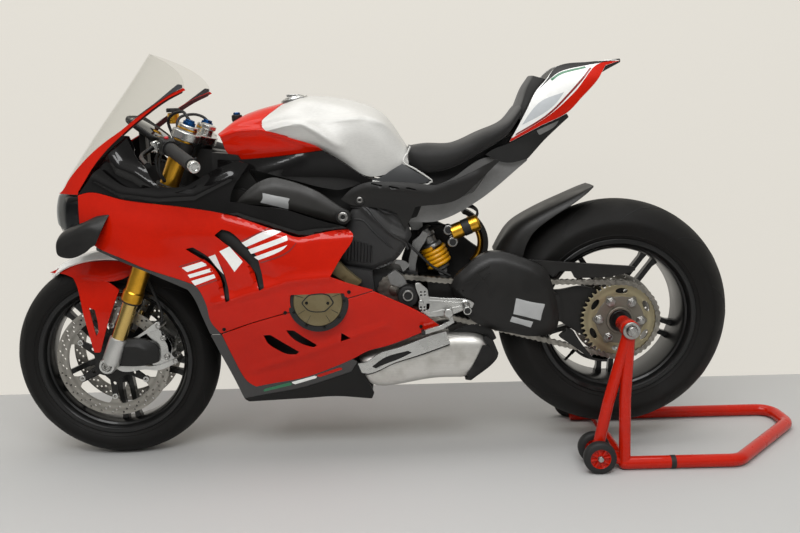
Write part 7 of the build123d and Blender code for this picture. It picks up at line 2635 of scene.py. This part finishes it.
# ---- paddock stand ------------------------------------------------------------------------------------
@dataclass
class Stand:
    """The red single-sided stand: bent tube, legs, pin, and small wheels with eight spokes."""

    tube: float = 18.0
    wheel_at: Point = (REAR_AXLE[0] - 86.0, 45.0)

    def build(self, shop: Workshop) -> None:
        """Make the tubes, the pin and the wheels.

        Args:
            shop: puts the pieces on their bodies.
        """
        axle, foot, pivot = at(*REAR_AXLE), at(1457, 18, 241), at(1383, 45, 225)
        stand = tube(self.bent([foot, at(1775, 18, 241), at(2030, 18, -28), at(2030, 18, -150),
                                at(1383, 18, -150)], 56), self.tube, 24)
        for start, middle in ((foot, at(1458, 200, 229)), (pivot, at(1413, 190, 225))):
            stand.join(tube(self.bent([start, middle, at(*REAR_AXLE, 221)], 40), 16, 24))
        stand.join(tube([pivot, foot], 10, 16),
                   tube(self.bent([pivot, at(1448, 30, 225), at(1448, 30, -150)], 12), 13.5, 20),
                   plate(flowing([(1371, 30), (1413, 10), (1413, 34), (1391, 59), (1371, 53)], 8), -206, -194),
                   turned([(150, 18), (152, 21), (200, 21), (206, 25), (238, 25), (241, 23)], axle, ACROSS, 40),
                   self.ball(foot, 17.8), self.ball(pivot, 16))
        shop.fit("stand_frame", stand, STAND_RED, "paddock_stand", sharp=50.0)
        pin = turned([(60, 14), (256, 14), (258, 12), (258, 1)], axle, ACROSS, 32)
        pin.join(hoop([(238, 24), (244, 24), (246, 22), (246, 15), (238, 15)], axle, ACROSS, 40))
        for low, high in ((171, 281), (-204, -150)):
            pin.join(turned([(low, 7.5), (high, 7.5)], at(*self.wheel_at), ACROSS, 24))
        shop.fit("stand_pin_and_axles", pin, STEEL, bevel=0.8)
        band = hoop([(0, 18.6), (14, 18.6), (14, 17), (0, 17)], at(1583, 18, 241), Vector((-1, 0, 0)), 32)
        shop.fit("stand_band", band, RUBBER, slot="wheel_rubber")
        self.build_wheels(shop.on("stand_wheels_left"), (277.0, 203.0), 1)
        self.build_wheels(shop.on("stand_wheel_right"), (-200.0,), -1)

    def build_wheels(self, shop: Workshop, faces: Sequence[float], out: int) -> None:
        """Make the small wheels of one body, from the y of their outer faces, which look to out.

        Args:
            shop: puts the pieces on their bodies.
            faces: the y of each wheel's outer face.
            out: 1 for faces that look left, -1 for right.
        """
        tyres, discs, bolts = Shape(), Shape(), Shape()
        for face in faces:
            center = at(*self.wheel_at, face)
            tyres.join(hoop([(0, 28), (0, 40), (-3, 44), (-14, 45), (-25, 44), (-28, 40), (-28, 28)], center,
                            ACROSS * out, 48))
            discs.join(hoop([(-2, 30), (-1, 29), (-1, 26.5), (-8, 25.5), (-8, 11), (-3, 10), (-3, 8.3), (-26, 8.3),
                             (-26, 30)], center, ACROSS * out, 48))
            for k in range(8):
                discs.join(beam([(at(*polar(self.wheel_at, reach, 45 * k + 12), face - out * 5.5), 3.5, thick)
                                 for reach, thick in ((10, 2.4), (18, 2.2), (27, 2.6))]))
            bolts.join(turned([(-3, 9), (0, 9), (2, 7), (2, 4), (0, 3.6)], center, ACROSS * out, 6))
        shop.fit(f"{shop.body}_tyres", tyres, RUBBER, shop.body, slot="wheel_rubber", sharp=50.0)
        shop.fit(f"{shop.body}_discs", discs, STAND_RED, bevel=0.5)
        shop.fit(f"{shop.body}_bolts", bolts, STEEL, bevel=0.5)

    def bent(self, corners: Sequence[Vector], radius: float) -> list[Vector]:
        """A path through corners, each rounded to a bend of that radius in mm.

        Args:
            corners: the ends and the corners between them.
            radius: the radius of the bends.

        Returns:
            Points along the path.
        """
        path = [corners[0]]
        for before, corner, after in zip(corners, corners[1:], corners[2:]):
            a, b = (before - corner).normalized(), (after - corner).normalized()
            angle = a.angle(b)
            cut = min(radius * MM / math.tan(angle / 2), (before - corner).length * 0.49,
                      (after - corner).length * 0.49)
            start, end = corner + a * cut, corner + b * cut
            for k in range(11):
                t = k / 10
                path.append(start * (1 - t) ** 2 + corner * (2 * t * (1 - t)) + end * t**2)
        return path + [corners[-1]]

    def ball(self, center: Vector, radius: float) -> Shape:
        """A small ball that closes a tube's end."""
        rows = [(-radius * math.cos(math.pi * k / 12), radius * math.sin(math.pi * k / 12)) for k in range(13)]
        return turned(rows, center, ACROSS, 24)


# ---- the studio ---------------------------------------------------------------------------------------
@dataclass(frozen=True)
class Studio:
    """A pale room with soft light from above, a fill from the camera's side, and the camera."""

    camera_place: tuple[float, float, float] = (0.013175, 2.429036, 0.976541)
    lens_mm: float = 37.548
    yaw: float = -0.3215
    pitch: float = 10.0477
    roll: float = -1.6054
    horizon: tuple[float, float] = (-0.1, 0.75)  # where the room's glow starts to rise and where it ends
    glow: tuple[float, float] = (0.2, 0.75)  # its strength there
    gloss_share: float = 0.7  # how much of it shiny surfaces mirror
    backdrop_glow: float = 0.72
    wall_share: float = 0.85  # how much of the wall's seen colour is its own

    def build(self) -> None:
        """Make the floor, the wall, the lights and the camera."""
        floor = self.sheet("floor", ((-7, -6, 0), (7, -6, 0), (7, 6, 0), (-7, 6, 0)), "#B3B3B2")
        wall = self.sheet("backdrop", ((-7, -0.56, 0), (-7, -0.56, 5), (7, -0.56, 5), (7, -0.56, 0)), "#E9E5DC")
        self.brighten(wall)
        self.softbox("overhead_light", (0.1, 0.2, 3.4), (0, 0, 0), (3.6, 1.6), 44.0)
        self.softbox("camera_side_light", (0.2, 3.0, 3.3), (-42, 0, 0), (3.6, 1.4), 112.0)
        world = bpy.data.worlds.new("room")
        world.use_nodes = True
        tree = world.node_tree
        tree.nodes.clear()
        facing = add_node(tree, "ShaderNodeTexCoord").outputs["Generated"]
        height = add_node(tree, "ShaderNodeSeparateXYZ", Vector=facing).outputs["Z"]
        level = add_node(tree, "ShaderNodeMapRange", Value=height, i1=self.horizon[0], i2=self.horizon[1],
                         i3=self.glow[0], i4=self.glow[1])
        ray = add_node(tree, "ShaderNodeLightPath").outputs
        dim = add_node(tree, "ShaderNodeMapRange", Value=ray["Is Glossy Ray"], i1=0.0, i2=1.0, i3=1.0,
                       i4=self.gloss_share)
        level = add_node(tree, "ShaderNodeMath", {"operation": "MULTIPLY"}, i0=level.outputs["Result"],
                         i1=dim.outputs["Result"])
        pale = add_node(tree, "ShaderNodeMath", {"operation": "MULTIPLY"}, i0=ray["Is Camera Ray"],
                        i1=self.backdrop_glow)
        level = add_node(tree, "ShaderNodeMath", {"operation": "MAXIMUM"}, i0=level.outputs["Value"],
                         i1=pale.outputs["Value"])
        glow = add_node(tree, "ShaderNodeBackground", Color=linear("#F4F3F0"), Strength=level.outputs["Value"])
        end = add_node(tree, "ShaderNodeOutputWorld")
        tree.links.new(glow.outputs["Background"], end.inputs["Surface"])
        bpy.context.scene.world = world
        bpy.context.scene.view_settings.view_transform = "Standard"
        self.aim()

    def sheet(self, name: str, corners: Sequence[tuple[float, float, float]], colour: str) -> bpy.types.Object:
        """Make one flat sheet of the room.

        Args:
            name: its name.
            corners: its four corners, in metres.
            colour: its sRGB colour.

        Returns:
            The sheet.
        """
        mesh = bpy.data.meshes.new(name)
        mesh.from_pydata(corners, [], [(0, 1, 2, 3)])
        material = bpy.data.materials.new(f"{name}_paint")
        material.use_nodes = True
        shader = material.node_tree.nodes["Principled BSDF"]
        shader.inputs["Base Color"].default_value = linear(colour)
        shader.inputs["Roughness"].default_value = 0.7
        mesh.materials.append(material)
        sheet = bpy.data.objects.new(name, mesh)
        bpy.context.scene.collection.objects.link(sheet)
        return sheet

    def brighten(self, wall: bpy.types.Object) -> None:
        """Show the wall at its own pale colour, to the camera and in gloss and glass; its back is clear.

        Args:
            wall: the sheet behind the bike.
        """
        tree = wall.data.materials[0].node_tree
        paint = tree.nodes["Principled BSDF"]
        glow = add_node(tree, "ShaderNodeEmission", Color=linear("#E2DED5"), Strength=1.0)
        ray = add_node(tree, "ShaderNodeLightPath").outputs
        seen = add_node(tree, "ShaderNodeMath", {"operation": "MAXIMUM"}, i0=ray["Is Camera Ray"],
                        i1=ray["Is Glossy Ray"])
        seen = add_node(tree, "ShaderNodeMath", {"operation": "MAXIMUM"}, i0=seen.outputs["Value"],
                        i1=ray["Is Transmission Ray"])
        share = add_node(tree, "ShaderNodeMath", {"operation": "MULTIPLY"}, i0=seen.outputs["Value"],
                         i1=self.wall_share)
        mix = add_node(tree, "ShaderNodeMixShader", i0=share.outputs["Value"], i1=paint.outputs["BSDF"],
                       i2=glow.outputs["Emission"])
        back = add_node(tree, "ShaderNodeNewGeometry").outputs["Backfacing"]
        clear = add_node(tree, "ShaderNodeBsdfTransparent")
        mix = add_node(tree, "ShaderNodeMixShader", i0=back, i1=mix.outputs["Shader"], i2=clear.outputs["BSDF"])
        tree.links.new(mix.outputs["Shader"], tree.nodes["Material Output"].inputs["Surface"])

    def softbox(self, name: str, place: tuple[float, float, float], turn: tuple[float, float, float],
                size: tuple[float, float], power: float) -> None:
        """Hang a soft rectangular light; it faces down before it is turned, in degrees.

        Args:
            name: its name.
            place: its middle, in metres.
            turn: degrees about X, Y and Z.
            size: its length and width, in metres.
            power: its power, in watts.
        """
        data = bpy.data.lights.new(name, "AREA")
        data.shape, data.size, data.size_y, data.energy = "RECTANGLE", size[0], size[1], power
        lamp = bpy.data.objects.new(name, data)
        lamp.location = place
        lamp.rotation_euler = [math.radians(angle) for angle in turn]
        bpy.context.scene.collection.objects.link(lamp)

    def aim(self) -> None:
        """Place the camera and turn it, with +X to the left and +Y towards it."""
        yaw, pitch, roll = (math.radians(angle) for angle in (self.yaw, self.pitch, self.roll))
        ahead = Vector((math.sin(yaw) * math.cos(pitch), math.cos(yaw) * math.cos(pitch), -math.sin(pitch)))
        right = Vector((math.cos(yaw), -math.sin(yaw), 0))
        above = right.cross(ahead)
        axes = [math.cos(roll) * right + math.sin(roll) * above, -math.sin(roll) * right + math.cos(roll) * above,
                -ahead]
        columns = [Vector((-axis.x, -axis.y, axis.z)) for axis in axes]
        matrix = Matrix(columns).transposed().to_4x4()
        matrix.translation = self.camera_place
        data = bpy.data.cameras.new("camera")
        data.lens, data.sensor_width = self.lens_mm, 36.0
        camera = bpy.data.objects.new("camera", data)
        bpy.context.scene.collection.objects.link(camera)
        camera.matrix_world = matrix
        bpy.context.scene.camera = camera


def main() -> None:
    """Build the whole bike, the stand and the studio."""
    logging.basicConfig(level=logging.INFO, format="%(message)s")
    shop = Workshop()
    for maker in (Fairing(), Nose(), Tank(), Seat(), Wheels(), Steering(), Engine(), Rear(), Rests(), Chain(),
                  Stand()):
        maker.build(shop)
    Studio().build()
    log.info("%d pieces made", len(shop.made))
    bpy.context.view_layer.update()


if __name__ == "__main__":
    main()
